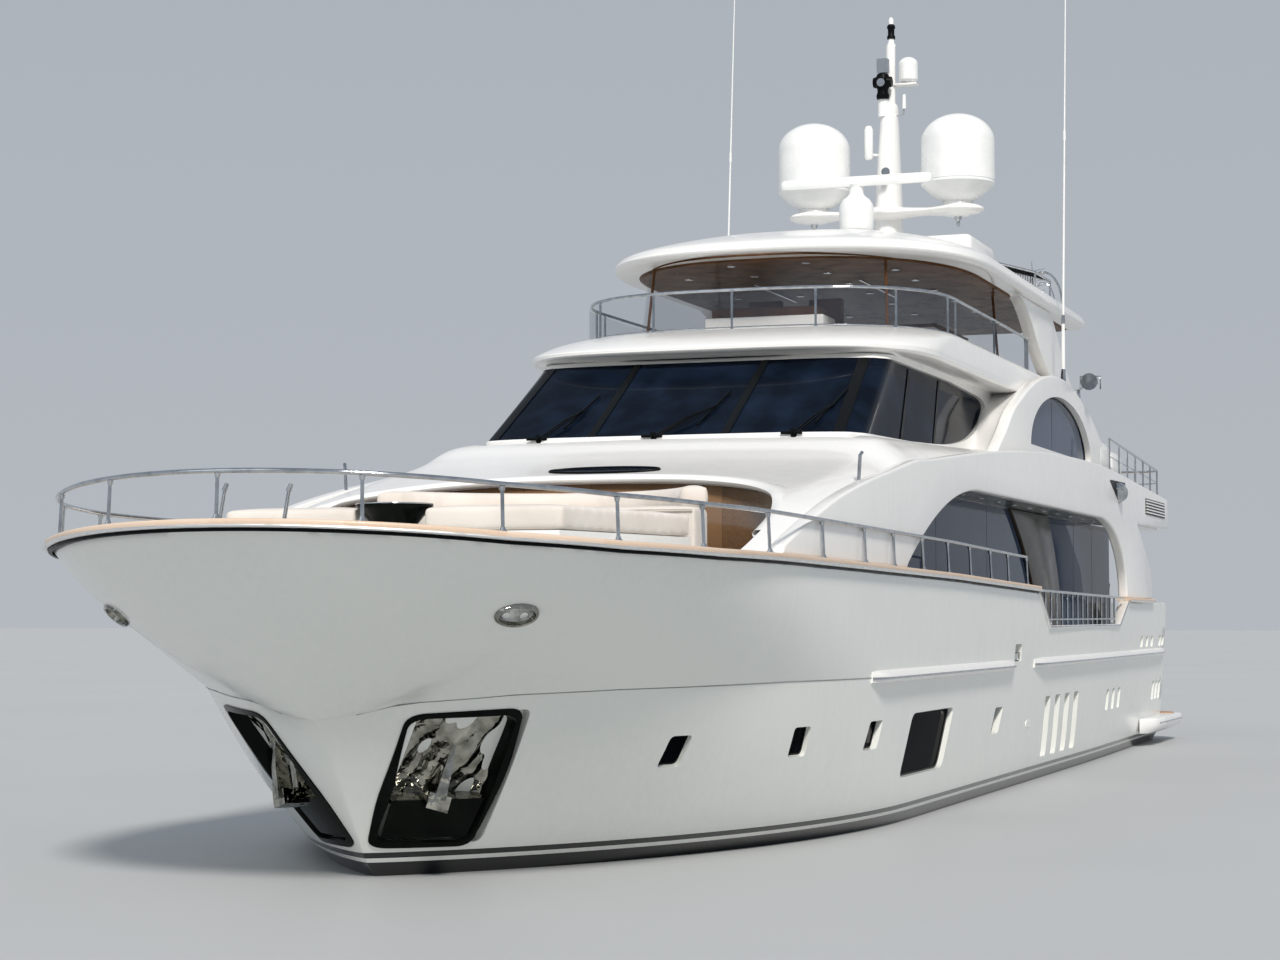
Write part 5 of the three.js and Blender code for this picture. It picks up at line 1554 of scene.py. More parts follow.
@dataclass
class BalconyRails:
    """Balcony in each bulwark: top rail, low rail, balusters, and a steel strip round the cut."""

    y: float = 3.56
    count: int = 15

    def build(self) -> None:
        """Builds both balconies."""
        for side in Side:
            s = side.value
            bm = bmesh.new()
            tube(bm, [(-1.56, s * self.y, 3.06), (-1.7, s * self.y, 3.03), (-10.2, s * self.y, 2.955),
                (-10.35, s * self.y, 2.93)], 0.024, 12)
            tube(bm, [(-2.6, s * self.y, 2.56), (-9.35, s * self.y, 2.56)], 0.016, 10)
            for i in range(self.count):
                x = -2.62 - 6.72 * i / (self.count - 1)
                top = 3.022 - 0.0088 * (-1.7 - x)
                drum(bm, (x, s * self.y, 2.4504), (x, s * self.y, top), 0.017, sides=12)
                drum(bm, (x, s * self.y, 2.4504), (x, s * self.y, 2.465), 0.034, sides=16)
            piece(f"balcony_tubes_{side.label}", bm, STEEL, replaces=(f"balcony_rail_{side.label}",))
            strip = bmesh.new()
            edge = [(-1.6, 2.995), (-2.49, 2.462), (-9.46, 2.462), (-10.6, 2.89)]
            rings = []
            for x, z in edge:
                outer = s * (FORM.breadth(8.2, x) + 0.012)
                rings.append([(x, outer - s * 0.17, z), (x, outer + s * 0.012, z), (x, outer + s * 0.012, z - 0.05),
                    (x, outer - s * 0.17, z - 0.05)])
            sill = lofted(rings)
            soften(sill, 0.006, 2)
            piece(f"balcony_sill_{side.label}", sill, WHITE)
            tube(strip, [(x, s * (FORM.breadth(8.2, x) + 0.026), z - 0.02) for x, z in edge], 0.012, 8)
            piece(f"balcony_strip_{side.label}", strip, STEEL)


# Foredeck

TRUNK_ROWS = (
    # x, centre z, shoulder y, shoulder z, edge z
    (12.0, 3.33, 2.65, 3.33, 3.25),
    (10.9, 3.7, 2.7, 3.69, 3.6),
    (9.8, 4.04, 2.75, 4.02, 3.9),
    (7.7, 4.5, 2.78, 4.46, 4.33),
    (6.8, 4.74, 2.78, 4.69, 4.44),
    (6.0, 4.99, 2.78, 4.94, 4.64),
    (5.0, 5.02, 2.78, 5.0, 4.7),
    (2.7, 5.06, 2.78, 5.06, 4.88),
    (0.52, 5.12, 2.78, 5.12, 5.06),
)


@dataclass
class Trunk:
    """Rounded coachroof between foredeck and windscreen, scooped out for the lounge, shoulders beside the house."""

    half: float = 3.3796
    house_half: float = 2.7504
    # centre x, half length, half breadth of the scoop, and the power that squares its corners
    scoop: tuple[float, float, float] = (11.4, 3.0, 3.1)
    power: float = 2.8
    lip: float = 0.11

    def section(self, row: Row, low: float) -> list[tuple[float, float, float]]:
        """One section of the coachroof.

        Args:
            row: x, centre height, shoulder y, shoulder height and edge height.
            low: Height of its underside.

        Returns:
            Points from the port foot over the top to the starboard foot.
        """
        x, centre, sy, sz, edge = row
        corner = [(self.half, edge - 0.05), (self.half, edge), ((sy + self.half) / 2 + 0.06, (sz + edge) / 2 + 0.025),
            (sy, sz), (sy / 2, (sz + 3 * centre) / 4), (0.0, centre)]
        curve = refine(corner, 5)
        port = [(self.half, low), *curve[:-1]]
        return [*((x, y, z) for y, z in port), (x, 0.0, centre), *((x, -y, z) for y, z in reversed(port))]

    def edge(self, a: float, inset: float) -> tuple[float, float]:
        """Place of the scoop's edge at an angle, moved inwards by an inset.

        Args:
            a: The angle.
            inset: How far inwards.

        Returns:
            (x, y) of the place.
        """
        x, rx, ry = self.scoop
        c, s = cos(a), sin(a)
        return (x + (rx - inset) * copysign(abs(c) ** (2 / self.power), c), (ry
            - inset) * copysign(abs(s) ** (2 / self.power), s))

    def column(self, low: float, high: float) -> Mesh:
        """The scoop's column, a rounded rectangle in plan."""
        bm = bmesh.new()
        slab(bm, [self.edge(tau * k / 160, 0) for k in range(160)], low, high)
        return mesh_of(bm)

    def solid(self, rows: Sequence[Row], low: float) -> Mesh:
        """The coachroof through rows of sections."""
        return mesh_of(lofted([self.section(row, low) for row in rows]))

    def build(self) -> None:
        """Builds the coachroof, its lip over the lounge and the skylight."""
        rows = refine(TRUNK_ROWS, 8)
        front = self.solid([r for r in rows if r[0] >= 6.1], FOREDECK)
        front = carve(front, self.column(2, 6))
        shoulders = self.solid([r for r in rows if r[0] <= 6.12], UPPER_DECK)
        shoulders = carve(shoulders, boxed((-1, -self.house_half, 4), (6.1004, self.house_half, 6)))
        bm = bmesh.new()
        for one in (front, shoulders):
            merge_into(bm, one)
        piece("coachroof", bm, WHITE, replaces=("forward_trunk",), angle=40)
        self.build_lip()
        self.build_skylight()

    def height(self, x: float, y: float) -> float:
        """Height of the coachroof's top at a place in plan.

        Args:
            x: Place along the boat.
            y: Place across the boat.

        Returns:
            The height.
        """
        centre, sy, sz, edge = (along([(r[0], r[k]) for r in TRUNK_ROWS], x) for k in (1, 2, 3, 4))
        y = abs(y)
        if y <= sy:
            return centre + (sz - centre) * (y / sy) ** 2
        return sz + (edge - sz) * (y - sy) / (self.half - sy)

    def build_lip(self) -> None:
        """Rounded lip round the scoop, and the varnished lining of its wall below."""
        turns = [radians(91 + 178 * i / 120) for i in range(121)]
        lip, lining = bmesh.new(), bmesh.new()
        rings, wall = [], []
        for a in turns:

            def spot(grow: float, rise: float) -> Vector:
                """A place on the scoop's edge, moved outwards and up."""
                x, y = self.edge(a, -grow)
                return Vector((x, y, self.height(x, y) + rise))

            rings.append([spot(0.14, 0.004), spot(0.08, 0.022), spot(0.0, 0.03), spot(-0.07, 0.02),
                spot(-self.lip, -0.012), spot(-self.lip + 0.01, -0.05), spot(-0.06, -0.07), spot(-0.004, -0.08)])
            top = spot(-0.012, -0.09)
            foot = Vector((*self.edge(a, 0.012), FOREDECK + 0.002))
            wall.append([foot, foot.lerp(top, 0.5), top])
        grid(lip, 7, 120, lambda i, j: rings[j][i])
        grid(lining, 2, 120, lambda i, j: wall[j][i])
        face_out(lip)
        thicken(piece("scoop_lining", lining, GLOSS_WOOD), 0.008)
        piece("coachroof_lip", lip, WHITE, angle=60)

    def build_skylight(self) -> None:
        """Dark oval skylight let into the coachroof before the windscreen."""
        bm = bmesh.new()

        def place(i: int, j: int) -> Vector:
            """Corner of the pane, which follows the roof."""
            a, r = tau * i / 64, (0.06 + 0.94 * j / 6)
            x, y = 7.95 + 0.2 * r * cos(a), 0.74 * r * sin(a)
            return Vector((x, y, self.height(x, y) + 0.02 - 0.012 * (j / 6) ** 3))

        grid(bm, 64, 6, place)
        weld(bm)
        piece("roof_skylight", bm, DARK_GLASS, angle=60)
        rim = bmesh.new()
        path = [place(i, 6) + UP * 0.004 for i in range(65)]
        tube(rim, path, 0.016, 8)
        piece("roof_skylight_rim", rim, BLACK_SATIN)


@dataclass
class Cushions:
    """Covered lounge and sunpad: boxed cushions under one laced cover each, swelled by cloth simulation."""

    # centre x, half length, half breadth
    oval: tuple[float, float, float] = (11.4, 2.9, 2.42)
    voxel: float = 0.035
    pressure: float = 4.0
    cap: float = 0.03
    # x, y
    table: tuple[float, float] = (14.0, 0.0)

    def column(self, low: float, high: float, inset: float) -> Mesh:
        """The lounge's oval column, made smaller by an inset.

        Args:
            low: Height of the underside.
            high: Height of the top.
            inset: How far inwards.

        Returns:
            The solid.
        """
        x, rx, ry = self.oval
        bm = bmesh.new()
        bmesh.ops.create_cone(bm, cap_ends=True, segments=72, radius1=1, radius2=1, depth=high - low,
            matrix=Matrix.Translation((x, 0, (low + high) / 2)) @ Matrix.Diagonal((rx - inset, ry - inset, 1, 1)))
        return mesh_of(bm)

    def crescent(self, front: float, low: float, high: float, inset: float, hollow: float | None) -> Mesh:
        """Oval block cut straight at the front, with a hollow inside where one is given."""
        mesh = carve(self.column(low, high, inset), boxed((0, -4, low - 1), (front, 4, high + 1)), Cut.COMMON)
        return mesh if hollow is None else carve(mesh, self.column(low - 1, high + 1, hollow))

    def swelled(self, name: str, mesh: Mesh, lowest: float) -> Mesh:
        """Rounds a block into a stuffed form.

        Args:
            name: Name of the working object.
            mesh: The block, which is removed.
            lowest: Height that it rests on.

        Returns:
            The new mesh.
        """
        obj = placed(name, mesh)
        remesh = obj.modifiers.new("voxels", "REMESH")
        remesh.mode, remesh.voxel_size = "VOXEL", self.voxel
        made = evaluated(obj)
        obj.modifiers.clear()
        obj.data = made
        bpy.data.meshes.remove(mesh)
        before = [v.co.copy() for v in made.vertices]
        cloth = obj.modifiers.new("cloth", "CLOTH")
        cloth.settings.use_pressure = True
        cloth.settings.uniform_pressure_force = self.pressure
        cloth.settings.effector_weights.gravity = 0
        cloth.settings.tension_stiffness = 40
        cloth.point_cache.frame_start, cloth.point_cache.frame_end = 1, 20
        for number in range(1, 21):
            bpy.context.scene.frame_set(number)
        after = evaluated(obj)
        obj.modifiers.clear()
        for vert, old, new in zip(made.vertices, before, after.vertices):
            step = new.co - old
            if step.length > self.cap:
                step.length = self.cap
            vert.co = old + step
        bpy.data.meshes.remove(after)
        bpy.context.scene.frame_set(1)
        bm = bmesh.new()
        bm.from_mesh(made)
        bpy.data.objects.remove(obj)
        bpy.data.meshes.remove(made)
        for _ in range(3):
            bmesh.ops.smooth_vert(bm, verts=bm.verts, factor=0.5, use_axis_x=True, use_axis_y=True, use_axis_z=True)
        for vert in bm.verts:
            vert.co.z = max(vert.co.z, lowest)
        return mesh_of(bm, name)

    def pad(self, name: str, mesh: Mesh, lowest: float, node: str) -> None:
        """Makes one covered cushion from its block.

        Args:
            name: Name of the piece.
            mesh: The block.
            lowest: Height that it rests on.
            node: CAD node that it stands for.
        """
        made = piece(name, self.swelled(name, mesh, lowest), CLOTH, replaces=(node,), angle=80)
        detail = made.modifiers.new("rounding", "SUBSURF")
        detail.levels = detail.render_levels = 1

    def build(self) -> None:
        """Builds the three covered cushions with their piping and the table."""
        self.pad("lounge_seat_cover", self.crescent(11.27, 3.26, 3.83, 0.05, None), 3.2506, "lounge_seat")
        self.pad("lounge_backrest_cover", self.crescent(10.17, 3.86, 4.1, 0.05, 0.36), 3.8506, "lounge_backrest")
        for side in Side:
            s = side.value
            block_mesh = bmesh.new()
            slab(block_mesh, [(11.38, s * 0.37), (14.17, s * 0.37), (14.17, s * 1.92), (11.38, s * 2.36)], 3.49, 3.73)
            face_out(block_mesh)
            self.pad(f"sunpad_cover_{side.label}", mesh_of(block_mesh), 3.4806, f"sunpad_{side.label}")
        piping = bmesh.new()
        x0, rx, ry = self.oval
        path = [(x0 + (rx - 0.1) * cos(a), (ry - 0.1) * sin(a), 3.86) for a in (radians(99 + 162 * k / 60)
            for k in range(61))]
        tube(piping, path, 0.012, 8)
        front = 11.285
        half = ry * sqrt(1 - ((front - x0) / rx) ** 2) - 0.1
        for z in (3.8, 3.3):
            tube(piping, [(front, -half + 2 * half * k / 20, z) for k in range(21)], 0.011, 8)
        for y in (-1.6, 0.0, 1.6):
            tube(piping, [(front + 0.002, y, 3.31), (front + 0.004, y, 3.55), (front - 0.002, y, 3.8)], 0.008, 8)
        piece("lounge_cover_piping", piping, CLOTH)
        self.build_table()

    def build_table(self) -> None:
        """Dark round table on a flared leg."""
        bm = bmesh.new()
        profile = [(0, 2.7506), (0.27, 2.7506), (0.27, 2.765), (0.19, 2.8), (0.17, 3.1), (0.185, 3.35), (0.23, 3.55),
            (0.3, 3.64), (0.37, 3.71), (0.39, 3.725), (0.4, 3.74), (0.4, 3.76), (0.39, 3.77), (0, 3.77)]
        turned(bm, profile, self.table)
        piece("foredeck_table_top", bm, BLACK_GLOSS, replaces=("foredeck_table",))
        rim = bmesh.new()
        ring = arc(*self.table, 0.398, 0.398, 0, 360, 48)
        tube(rim, [(x, y, 3.771) for x, y in ring], 0.007, 8)
        piece("foredeck_table_rim", rim, STEEL)


@dataclass
class DeckGear:
    """Windlasses, chain pipes, cleats, the two bollard posts by the stem, the fairlead and the sunpad's locker."""

    def build(self) -> None:
        """Builds the gear of the working deck."""
        for side in Side:
            y = side.value * 0.62
            bm = bmesh.new()
            profile = [(0, 0.0), (0.19, 0), (0.19, 0.02), (0.17, 0.06), (0.165, 0.11), (0.11, 0.13), (0.1, 0.2),
                (0.085, 0.28), (0.09, 0.38), (0.115, 0.45), (0.13, 0.47), (0.128, 0.52), (0.1, 0.54), (0, 0.54)]
            turned(bm, [(r, FOREDECK + z) for r, z in profile], (15.85, y))
            for a in angles(5):
                spot = (15.85 + 0.05 * cos(a), y + 0.05 * sin(a))
                drum(bm, (*spot, FOREDECK + 0.53), (*spot, FOREDECK + 0.55), 0.012, sides=10)
            piece(f"capstan_{side.label}", bm, STEEL, replaces=(f"windlass_{side.label}",))
        posts, cleats, chain = bmesh.new(), bmesh.new(), bmesh.new()
        for x, y, top in ((16.35, -0.72, 3.86), (16.6, 0.1, 3.83)):
            turned(posts, [(0, FOREDECK), (0.07, FOREDECK), (0.07, FOREDECK + 0.02), (0.03, FOREDECK + 0.05),
                (0.024, top - 0.4), (0, top - 0.4)], (x, y), 24)
            drum(posts, (x, y, top - 0.42), (x, y + 0.07, top), 0.022, 0.016)
            drum(posts, (x, y + 0.06, top - 0.05), (x, y + 0.09, top + 0.02), 0.028, 0.022)
        for x, y in ((14.95, 2.15), (12.9, 2.72), (9.4, 3.12)):
            height = FOREDECK + 0.09
            tube(cleats, [(x - 0.2, y, height + 0.02), (x - 0.12, y, height), (x + 0.12, y, height),
                (x + 0.2, y, height + 0.02)], 0.024)
            for dx in (-0.07, 0.07):
                drum(cleats, (x + dx, y, FOREDECK), (x + dx, y, height), 0.03, 0.02)
        mirror_to_starboard(cleats)
        for side in (1, -1):
            y = side * 0.62
            for k in range(4):
                x = 16.08 + 0.11 * k
                turn = Matrix.Rotation(pi / 2 * (k % 2), 4, "X")
                ring = [(0.055 * cos(a), 0.034 * sin(a), 0) for a in angles(12, last=True)]
                place = Matrix.Translation((x, y, FOREDECK + 0.045)) @ turn
                tube(chain, [place @ Vector(p) for p in ring], 0.013, 6)
        piece("bow_posts", posts, STEEL)
        piece("deck_cleats", cleats, STEEL)
        piece("anchor_chains", chain, STEEL)
        dress(WHITE, "sunpad_locker", "lounge_base")


# House


@dataclass
class House:
    """Pilothouse and upper saloon: a moulded shell with one dark window band, black mullions behind the panes."""

    levels: tuple[Row, ...] = (
        # z, front, turn x, turn y, side x, side y
        (UPPER_DECK, 6.06, 5.86, 2.48, 5.35, 2.745),
        (5.0, 6.02, 5.82, 2.48, 5.3, 2.745),
        (6.08, 4.28, 4.12, 2.35, 3.7, 2.64),
        (6.2596, 4.0, 3.85, 2.33, 3.45, 2.62),
    )
    wall: float = 0.09
    aft: float = -8.5
    band: tuple[Row, ...] = ((7.0, 5.03), (5.3, 5.03), (3.0, 5.08), (0.9, 5.17), (-0.4, 5.3), (-1.2, 5.46),
        (-1.85, 5.68), (-2.3, 5.92), (-2.37, 6.03), (-2.15, 6.1), (-1.7, 6.13), (0.0, 6.19), (3.0, 6.19), (7.0, 6.19))

    def ring(self, z: float, inset: float, side_inset: float | None = None) -> list[Vector]:
        """Port half of the outline at a height, from the aft centre to the front centre.

        Args:
            z: Height.
            inset: How far inwards.
            side_inset: How far inwards at the sides, where it differs.

        Returns:
            The places.
        """
        rows = list(reversed(self.levels))
        front, tx, ty, sx, sy = (along([(r[0], r[k]) for r in rows], z) for k in range(1, 6))
        side = inset if side_inset is None else side_inset
        mid = (sx + (tx - sx) * 0.55 - inset * 0.5, sy - (sy - ty) * 0.3 - inset)
        nose = [(1.5, sy - side), (sx - 0.6, sy - side), (sx, sy - (side + inset) / 2), mid,
            (tx - inset * 1.3, ty - inset * 0.5), (front - inset * 1.6 - 0.03, 1.75), (front - inset * 1.6, 0.85),
            (front - inset * 1.6, 0.0)]
        curve = refine(nose, 6)
        start = [(self.aft + inset, 0.0), (self.aft + inset, sy - side)]
        return [Vector((x, max(0, y), z)) for x, y in (*start, *curve)]

    def solid(self, inset: float, side_inset: float | None = None, extra: float = 0.0) -> Mesh:
        """The house's form, made smaller by an inset and taller by extra at both ends.

        Args:
            inset: How far inwards.
            side_inset: How far inwards at the sides, where it differs.
            extra: How much taller.

        Returns:
            The solid.
        """
        heights = [UPPER_DECK, 4.8, 5.0, 5.2, 5.4, 5.6, 5.8, 6.0, 6.08, 6.17, 6.2596]
        rings = []
        for k, z in enumerate(heights):
            ring = self.ring(z, inset, side_inset)
            rise = -extra if k == 0 else extra if k == len(heights) - 1 else 0
            rings.append([p + UP * rise for p in ring])
        return mesh_of(lofted(rings, False))

    def band_prism(self) -> Mesh:
        """The window band right across.

        Returns:
            The solid.
        """
        bm = bmesh.new()
        curve = refine(self.band[2:-2], 4)
        plate(bm, [*self.band[:2], *curve, *self.band[-1:]], -4, 4)
        return mesh_of(bm)

    def build(self) -> None:
        """Builds shell, glass, mullions, blinds and wipers."""
        shell = carve(self.solid(0), self.solid(self.wall, None, 0.05))
        shell = carve(shell, self.band_prism())
        shell = carve(shell, boxed((self.aft - 0.01, -0.75, 4), (self.aft + self.wall + 0.01, 0.75, 6.15)))
        piece("pilothouse_shell", shell, WHITE, replaces=("pilothouse",), angle=28)
        glass = carve(self.solid(0.012, 0.062), self.solid(0.04, 0.085, 0.05))
        glass = carve(glass, self.band_prism(), Cut.COMMON)
        glass = carve(glass, boxed((-2.36, -4, 5.02), (7, 4, 6.2)), Cut.COMMON)
        piece("windscreen_glass", glass, DARK_GLASS, replaces=("pilothouse_glass",), angle=28)
        self.build_lines()
        self.build_blinds()
        self.build_wipers()

    def at(self, y: float, z: float, proud: float) -> Vector:
        """A place on the front of the house at y, moved out of the surface.

        Args:
            y: Place across the boat.
            z: Height.
            proud: How far out of the surface.

        Returns:
            The place.
        """
        ring = self.ring(z, 0)
        spot = Vector((ring[-1].x, 0, z))
        for a, b in zip(ring, ring[1:]):
            if a.y >= abs(y) >= b.y and a.x > 1 and a.y > b.y:
                spot = a.lerp(b, (a.y - abs(y)) / (a.y - b.y))
        spot = Vector((spot.x, y, z))
        rise = Vector((0.62, 0.0, 0.5)).normalized()
        return spot + rise * proud

    def side_at(self, x: float, z: float, proud: float) -> Vector:
        """A place on the port side of the house at x, moved out of the surface.

        Args:
            x: Place along the boat.
            z: Height.
            proud: How far out of the surface.

        Returns:
            The place.
        """
        ring = self.ring(z, 0)
        for a, b in zip(ring[1:], ring[2:]):
            if a.x <= x <= b.x:
                spot = a.lerp(b, (x - a.x) / max(1e-6, b.x - a.x))
                return Vector((x, spot.y + proud, z))
        return Vector((x, ring[1].y + proud, z))

    def build_lines(self) -> None:
        """Black seals between the panes and broad dark pillars at the corners."""
        bm = bmesh.new()
        for low, high, half in ((0.95, 0.95, 0.055), (-0.95, -0.95, 0.055), (2.46, 2.33, 0.07), (-2.46, -2.33, 0.07)):
            rings = []
            for k in range(13):
                y, z = low + (high - low) * k / 12, 5.035 + (6.185 - 5.035) * k / 12
                rings.append([self.at(y - half, z, -0.012), self.at(y - half, z, 0.006), self.at(y, z, 0.009),
                    self.at(y + half, z, 0.006), self.at(y + half, z, -0.012)])
            merge_into(bm, lofted(rings))
        half = 0.05
        for x0, lean in ((3.3, 0.85), (1.35, 0.75)):
            for s in (1, -1):
                rings = []
                for k in range(9):
                    z = 5.1 + (6.16 - 5.1) * k / 8
                    x = x0 - lean * (z - 5.1)
                    ring = [self.side_at(x - half, z, -0.08), self.side_at(x - half, z, -0.05),
                        self.side_at(x + half, z, -0.05), self.side_at(x + half, z, -0.08)]
                    rings.append([Vector((p.x, s * p.y, p.z)) for p in ring])
                merge_into(bm, lofted(rings))
        piece("windscreen_seals", bm, BLACK_SATIN)

    def build_blinds(self) -> None:
        """Roller blinds with a pale hem inside the front panes, over a dark dash."""
        blinds, hems, dash = bmesh.new(), bmesh.new(), bmesh.new()
        for y0, y1 in ((-2.1, -1.03), (-0.87, 0.87), (1.03, 2.1)):
            grid(blinds, 8, 4, lambda i, j: self.at(y0 + (y1 - y0) * i / 8, 6.17 - 0.27 * j / 4, 0)
                - Vector((0.09, 0, 0)))
            tube(hems, [self.at(y0 + (y1 - y0) * i / 8, 5.895, 0) - Vector((0.085, 0, 0)) for i in range(9)], 0.012, 8)
        slab(dash, [(2.2, -2.5), (4.9, -2.4), (5.7, -1.6), (5.72, 0), (5.7, 1.6), (4.9, 2.4), (2.2, 2.5)], 4.9, 5.0)
        soften(dash, 0.02)
        piece("pilothouse_blinds", blinds, BLACK_SATIN)
        piece("pilothouse_blind_hems", hems, BLIND)
        piece("pilothouse_dash", dash, BLACK_SATIN)

    def build_wipers(self) -> None:
        """Pantograph wipers, one to each front pane."""
        bm = bmesh.new()
        for y0, y1 in ((-0.03, 0.62), (-1.7, -1.3), (1.9, 2.24)):
            foot = self.at(y0, 5.0, 0.03)
            mid = self.at((y0 + y1) / 2 + 0.03, 5.24, 0.07)
            head = self.at(y1, 5.44, 0.035)
            for off in (0, 0.05):
                shift = Vector((0, off, 0))
                tube(bm, [foot + shift, mid + shift, head + shift * 0.3], 0.011, 6)
            blade = [self.at(y1 - 0.12 + 0.2 * k, 5.16 + 0.52 * k, 0.018) for k in (0, 0.5, 1)]
            tube(bm, blade, 0.013, 6)
            drum(bm, foot - Vector((0.05, 0, 0.03)), foot + Vector((0.03, 0, 0.03)), 0.05, 0.035)
            drum(bm, foot + Vector((-0.02, 0.12, 0)), foot + Vector((0.02, -0.16, 0)), 0.022)
        piece("windscreen_wipers", bm, BLACK_SATIN)


# Side structures


@dataclass
class SidePanels:
    """Sweeping side mouldings over the side deck, with arch, aft leg, louvres, lamps and the deck's ceiling."""

    inner: float = 3.38
    outer: float = 3.56
    arch_top: float = 4.4
    top_edge: tuple[Row, ...] = ((11.9, 3.37), (11.0, 3.64), (9.8, 3.96), (8.5, 4.22), (7.2, 4.43), (6.0, 4.62),
        (5.0, 4.7), (2.7, 4.91), (0.4, 5.09), (-3.4, 5.29), (-8.6, 5.35), (-13.9, 5.18), (-16.4, 5.08))

    def cap_top(self, x: float) -> float:
        """Height of the cap rail's top, with the seat gap."""
        return along(FORM.sheer_z, x) + 0.0608

    def outline(self) -> Points:
        """Side view of the panel.

        Returns:
            (x, z) points.
        """
        sill = self.cap_top(-10.9)
        leg = arc(-11.4, self.cap_top(-14.1), -2.7, 1.4, 28, 0, 12)
        aft = arc(-8.0, sill, -2.9, self.arch_top - sill, 0, 90, 24)
        front = [(2.07 + 4.38 * t, self.arch_top - 1.13 * t * t) for t in (k / 28 for k in range(29))]
        foot = [(x, self.cap_top(x)) for x in (6.5, 7.5, 8.8, 10.5, 11.95)]
        return [*refine(self.top_edge, 5), (-16.5, 4.46), (-12.25, 4.43), *leg, (-12.5, self.cap_top(-12.5)), *aft,
            *front, *foot]

    def build(self) -> None:
        """Builds both panels and what is on them."""
        louvres, slats, lamps, lenses = (bmesh.new() for _ in range(4))
        for side in Side:
            bm = bmesh.new()
            plate(bm, self.outline(), self.inner, self.outer)
            soften(bm, 0.035, 4)
            if side is Side.STARBOARD:
                mirror_to_starboard(bm)
                bmesh.ops.delete(bm, geom=[f for f in bm.faces if f.calc_center_median().y > 0], context="FACES")
                face_out(bm)
            piece(f"side_moulding_{side.label}", bm, WHITE, replaces=(f"side_panel_{side.label}",), angle=40)
        y = self.outer
        block(louvres, (-15.9, y - 0.02, 4.66), (-13.3, y + 0.008, 4.98))
        for k in range(5):
            z = 4.7 + 0.06 * k
            block(slats, (-15.85, y + 0.004, z - 0.012), (-13.35, y + 0.03, z + 0.014))
        plate(louvres, [(-8.98, 5.12), (-9.12, 5.14), (-10.7, 5.16), (-10.75, 5.12), (-10.1, 4.78), (-9.95, 4.76)],
            y - 0.02, y + 0.006)
        plate(lamps, [(-9.6, 5.1), (-10.62, 5.12), (-10.2, 4.86), (-9.8, 4.84)], y, y + 0.02)
        for dx, r in ((0.0, 0.2), (-0.12, 0.16)):
            drum(lenses, (-9.95 + dx, y + 0.01, 4.93), (-9.95 + dx + 0.06, y + 0.09, 4.92), r, r * 0.7, 28)
        tube(lenses, [(-9.5, y + 0.02, 5.0), (-9.9, y + 0.1, 4.99), (-10.5, y + 0.02, 5.03)], 0.014)
        x, z = 8.35, self.edge_at(8.35)
        tube(lamps, [(x, 3.42, z - 0.02), (x, 3.44, z + 0.3), (x - 0.03, 3.46, z + 0.34)], 0.022)
        mirror_to_starboard(louvres, slats, lamps, lenses)
        piece("louvre_recesses", louvres, BLACK_SATIN)
        piece("louvre_slats", slats, WHITE)
        piece("lamp_recesses", lamps, STEEL)
        piece("deck_lamps", lenses, STEEL)
        self.build_ceiling()
        self.build_saloon_trim()

    def edge_at(self, x: float) -> float:
        """Height of the panel's top edge at x."""
        return along(self.top_edge, x)

    def build_ceiling(self) -> None:
        """Gloss ceiling panels with joints and small lamps under the upper deck; the white panels are tinted dark
        grey-green as painted shade and painted reflection.
        """
        panels, lamps = bmesh.new(), bmesh.new()
        for k in range(14):
            x1 = 5.6 - 1.25 * k
            block(panels, (x1 - 1.235, 2.78, 4.398), (x1, 3.36, 4.4096))
            drum(lamps, (x1 - 0.62, 3.07, 4.392), (x1 - 0.62, 3.07, 4.399), 0.05, 0.055)
        mirror_to_starboard(panels, lamps)
        piece("side_deck_ceiling", panels, CEILING_PAINTED_SHADE)
        piece("side_deck_lamps", lamps, STEEL)

    def build_saloon_trim(self) -> None:
        """Dark leaning pillar between the saloon windows, outer panes up to the ceiling, and faint joints."""
        joints, panes = bmesh.new(), bmesh.new()
        rings = []
        for k in range(13):
            t = k / 12
            z = 2.32 + 2.07 * t
            fore = -5.75 + 1.9 * t * t + 0.35 * t
            aft = -8.05 + 1.0 * t * t + 0.3 * t
            rings.append([(fore, 2.752, z), (fore, 2.83, z), (aft, 2.83, z), (aft, 2.752, z)])
        pillar = lofted(rings)
        soften(pillar, 0.015)
        plate(panes, [(5.9, 2.6), (5.9, 4.39), (-4.0, 4.39), (-6.0, 2.34), (3.0, 2.34)], 2.752, 2.764)
        plate(panes, [(-6.4, 4.39), (-13.6, 4.39), (-13.6, 2.34), (-7.9, 2.34)], 2.752, 2.764)
        for x in (1.6, -1.9, -9.6, -11.55):
            block(joints, (x - 0.008, 2.7635, 2.4), (x + 0.008, 2.7655, 4.38))
        mirror_to_starboard(pillar, joints, panes)
        piece("saloon_pillars", pillar, PILLAR_BROWN)
        piece("saloon_outer_panes", panes, SIDE_GLASS)
        piece("saloon_pane_joints", joints, BLACK_SATIN)


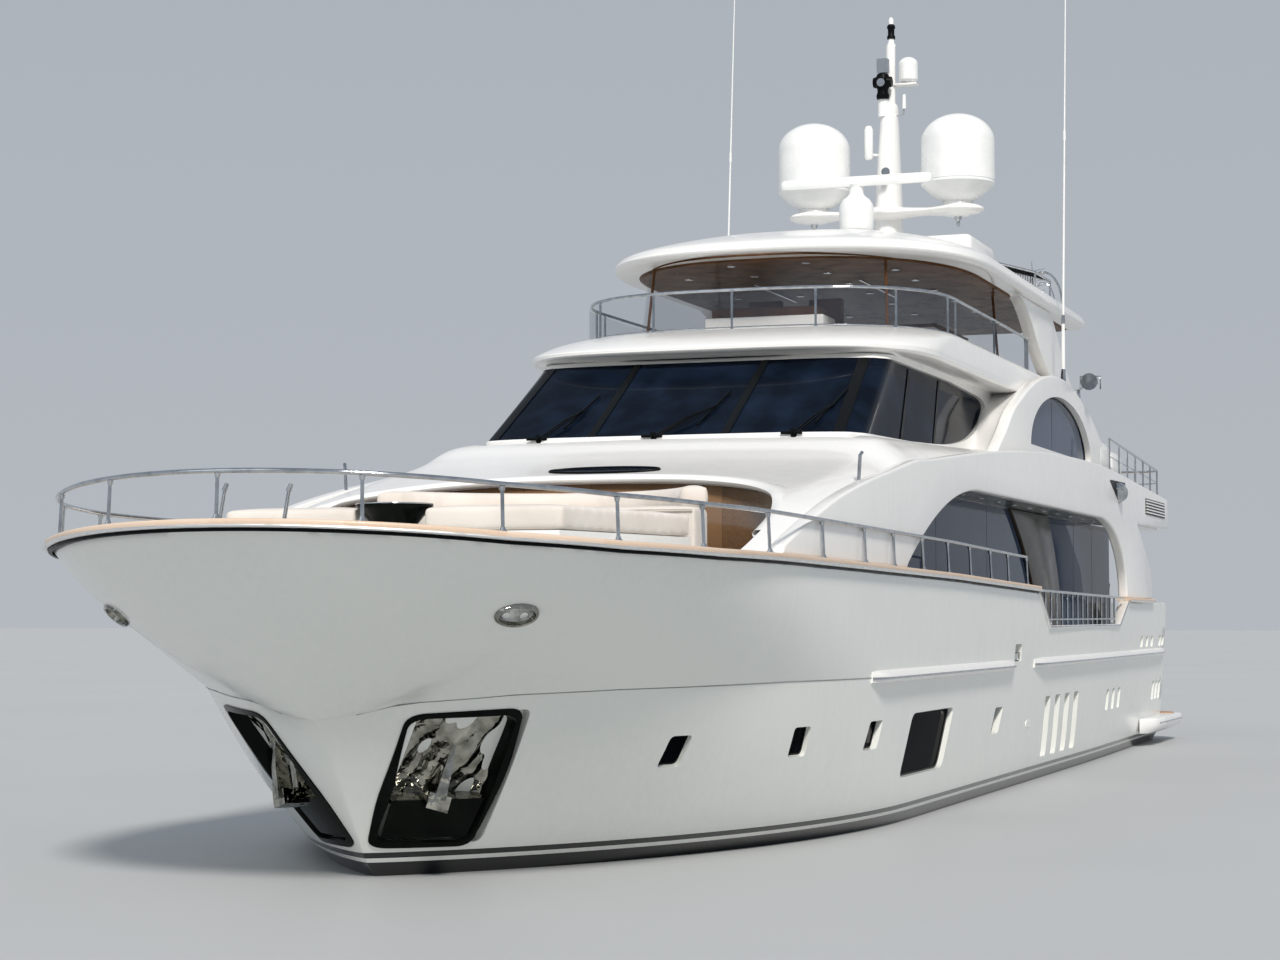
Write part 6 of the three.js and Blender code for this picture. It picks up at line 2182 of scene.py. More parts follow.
@dataclass
class Wings:
    """Upper side arches with a half round window, and the searchlight on its bracket."""

    inner: float = 3.045
    outer: float = 3.24
    # centre x, sill z, half length, rise
    window: tuple[float, float, float, float] = (-6.01, 5.43, 2.84, 0.98)
    shape: tuple[Row, ...] = ((-0.44, 5.0), (-0.6, 5.2), (-1.17, 5.5), (-1.8, 5.88), (-2.49, 6.14), (-3.12, 6.35),
        (-3.89, 6.55), (-4.65, 6.68), (-5.42, 6.75), (-6.3, 6.76), (-7.2, 6.68), (-8.16, 6.49), (-8.89, 6.32),
        (-9.58, 6.09), (-11.7, 5.3))

    def build(self) -> None:
        """Builds both wings with window reveal and glass."""
        cx, cz, half, rise = self.window
        outline = [(-0.43, UPPER_DECK), *refine(self.shape, 5), (-12.3, UPPER_DECK)]
        for side in Side:
            s = side.value
            bm = bmesh.new()
            plate(bm, outline, self.inner, self.outer)
            soften(bm, 0.04, 4)
            mesh = mesh_of(bm)
            window = bmesh.new()
            plate(window, arc(cx, cz, half, rise, 0, 180, 48), self.inner - 0.1, self.outer + 0.1)
            mesh = carve(mesh, window)
            bm = bmesh.new()
            merge_into(bm, mesh)
            bmesh.ops.scale(bm, vec=(1, s, 1), verts=bm.verts)
            face_out(bm)
            piece(f"wing_moulding_{side.label}", bm, WHITE, replaces=(f"wing_{side.label}",), angle=40)
            pane = bmesh.new()
            y0, y1 = sorted((s * (self.inner + 0.05), s * (self.inner + 0.075)))
            plate(pane, arc(cx, cz + 0.001, half - 0.001, rise - 0.002, 0, 180, 48), y0, y1)
            piece(f"wing_pane_{side.label}", pane, SIDE_GLASS, replaces=(f"wing_glass_{side.label}",))
            seal = bmesh.new()
            edge = [(x, s * (self.inner + 0.08), z) for x, z in arc(cx, cz + 0.012, half - 0.03, rise - 0.03, 0, 180,
                40)]
            tube(seal, [*edge, edge[0]], 0.014, 6)
            tube(seal, [(cx + 0.4, s * (self.inner + 0.07), cz + 0.01), (cx + 0.4, s * (self.inner + 0.07), cz + 0.89)],
                0.008, 6)
            piece(f"wing_seal_{side.label}", seal, BLACK_SATIN)
            self.build_searchlight(s, side.label)
            self.build_web(s, side.label)

    def build_web(self, s: int, label: str) -> None:
        """Moulded web that closes the space between the house's side and the wing's leading edge.

        Args:
            s: Sign of y on the side.
            label: Name of the side.
        """
        house = House()
        edge = [(z, x) for x, z in self.shape[:7]]
        heights = [4.602 + (6.44 - 4.602) * k / 24 for k in range(25)]

        def place(i: int, j: int) -> Vector:
            """Corner of the web: i from house to wing, j from the deck up.

            Args:
                i: Column.
                j: Row.

            Returns:
                The place.
            """
            z, u = heights[j], i / 12
            lead = -0.43 if z < 5.0 else along(list(reversed(edge)), z)
            foot = house.side_at(lead - 0.3, min(z, 6.25), -0.02).y
            y = foot + (self.inner + 0.03 - foot) * smooth(u)
            return Vector((lead - 0.3 + 0.25 * u * u, s * y, z))

        bm = bmesh.new()
        grid(bm, 12, 24, place)
        thicken(piece(f"wing_web_{label}", bm, WHITE, angle=60), 0.02)
        lockers = bmesh.new()
        for x0, x1, top in ((-9.7, -11.0, 5.97), (-11.05, -12.5, 5.86)):
            block(lockers, (x1, min(s * 2.55, s * 3.25), UPPER_DECK), (x0, max(s * 2.55, s * 3.25), top))
        soften(lockers, 0.22, 5)
        piece(f"deck_lockers_{label}", lockers, WHITE, angle=50)

    def build_searchlight(self, s: int, label: str) -> None:
        """Polished searchlight on a bracket from the wing's top.

        Args:
            s: Sign of y on the side.
            label: Name of the side.
        """
        bm = bmesh.new()
        x, y, z = -8.05, s * 3.14, 6.86
        drum(bm, (x, y, 6.58), (x, y, 6.74), 0.06, 0.05)
        tube(bm, [(x, y, 6.7), (x, y + s * 0.1, 6.8), (x, y + s * 0.22, z)], 0.025)
        tube(bm, [(x, y + s * 0.05, z - 0.12), (x - 0.02, y + s * 0.05, z + 0.12), (x, y + s * 0.42, z + 0.12),
            (x, y + s * 0.42, z - 0.12)], 0.016)
        drum(bm, (x - 0.2, y + s * 0.24, z), (x + 0.12, y + s * 0.24, z + 0.01), 0.1, 0.15, 28)
        drum(bm, (x + 0.12, y + s * 0.24, z + 0.01), (x + 0.15, y + s * 0.24, z + 0.01), 0.155, 0.155, 28)
        face_out(bm)
        piece(f"searchlight_{label}", bm, STEEL)


# Sundeck


def deck_outline(front: float, beam: float, aft: float, run: float = 3.4, q: float = 2.5) -> Points:
    """Port half of a deck's outline, round in front.

    Args:
        front: x of its front.
        beam: Half breadth.
        aft: x of its aft end.
        run: Length of the rounded front.
        q: Fullness of the rounded front.

    Returns:
        (x, y) points from the aft centre to the front centre.
    """
    count = 44
    corner = min(0.18, beam * 0.2)
    port = [(aft, 0.0)]
    port += [(aft + corner * (1 - sin(a)), beam * 0.985 - corner * (1 - cos(a)))
        for a in reversed(angles(5, pi / 2, True))]
    port += [((aft + front - run) / 2, beam * 0.995)]
    for i in range(count):
        x = front - run * (1 - i / count) ** 2.2
        port.append((x, beam * fullness(front - x, run, 2.3, q)))
    return [*port, (front, 0.0)]


def stacked(levels: Sequence[Row], steps: int) -> Mesh:
    """A decked body through outlines.

    Args:
        levels: Height, front, half breadth, aft end, length and fullness of the rounded front, from below.
        steps: How many levels each gap becomes.

    Returns:
        The solid.
    """
    rings = [[(x, y, z) for x, y in deck_outline(*rest)] for z, *rest in refine(levels, steps)]
    return mesh_of(lofted(rings, False))


@dataclass
class Sundeck:
    """Sundeck: brow over the windscreen, coaming, sunken teak floor, rail with tinted glass, curved screen."""

    half: float = 3.044
    aft: float = -9.2
    floor: float = 6.4
    coaming: float = 6.8
    # front x, half breadth, aft end x, height
    rail: tuple[float, float, float, float] = (2.72, 2.83, -5.2, 7.39)

    def levels(self) -> list[Row]:
        """Brow and coaming outlines.

        Returns:
            The rows that stacked takes.
        """
        rows = ((6.26, 4.05, 0.14, 1.9, 4), (6.282, 4.24, 0.05, 1.95, 4), (6.31, 4.37, 0.0, 2.0, 4),
            (6.36, 4.4, 0.0, 2.0, 4), (6.42, 4.33, 0.0, 2.0, 4), (6.6, 3.8, 0.04, 2.1, 3.5), (6.74, 3.2, 0.09, 2.2, 3),
            (6.78, 2.96, 0.115, 2.2, 3), (6.8, 2.85, 0.13, 2.2, 3))
        return [(z, front, self.half - less, self.aft, run, q) for z, front, less, run, q in rows]

    def build(self) -> None:
        """Builds the deck, its dark strip under the brow, rail, glass and furniture."""
        body = stacked(self.levels(), 3)
        well = stacked([(self.floor, 2.35, 2.6, self.aft - 0.05, 3.4, 2.5), (7.0, 2.5, 2.66, self.aft - 0.05, 3.4,
            2.5)], 1)
        mesh = carve(body, well)
        paint_faces(mesh, 1, lambda c, n: n.z > 0.9 and abs(c.z - self.floor) < 0.01)
        piece("sundeck_moulding", mesh, [WHITE, DECK_TEAK], replaces=("sundeck",), angle=28)
        # black strip along the underside of the brow's lip
        seal = stacked([(6.235, 4.0, 2.56, 1.0, 2.6, 3.4), (6.259, 4.06, 2.58, 1.0, 2.2, 4)], 1)
        piece("brow_dark_strip", seal, BLACK_SATIN)
        self.build_rail()
        self.build_screen()
        self.build_helm()

    def rail_path(self, z: float, outset: float = 0.0) -> list[Vector]:
        """The rail's line at a height, from port aft round the front to starboard aft.

        Args:
            z: Height.
            outset: How far outwards.

        Returns:
            The places.
        """
        front, beam, aft, _ = self.rail
        port = [p for p in deck_outline(front + outset, beam + outset, aft, 2.2, 3) if p[1] > 0.001][5:]
        port = [(aft, port[0][1]), *(p for p in port if p[0] > aft + 0.1)]
        path = [Vector((x, y, z)) for x, y in port]
        return both_ways(path, Vector((front + outset, 0, z)))

    def build_rail(self) -> None:
        """Bent rail on stanchions, with tinted panes outside them."""
        top = self.rail[3]
        path = self.rail_path(top)
        bm = bmesh.new()
        tube(bm, path, 0.024, 12)
        low = self.rail_path(self.coaming + 0.0004)
        length = [0.0]
        for a, b in zip(path, path[1:]):
            length.append(length[-1] + (b - a).length)
        stops = 17
        for k in range(stops):
            aim = length[-1] * k / (stops - 1)
            n = min(range(len(length)), key=lambda i: abs(length[i] - aim))
            drum(bm, low[n], path[n], 0.018, sides=12)
            drum(bm, low[n], low[n] + UP * 0.012, 0.045, 0.04, 18)
            drum(bm, path[n] - UP * 0.05, path[n] - UP * 0.015, 0.02, 0.028, 12)
        foot = self.rail_path(self.coaming + 0.035)
        tube(bm, foot, 0.012, 8)
        piece("sundeck_rail_tubes", bm, STEEL, replaces=("sundeck_rail",))
        panes = bmesh.new()
        low, high = self.rail_path(self.coaming + 0.03, 0.03), self.rail_path(top - 0.035, 0.03)
        grid(panes, len(low) - 1, 3, lambda i, j: low[i].lerp(high[i], j / 3))
        thicken(piece("sundeck_rail_panes", panes, RAIL_GLASS), 0.008)

    def build_screen(self) -> None:
        """Curved tinted screen from the floor to the hardtop, with slim dark posts."""
        def wall(z: float, less: float = 0.0) -> list[Vector]:
            """Outline of the screen at a height.

            Args:
                z: Height.
                less: How far inwards.

            Returns:
                The places.
            """
            lean = 0.26 * (z - self.floor) / 1.66
            port = deck_outline(2.05 - less - lean, 2.56 - less - lean / 2, -4.15)
            port = [Vector((x, y, z)) for x, y in port if y > 0.001][6:]
            port = [Vector((-4.1, port[0].y, z)), *(p for p in port if p.x > -4.0)]
            return both_ways(port, Vector((2.05 - less - lean, 0, z)))

        heights = [6.402, 6.8, 7.2, 7.6, 8.0, 8.045]
        rings = [wall(z) for z in heights]
        bm = bmesh.new()
        grid(bm, len(rings[0]) - 1, len(rings) - 1, lambda i, j: rings[j][i])
        thicken(piece("sundeck_screen", bm, SCREEN_GLASS, replaces=("sundeck_windscreen",), angle=60), 0.02)
        posts = bmesh.new()
        last = len(rings[0]) - 1
        for n in (0, last // 2 - 24, last // 2 + 24, last):
            tube(posts, [ring[n] for ring in rings], 0.022, 8)
        tube(posts, wall(8.03), 0.016, 8)
        piece("screen_posts", posts, BROWN_GLOSS)

    def build_helm(self) -> None:
        """Helm console, seats and bar inside the screen."""
        white, dark = bmesh.new(), bmesh.new()
        block(white, (0.3, -1.0, 6.401), (1.0, 0.9, 7.2))
        block(white, (-3.4, 1.4, 6.401), (-1.2, 2.1, 7.2))
        block(dark, (-3.45, 1.35, 7.2), (-1.15, 2.15, 7.24))
        block(dark, (0.35, -0.9, 7.2), (0.95, 0.8, 7.34))
        for y in (-0.55, 0.45):
            block(dark, (-0.75, y - 0.27, 6.85), (-0.2, y + 0.27, 7.0))
            block(dark, (-0.85, y - 0.27, 7.0), (-0.7, y + 0.27, 7.65))
            drum(white, (-0.45, y, 6.401), (-0.45, y, 6.85), 0.06)
        block(white, (-7.6, -2.2, 6.401), (-5.0, -1.4, 6.85))
        soften(white, 0.03)
        soften(dark, 0.03)
        piece("helm_console", white, WHITE)
        piece("helm_seats", dark, BROWN_GLOSS)


@dataclass
class Hardtop:
    """Hardtop on two raked legs: white shell, glossy brown liner with lamps, locker, mesh hatch and hoop."""

    aft: float = -10.0
    rows: tuple[Row, ...] = (
        # z, front, half breadth, how much shorter the aft end is
        (8.03, 1.4, 2.7, 0.3), (8.036, 1.62, 2.88, 0.14), (8.06, 1.79, 2.99, 0.04), (8.13, 1.85, 3.03, 0.0),
        (8.2, 1.77, 3.005, 0.02), (8.29, 1.6, 2.95, 0.06), (8.45, 1.0, 2.7, 0.26), (8.64, 0.1, 2.25, 0.8),
        (8.78, -0.9, 1.65, 1.5), (8.85, -1.9, 1.0, 2.3),
    )

    def build(self) -> None:
        """Builds shell, liner, locker, legs and fittings."""
        levels = [(z, front, half, self.aft + shorter, 3.2, 2.6) for z, front, half, shorter in self.rows]
        mesh = stacked(levels, 3)
        locker = bmesh.new()
        outline = [(-5.0, 8.3), (-3.1, 8.3), (-3.05, 8.9), (-3.2, 8.96), (-4.85, 8.96), (-5.0, 8.9)]
        plate(locker, outline, 0.6, 2.28)
        soften(locker, 0.1, 4)
        mesh = carve(mesh, locker, Cut.PLUS)
        piece("hardtop_moulding", mesh, WHITE, replaces=("hardtop",), angle=30)
        liner = stacked([(8.004, 1.38, 2.68, self.aft + 0.35, 3.2, 2.6), (8.0296, 1.43, 2.73, self.aft + 0.3, 3.2,
            2.6)], 1)
        piece("hardtop_liner", liner, BROWN_GLOSS, angle=20)
        lamps, coves = bmesh.new(), bmesh.new()
        for x in (0.9, -0.3, -1.6, -2.9, -4.4, -6.0, -7.6):
            for y in (-1.7, -0.6, 0.6, 1.7):
                if x < 0.5 or abs(y) < 1:
                    drum(lamps, (x, y, 7.994), (x, y, 8.005), 0.06, 0.066)
        block(coves, (-3.6, -0.9, 7.99), (-1.2, -0.86, 8.005))
        block(coves, (-3.6, 0.86, 7.99), (-1.2, 0.9, 8.005))
        piece("hardtop_lamps", lamps, STEEL)
        piece("hardtop_cove_strips", coves, STEEL)
        self.build_legs()
        self.build_hatch()

    def build_legs(self) -> None:
        """Raked legs with a rounded leading edge and a flare into hardtop and coaming."""
        foot = 6.8004
        front = refine([(-7.2, 0.0), (-6.62, 0.16), (-5.75, 0.55), (-5.0, 0.98), (-4.35, 1.2), (-3.7, 1.229)], 6)
        back = refine([(-6.9, 1.229), (-7.2, 1.1), (-7.75, 0.75), (-8.4, 0.35), (-9.15, 0.0)], 6)
        outline = [(x, foot + rise) for x, rise in (*front, *back)]
        for side in Side:
            s = side.value
            bm = bmesh.new()
            y0, y1 = sorted((s * 2.66, s * 2.87))
            plate(bm, outline, y0, y1)
            soften(bm, 0.05, 4)
            piece(f"hardtop_strut_{side.label}", bm, WHITE, replaces=(f"hardtop_leg_{side.label}",), angle=40)

    def build_hatch(self) -> None:
        """Raised mesh hatch in a steel frame, and the polished hoop aft of it."""
        bars, mesh = bmesh.new(), bmesh.new()
        low, high = Vector((-6.4, 1.75, 8.72)), Vector((-6.4, 2.7, 8.44))
        corners = [low, high, high + Vector((-1.4, 0, 0.02)), low + Vector((-1.4, 0, 0.02))]
        lifted = [c + UP * 0.27 for c in corners]
        for k in range(4):
            tube(bars, [lifted[k], lifted[(k + 1) % 4]], 0.022, 8)
            tube(bars, [corners[k] - UP * 0.1, lifted[k]], 0.018, 8)
        for k in range(1, 22):
            t = k / 22
            tube(mesh, [lifted[0].lerp(lifted[1], t), lifted[3].lerp(lifted[2], t)], 0.006, 4)
            tube(mesh, [lifted[0].lerp(lifted[3], t), lifted[1].lerp(lifted[2], t)], 0.006, 4)
            tube(mesh, [lifted[0].lerp(lifted[1], t), corners[0].lerp(corners[1], t)], 0.006, 4)
        hoop = bmesh.new()
        ring = [(-8.4, 2.45 + 0.36 * cos(a), 8.36 + 0.62 * sin(a)) for a in angles(20, pi, True)]
        tube(hoop, ring, 0.024, 10)
        inner = [(-8.4, 2.45 + 0.22 * cos(a), 8.36 + 0.42 * sin(a)) for a in angles(16, pi, True)]
        tube(hoop, inner, 0.016, 8)
        drum(hoop, (-8.4, 2.3, 8.3), (-8.4, 2.25, 9.2), 0.012, 0.006)
        for k in range(5):
            z = 8.6 + 0.1 * k
            drum(hoop, (-8.4, 2.22, z), (-8.4, 2.5, z + 0.05), 0.006, 0.004, 6)
        piece("hatch_frame", bars, STEEL)
        piece("hatch_mesh", mesh, BLACK_SATIN)
        piece("hardtop_hoop", hoop, STEEL)


# Mast


@dataclass
class Mast:
    """Mast with its dome arms, domes, camera, lights, radar and whip aerials."""

    x: float = -6.5
    dome_x: float = -6.31
    dome_y: float = 1.34
    dome_radius: float = 0.66
    seat: float = 10.03
    arm_z: float = 9.89

    def dome(self, r: float, base: float, rim: float, top: float) -> Points:
        """Profile of a radome from its foot up.

        Args:
            r: Radius.
            base: Height of the foot.
            rim: Height of the joint.
            top: Height of the crown.

        Returns:
            (radius, z) points.
        """
        crown = arc(0, top - r * 0.78, r, r * 0.78, 0, 90, 18)
        return [(0, base), (r * 0.4, base), (r * 0.44, base + 0.015), (r * 0.7, base + (rim - base) * 0.42),
            (r * 0.93, rim - r * 0.05), (r * 0.985, rim), (r * 1.0, rim + r * 0.02), (r * 1.0, rim + r * 0.05),
            (r * 0.985, rim + r * 0.06), (r * 0.985, rim + r * 0.08), (r, rim + r * 0.1), *crown[:-1], (0, top)]

    def oval_stack(self, rows: Sequence[Row], steps: int, sides: int) -> BMesh:
        """Upright body through (z, x, half length, half width) ovals."""
        return lofted([[(x + rx * cos(a), ry * sin(a), z) for a in angles(sides)] for z, x, rx,
            ry in refine(rows, steps)])

    def arm(self) -> BMesh:
        """Both dome arms as one wing with swollen pods.

        Returns:
            The mesh in the making.
        """
        half = [(1.8, 0.02, 0.06), (1.76, 0.045, 0.16), (1.64, 0.085, 0.3), (1.34, 0.115, 0.38), (1.0, 0.085, 0.28),
            (0.75, 0.07, 0.22), (0.4, 0.09, 0.26), (0.0, 0.14, 0.38)]
        rows = [(-y, t, c) for y, t, c in half] + [(y, t, c) for y, t, c in reversed(half[:-1])]
        return lofted([[(self.dome_x + c * cos(a), y, self.arm_z + t * sin(a)) for a in angles(24)] for y, t,
            c in refine(rows, 4)])

    def build(self) -> None:
        """Builds everything over the hardtop."""
        column = [(8.601, self.x, 0.66, 0.38), (8.8, self.x, 0.56, 0.33), (9.3, self.x - 0.05, 0.42, 0.27),
            (10.2, self.x - 0.08, 0.36, 0.235), (10.9, self.x - 0.1, 0.32, 0.205), (11.6, self.x - 0.14, 0.25, 0.17),
            (11.9, self.x - 0.15, 0.22, 0.155), (11.98, self.x - 0.15, 0.12, 0.1)]
        mesh = mesh_of(self.oval_stack(column, 5, 40))
        mesh = carve(mesh, self.arm(), Cut.PLUS)
        for s in (1, -1):
            seat = bmesh.new()
            drum(seat, (self.dome_x, s * self.dome_y, self.arm_z), (self.dome_x, s * self.dome_y, self.seat), 0.3, 0.26,
                36)
            mesh = carve(mesh, seat, Cut.PLUS)
        top = bmesh.new()
        x = self.x - 0.27
        drum(top, (self.x - 0.17, 0, 11.1), (x, 0, 13.05), 0.1, 0.085, 28)
        mesh = carve(mesh, top, Cut.PLUS)
        shelf = bmesh.new()
        block(shelf, (self.x - 0.38, -0.02, 12.3), (self.x - 0.14, 0.5, 12.34))
        soften(shelf, 0.012)
        mesh = carve(mesh, shelf, Cut.PLUS)
        piece("mast_moulding", mesh, WHITE, replaces=("mast",), angle=38)
        self.build_domes()
        self.build_fittings()
        self.build_radar()
        self.build_aerials()

    def build_domes(self) -> None:
        """Two large radomes and a small one."""
        for side in Side:
            bm = bmesh.new()
            profile = self.dome(self.dome_radius, self.seat + 0.0004, 10.33, 11.62)
            turned(bm, profile, (self.dome_x, side.value * self.dome_y), 64)
            piece(f"radome_{side.label}", bm, RADOME, replaces=(f"dome_{side.label}",), angle=35)
        bm = bmesh.new()
        turned(bm, self.dome(0.175, 12.3404, 12.4, 12.83), (self.x - 0.26, 0.33), 40)
        piece("radome_small", bm, RADOME, replaces=("dome_small",), angle=35)

    def build_fittings(self) -> None:
        """Camera, navigation lights, drip lights under the arms, horn and small antennas."""
        black, steel, white = bmesh.new(), bmesh.new(), bmesh.new()
        x, y = self.x + 0.02, -0.07
        drum(white, (x, y, 11.7), (x, y, 12.03), 0.1, 0.1, 24)
        cylinder = [(0, 10.9), (0.06, 10.91), (0.08, 10.95), (0.08, 11.46), (0.05, 11.53), (0, 11.54)]
        turned(white, cylinder, (self.x + 0.1, -0.33), 28)
        drum(white, (self.x + 0.1, -0.33, 11.0), (self.x - 0.05, -0.1, 11.0), 0.03)
        block(steel, (x - 0.06, y - 0.1, 12.5), (x + 0.1, y + 0.1, 12.76))
        turned(black, [(0, 12.0), (0.11, 12.02), (0.12, 12.08), (0.1, 12.14), (0.1, 12.2), (0.135, 12.26),
            (0.135, 12.4), (0.1, 12.48), (0, 12.5)], (x + 0.04, y), 28)
        for k in (-1, 1):
            drum(black, (x + 0.04, y + 0.1 * k, 12.33), (x + 0.04, y + 0.17 * k, 12.33), 0.11, 0.09, 24)
        drum(steel, (x + 0.1, y, 12.3), (x + 0.2, y, 12.3), 0.07, 0.075, 24)
        tip = self.x - 0.3
        turned(white, [(0, 13.04), (0.085, 13.05), (0.085, 13.09), (0.06, 13.12), (0.055, 13.2), (0, 13.2)], (tip, 0),
            24)
        turned(black, [(0, 13.19), (0.075, 13.2), (0.075, 13.25), (0.06, 13.27), (0.06, 13.38), (0.075, 13.4),
            (0.075, 13.44), (0.05, 13.47), (0, 13.47)], (tip, 0), 24)
        turned(white, [(0, 13.46), (0.045, 13.47), (0.045, 13.56), (0.02, 13.6), (0, 13.6)], (tip, 0), 20)
        drum(white, (tip, 0.03, 13.45), (tip, 0.03, 13.57), 0.01, 0.006)
        for s in (1, -1):
            turned(steel, [(0, 9.58), (0.02, 9.585), (0.035, 9.62), (0.03, 9.68), (0.06, 9.72), (0.07, 9.79), (0, 9.8)],
                (self.dome_x, s * self.dome_y), 20)
            turned(white, [(0, 9.76), (0.1, 9.765), (0.24, 9.79), (0.27, 9.82), (0, 9.83)],
                (self.dome_x, s * self.dome_y), 40)
        bracket = [(self.x - 0.12, 0.05, 11.72), (self.x - 0.05, 0.28, 11.74), (self.x - 0.05, 0.3, 11.86)]
        tube(steel, bracket, 0.018)
        drum(white, (self.x - 0.05, 0.3, 11.84), (self.x - 0.05, 0.3, 12.1), 0.035, 0.03)
        for k, (dz, r) in enumerate(((10.6, 0.05), (10.45, 0.04))):
            drum(steel, (self.x + 0.2, 0.09 * (1 - 2 * k), dz), (self.x + 0.52, 0.09 * (1 - 2 * k), dz), 0.02, r + 0.03,
                20)
        for bm in (black, steel, white):
            face_out(bm)
        piece("mast_camera", black, BLACK_SATIN, angle=40)
        piece("mast_lamps", steel, STEEL, angle=40)
        piece("mast_posts", white, RADOME, angle=40)

    def build_radar(self) -> None:
        """Radar pedestal with its turning bar."""
        bm = bmesh.new()
        profile = [(0, 8.62), (0.3, 8.621), (0.26, 8.7), (0.21, 8.95), (0.2, 9.22), (0.23, 9.27), (0.285, 9.3),
            (0.3, 9.36), (0.3, 9.68), (0.285, 9.74), (0.23, 9.83), (0.16, 9.88), (0.125, 9.93), (0.12, 10.0298),
            (0, 10.0298)]
        turned(bm, profile, (-4.3, 0), 48)
        piece("radar_pedestal_moulding", bm, RADOME, replaces=("radar_pedestal",), angle=40)
        rows = [(-1.35, 0.55), (-1.33, 0.8), (-1.28, 0.97), (-1.1, 1), (1.1, 1), (1.28, 0.97), (1.33, 0.8),
            (1.35, 0.55)]
        shape = [(-0.07, -0.06), (0.02, -0.085), (0.09, -0.088), (0.112, -0.04), (0.112, 0.03), (0.09, 0.075),
            (0.06, 0.093), (-0.02, 0.085), (-0.07, 0.065), (-0.08, 0.0)]
        rings = [[(-4.3 + dx * share, y, 10.14 + dz * share) for dx, dz in shape] for y, share in rows]
        bar = lofted(rings)
        drum(bar, (-4.3, 0, 10.0304), (-4.3, 0, 10.09), 0.11, 0.14, 32)
        piece("radar_bar", bar, RADOME, body="scanner", replaces=("radar_scanner",), angle=40)

    def build_aerials(self) -> None:
        """Raked whip aerials with steel ferrules on their feet."""
        for side in Side:
            y = side.value * 3.15
            bm, steel = bmesh.new(), bmesh.new()
            drum(bm, (-6.6, y, 6.74), (-6.64, y, 7.86), 0.034, 0.03, 16)
            tip = Vector((-7.22, y, 14.6))
            drum(bm, (-6.64, y, 7.85), tip, 0.022, 0.009, 12)
            joint = Vector((-6.64, y, 7.85)).lerp(tip, 0.5)
            drum(bm, joint - UP * 0.09, joint + UP * 0.09, 0.026, 0.026, 16)
            drum(steel, (-6.59, y, 6.74), (-6.6, y, 6.98), 0.05, 0.042, 20)
            drum(steel, (-6.636, y, 7.8), (-6.645, y, 7.95), 0.038, 0.03, 16)
            piece(f"whip_{side.label}", bm, WHIP, replaces=(f"aerial_{side.label}",), angle=40)
            piece(f"whip_ferrules_{side.label}", steel, STEEL)


# Stern


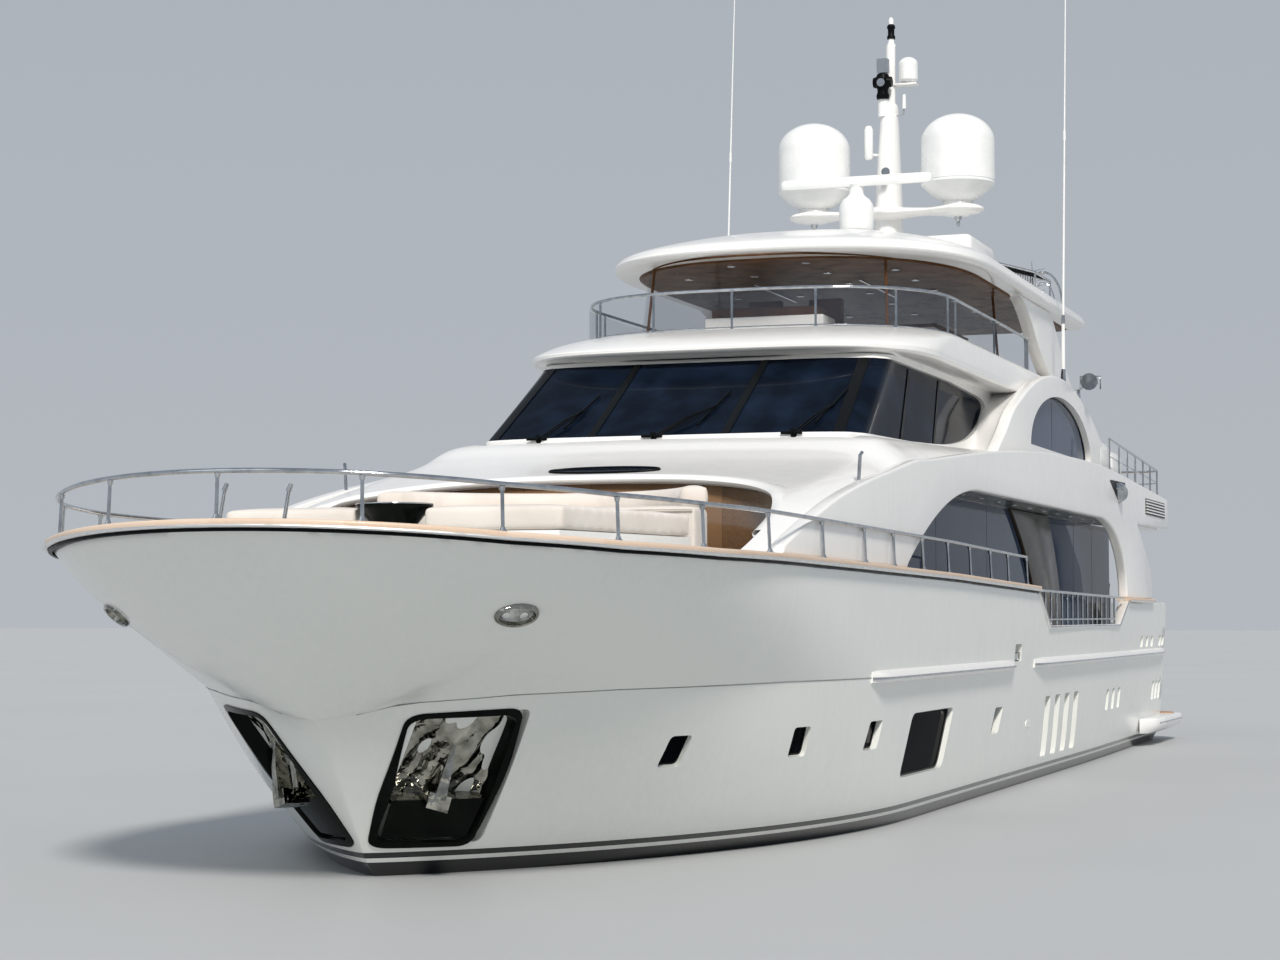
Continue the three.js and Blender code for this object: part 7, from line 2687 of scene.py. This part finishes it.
@dataclass
class Stern:
    """Swim platform, stair rails, aft deck rail, doors, garage door and running gear."""

    half: float = 3.78
    end: float = -17.3

    def outline(self, grow: float) -> Points:
        """Port half of the platform's outline, grown by a distance.

        Args:
            grow: How much larger.

        Returns:
            (x, y) points.
        """
        port = [(-16.0004, 0.0), (-16.0004, 3.1), (-12.9, 3.3), (-13.2, 3.64 + grow * 0.5),
            (-13.6, self.half - 0.02 + grow), (-14.5, self.half + grow), (self.end + 0.9, self.half + grow)]
        for a in angles(12, pi / 2, True):
            port.append((self.end + 0.8 - (0.8 + grow) * sin(a), self.half - 0.8 + (0.8 + grow) * cos(a)))
        return [*port, (self.end - grow, 0.0)]

    def build(self) -> None:
        """Builds the stern's pieces and dresses the CAD nodes that stay."""
        levels = ((0.26, -0.16), (0.33, -0.05), (0.4, -0.005), (0.46, 0.0), (0.52, -0.005), (0.545, -0.02),
            (0.555, -0.045))
        bm = lofted([[(x, y, z) for x, y in self.outline(grow)] for z, grow in levels], False)
        cutter = bmesh.new()
        port = [(-16.0004, 0.0)]
        for k in range(11):
            x = -16.0 + 3.2 * k / 10
            port.append((x, FORM.breadth(4.4, x) + 0.004))
        port.append((-12.8, 0.0))
        slab(cutter, whole_plan(port), 0.1, 1.0)
        mesh = carve(bm, cutter)
        piece("bathing_platform", mesh, WHITE, replaces=("swim_platform",), angle=40)
        teak = bmesh.new()
        port = [(-16.08, 0.0), (-16.08, 3.0), *[p for p in self.outline(-0.16) if p[0] < -16.2]]
        slab(teak, whole_plan(port), 0.5552, 0.568)
        piece("platform_teak", teak, DECK_TEAK)
        strip = bmesh.new()
        edge = [Vector((x, y, 0.46)) for x, y in self.outline(0.0) if x < -13.3]
        tube(strip, both_ways(edge[:-1], edge[-1]), 0.012, 8)
        piece("platform_strip", strip, STEEL)
        self.build_aft_rail()
        self.build_doors()
        self.build_stairs()
        dress(BRONZE, "shaft_port", "shaft_starboard", "propeller_port", "propeller_starboard", "rudder_port",
            "rudder_starboard")
        dress(WHITE, "saloon_walls", "upper_deck")
        dress(SIDE_GLASS, "saloon_glass_port", "saloon_glass_starboard")
        dress(DECK_TEAK, "upper_aft_teak")

    def build_aft_rail(self) -> None:
        """Rail round the upper aft deck, with a middle bar."""
        bm = bmesh.new()
        panel = SidePanels()

        def line(z_front: float, z_corner: float) -> list[Vector]:
            """The rail's line at a height, round both corners.

            Args:
                z_front: Height at its forward end.
                z_corner: Height aft.

            Returns:
                The places.
            """
            port = [Vector((-9.5, 3.47, z_front)), Vector((-12.5, 3.47, (z_front + z_corner) / 2)),
                Vector((-15.5, 3.47, z_corner))]
            port += [Vector((-15.5 - 0.38 * sin(a), 3.09 + 0.38 * cos(a), z_corner)) for a in angles(8, pi / 2,
                True)[1:]]
            return both_ways(port)

        tube(bm, line(5.93, 5.66), 0.024, 12)
        tube(bm, line(5.6, 5.4), 0.012, 8)
        for s in (1, -1):
            for x in (-9.5, -10.6, -11.6, -12.6, -13.6, -14.55, -15.5):
                foot = (x, s * 3.47, panel.edge_at(x) + 0.0005)
                drum(bm, foot, (x, s * 3.47, 5.93 + 0.045 * (x + 9.5)), 0.018, sides=12)
                drum(bm, foot, (x, s * 3.47, foot[2] + 0.014), 0.036, sides=16)
            for y in (0.4, 1.3, 2.2, 2.95):
                drum(bm, (-15.88, s * y, UPPER_DECK), (-15.88, s * y, 5.66), 0.018, sides=12)
                drum(bm, (-15.88, s * y, UPPER_DECK), (-15.88, s * y, 4.615), 0.036, sides=16)
        piece("aft_rail_tubes", bm, STEEL, replaces=("upper_aft_rail",))

    def build_doors(self) -> None:
        """Dark glass in the sliding doors with steel frames and pulls, and the garage door's finish."""
        for name, y0, y1, z0, z1, x in (("saloon_door_port", 0.006, 1.56, 2.306, 4.404, -11.552),
                ("saloon_door_starboard", -1.56, -0.006, 2.306, 4.404, -11.552),
                ("upper_saloon_door", -0.81, 0.81, 4.606, 6.22, -8.552)):
            dress(DARK_GLASS, name)
            bm = bmesh.new()
            aft = x - 0.008
            for a, b in (((y0, z0), (y0 + 0.06, z1)), ((y1 - 0.06, z0), (y1, z1)), ((y0, z0), (y1, z0 + 0.09)),
                    ((y0, z1 - 0.06), (y1, z1))):
                block(bm, (aft, a[0], a[1]), (x, b[0], b[1]))
            grip = y1 - 0.14 if y0 >= 0 or name.startswith("upper") else y0 + 0.14
            middle = (z0 + z1) / 2
            tube(bm, [(aft, grip, middle - 0.25), (aft - 0.045, grip, middle - 0.23),
                (aft - 0.045, grip, middle + 0.23), (aft, grip, middle + 0.25)], 0.012, 8)
            piece(f"{name}_frame", bm, STEEL, body=name)
        dress(WHITE, "garage_door")
        bm = bmesh.new()
        for y in (-0.9, 0.9):
            turned(bm, [(0, 0), (0.07, 0.001), (0.07, 0.006), (0.045, 0.01), (0, 0.01)], (0, 0), 24)
            bmesh.ops.transform(bm, verts=[v for v in bm.verts if v.co.x > -1],
                matrix=Matrix.Translation((-15.9976, y, 0.95)) @ Matrix.Rotation(-pi / 2, 4, "Y"))
        block(bm, (-16.012, -1.72, 1.42), (-15.998, 1.72, 1.436))
        piece("garage_door_latches", bm, STEEL, body="garage_door")

    def build_stairs(self) -> None:
        """Teak treads on the stern stairs, their handrails and stern cleats."""
        treads, rails = bmesh.new(), bmesh.new()
        for i in range(7):
            z = 0.56 + 0.25 * i
            front, back = -15.8 + 0.26 * i, (-15.99 if i == 0 else -15.8 + 0.26 * (i - 1))
            block(treads, (back - 0.012, 2.5, z + 0.0005), (front - 0.02, 3.2, z + 0.014))
        tube(rails, [(-15.9, 2.38, 2.895), (-15.9, 2.38, 3.3), (-14.4, 2.38, 3.45), (-14.4, 2.38, 3.4)], 0.02, 10)
        tube(rails, [(-15.75, -2.3, 2.891), (-15.75, -2.3, 3.35), (-15.75, 2.3, 3.35), (-15.75, 2.3, 2.891)], 0.022, 10)
        for y in (-1.4, -0.5, 0.5, 1.4):
            drum(rails, (-15.75, y, 2.891), (-15.75, y, 3.35), 0.016, sides=12)
        mirror_to_starboard(treads)
        piece("stair_treads", treads, DECK_TEAK)
        piece("stern_rail_tubes", rails, STEEL)


# Studio


@dataclass
class Studio:
    """Pale floor at the waterline, soft light and the photographer's camera."""

    camera_place: tuple[float, float, float] = (37.1706, 11.1772, 2.6295)
    camera_turn: tuple[float, float, float] = (93.1127, 0.0, 110.104)
    lens: float = 69.82
    floor_colour: str = "#B9BBBB"
    floor_dark: str = "#AFB2B3"

    def build(self) -> None:
        """Builds camera, floor and light."""
        data = bpy.data.cameras.new("photograph")
        data.lens, data.sensor_width = self.lens, 36
        data.clip_start, data.clip_end = 0.5, 900
        camera = placed("photograph", data)
        camera.location = self.camera_place
        camera.rotation_euler = [radians(a) for a in self.camera_turn]
        bpy.context.scene.camera = camera
        self.build_floor()
        self.build_light()

    def build_floor(self) -> None:
        """Plain pale floor."""
        bm = bmesh.new()
        bmesh.ops.create_grid(bm, x_segments=2, y_segments=2, size=400)
        floor = placed("studio_floor", mesh_of(bm))
        material = bpy.data.materials.new("studio_floor")
        material.use_nodes = True
        tree = material.node_tree
        tree.nodes.clear()
        place = object_place(tree)
        cloud = noise(tree, place, 9, 2.0)
        colour = mixed(tree, cloud, linear(self.floor_colour), linear(self.floor_dark))
        shader = principled(tree, {"Base Color": colour, "Roughness": 0.55})
        add_node(tree, "ShaderNodeOutputMaterial", {"Surface": shader})
        floor.data.materials.append(material)

    def build_light(self) -> None:
        """A soft key from port, a faint fill, and an even pale sky that is a little lighter towards the horizon and
        darker overhead.
        """
        for name, strength, spread, turn, colour in (("key", 3.2, 10, (46, 0, 117), "#FFF9F2"),
                ("fill", 0.3, 40, (62, 0, 60), "#EEF0F4")):
            data = bpy.data.lights.new(name, "SUN")
            data.energy, data.angle = strength, radians(spread)
            data.color = linear(colour)[:3]
            placed(name, data).rotation_euler = [radians(a) for a in turn]
        world = bpy.data.worlds.new("studio_sky")
        bpy.context.scene.world = world
        world.use_nodes = True
        tree = world.node_tree
        tree.nodes.clear()
        look = add_node(tree, "ShaderNodeTexCoord").outputs["Generated"]
        height = add_node(tree, "ShaderNodeSeparateXYZ", {0: look}).outputs[2]
        share = mapped(tree, height, 0.0, 0.6, 0.0, 1.0)
        colour = mixed(tree, share, linear("#B4B9BF"), linear("#A3ABB6"))
        sky = add_node(tree, "ShaderNodeBackground", {"Color": colour, "Strength": 1.0})
        add_node(tree, "ShaderNodeOutputWorld", {"Surface": sky.outputs[0]})
        bpy.context.scene.view_settings.view_transform = "Standard"


def main() -> None:
    """Builds the studio and then the boat from the waterline up."""
    logging.basicConfig(level=logging.INFO, format="%(name)s: %(message)s")
    for assembly in (Studio(), Hull(), CapRails(), BowRail(), BalconyRails(), Trunk(), Cushions(), DeckGear(), House(),
            SidePanels(), Wings(), Sundeck(), Hardtop(), Mast(), Stern()):
        LOG.info("building %s", type(assembly).__name__)
        assembly.build()
    dress(MIRROR, "anchor_port", "anchor_starboard")


if __name__ == "__main__":
    main()
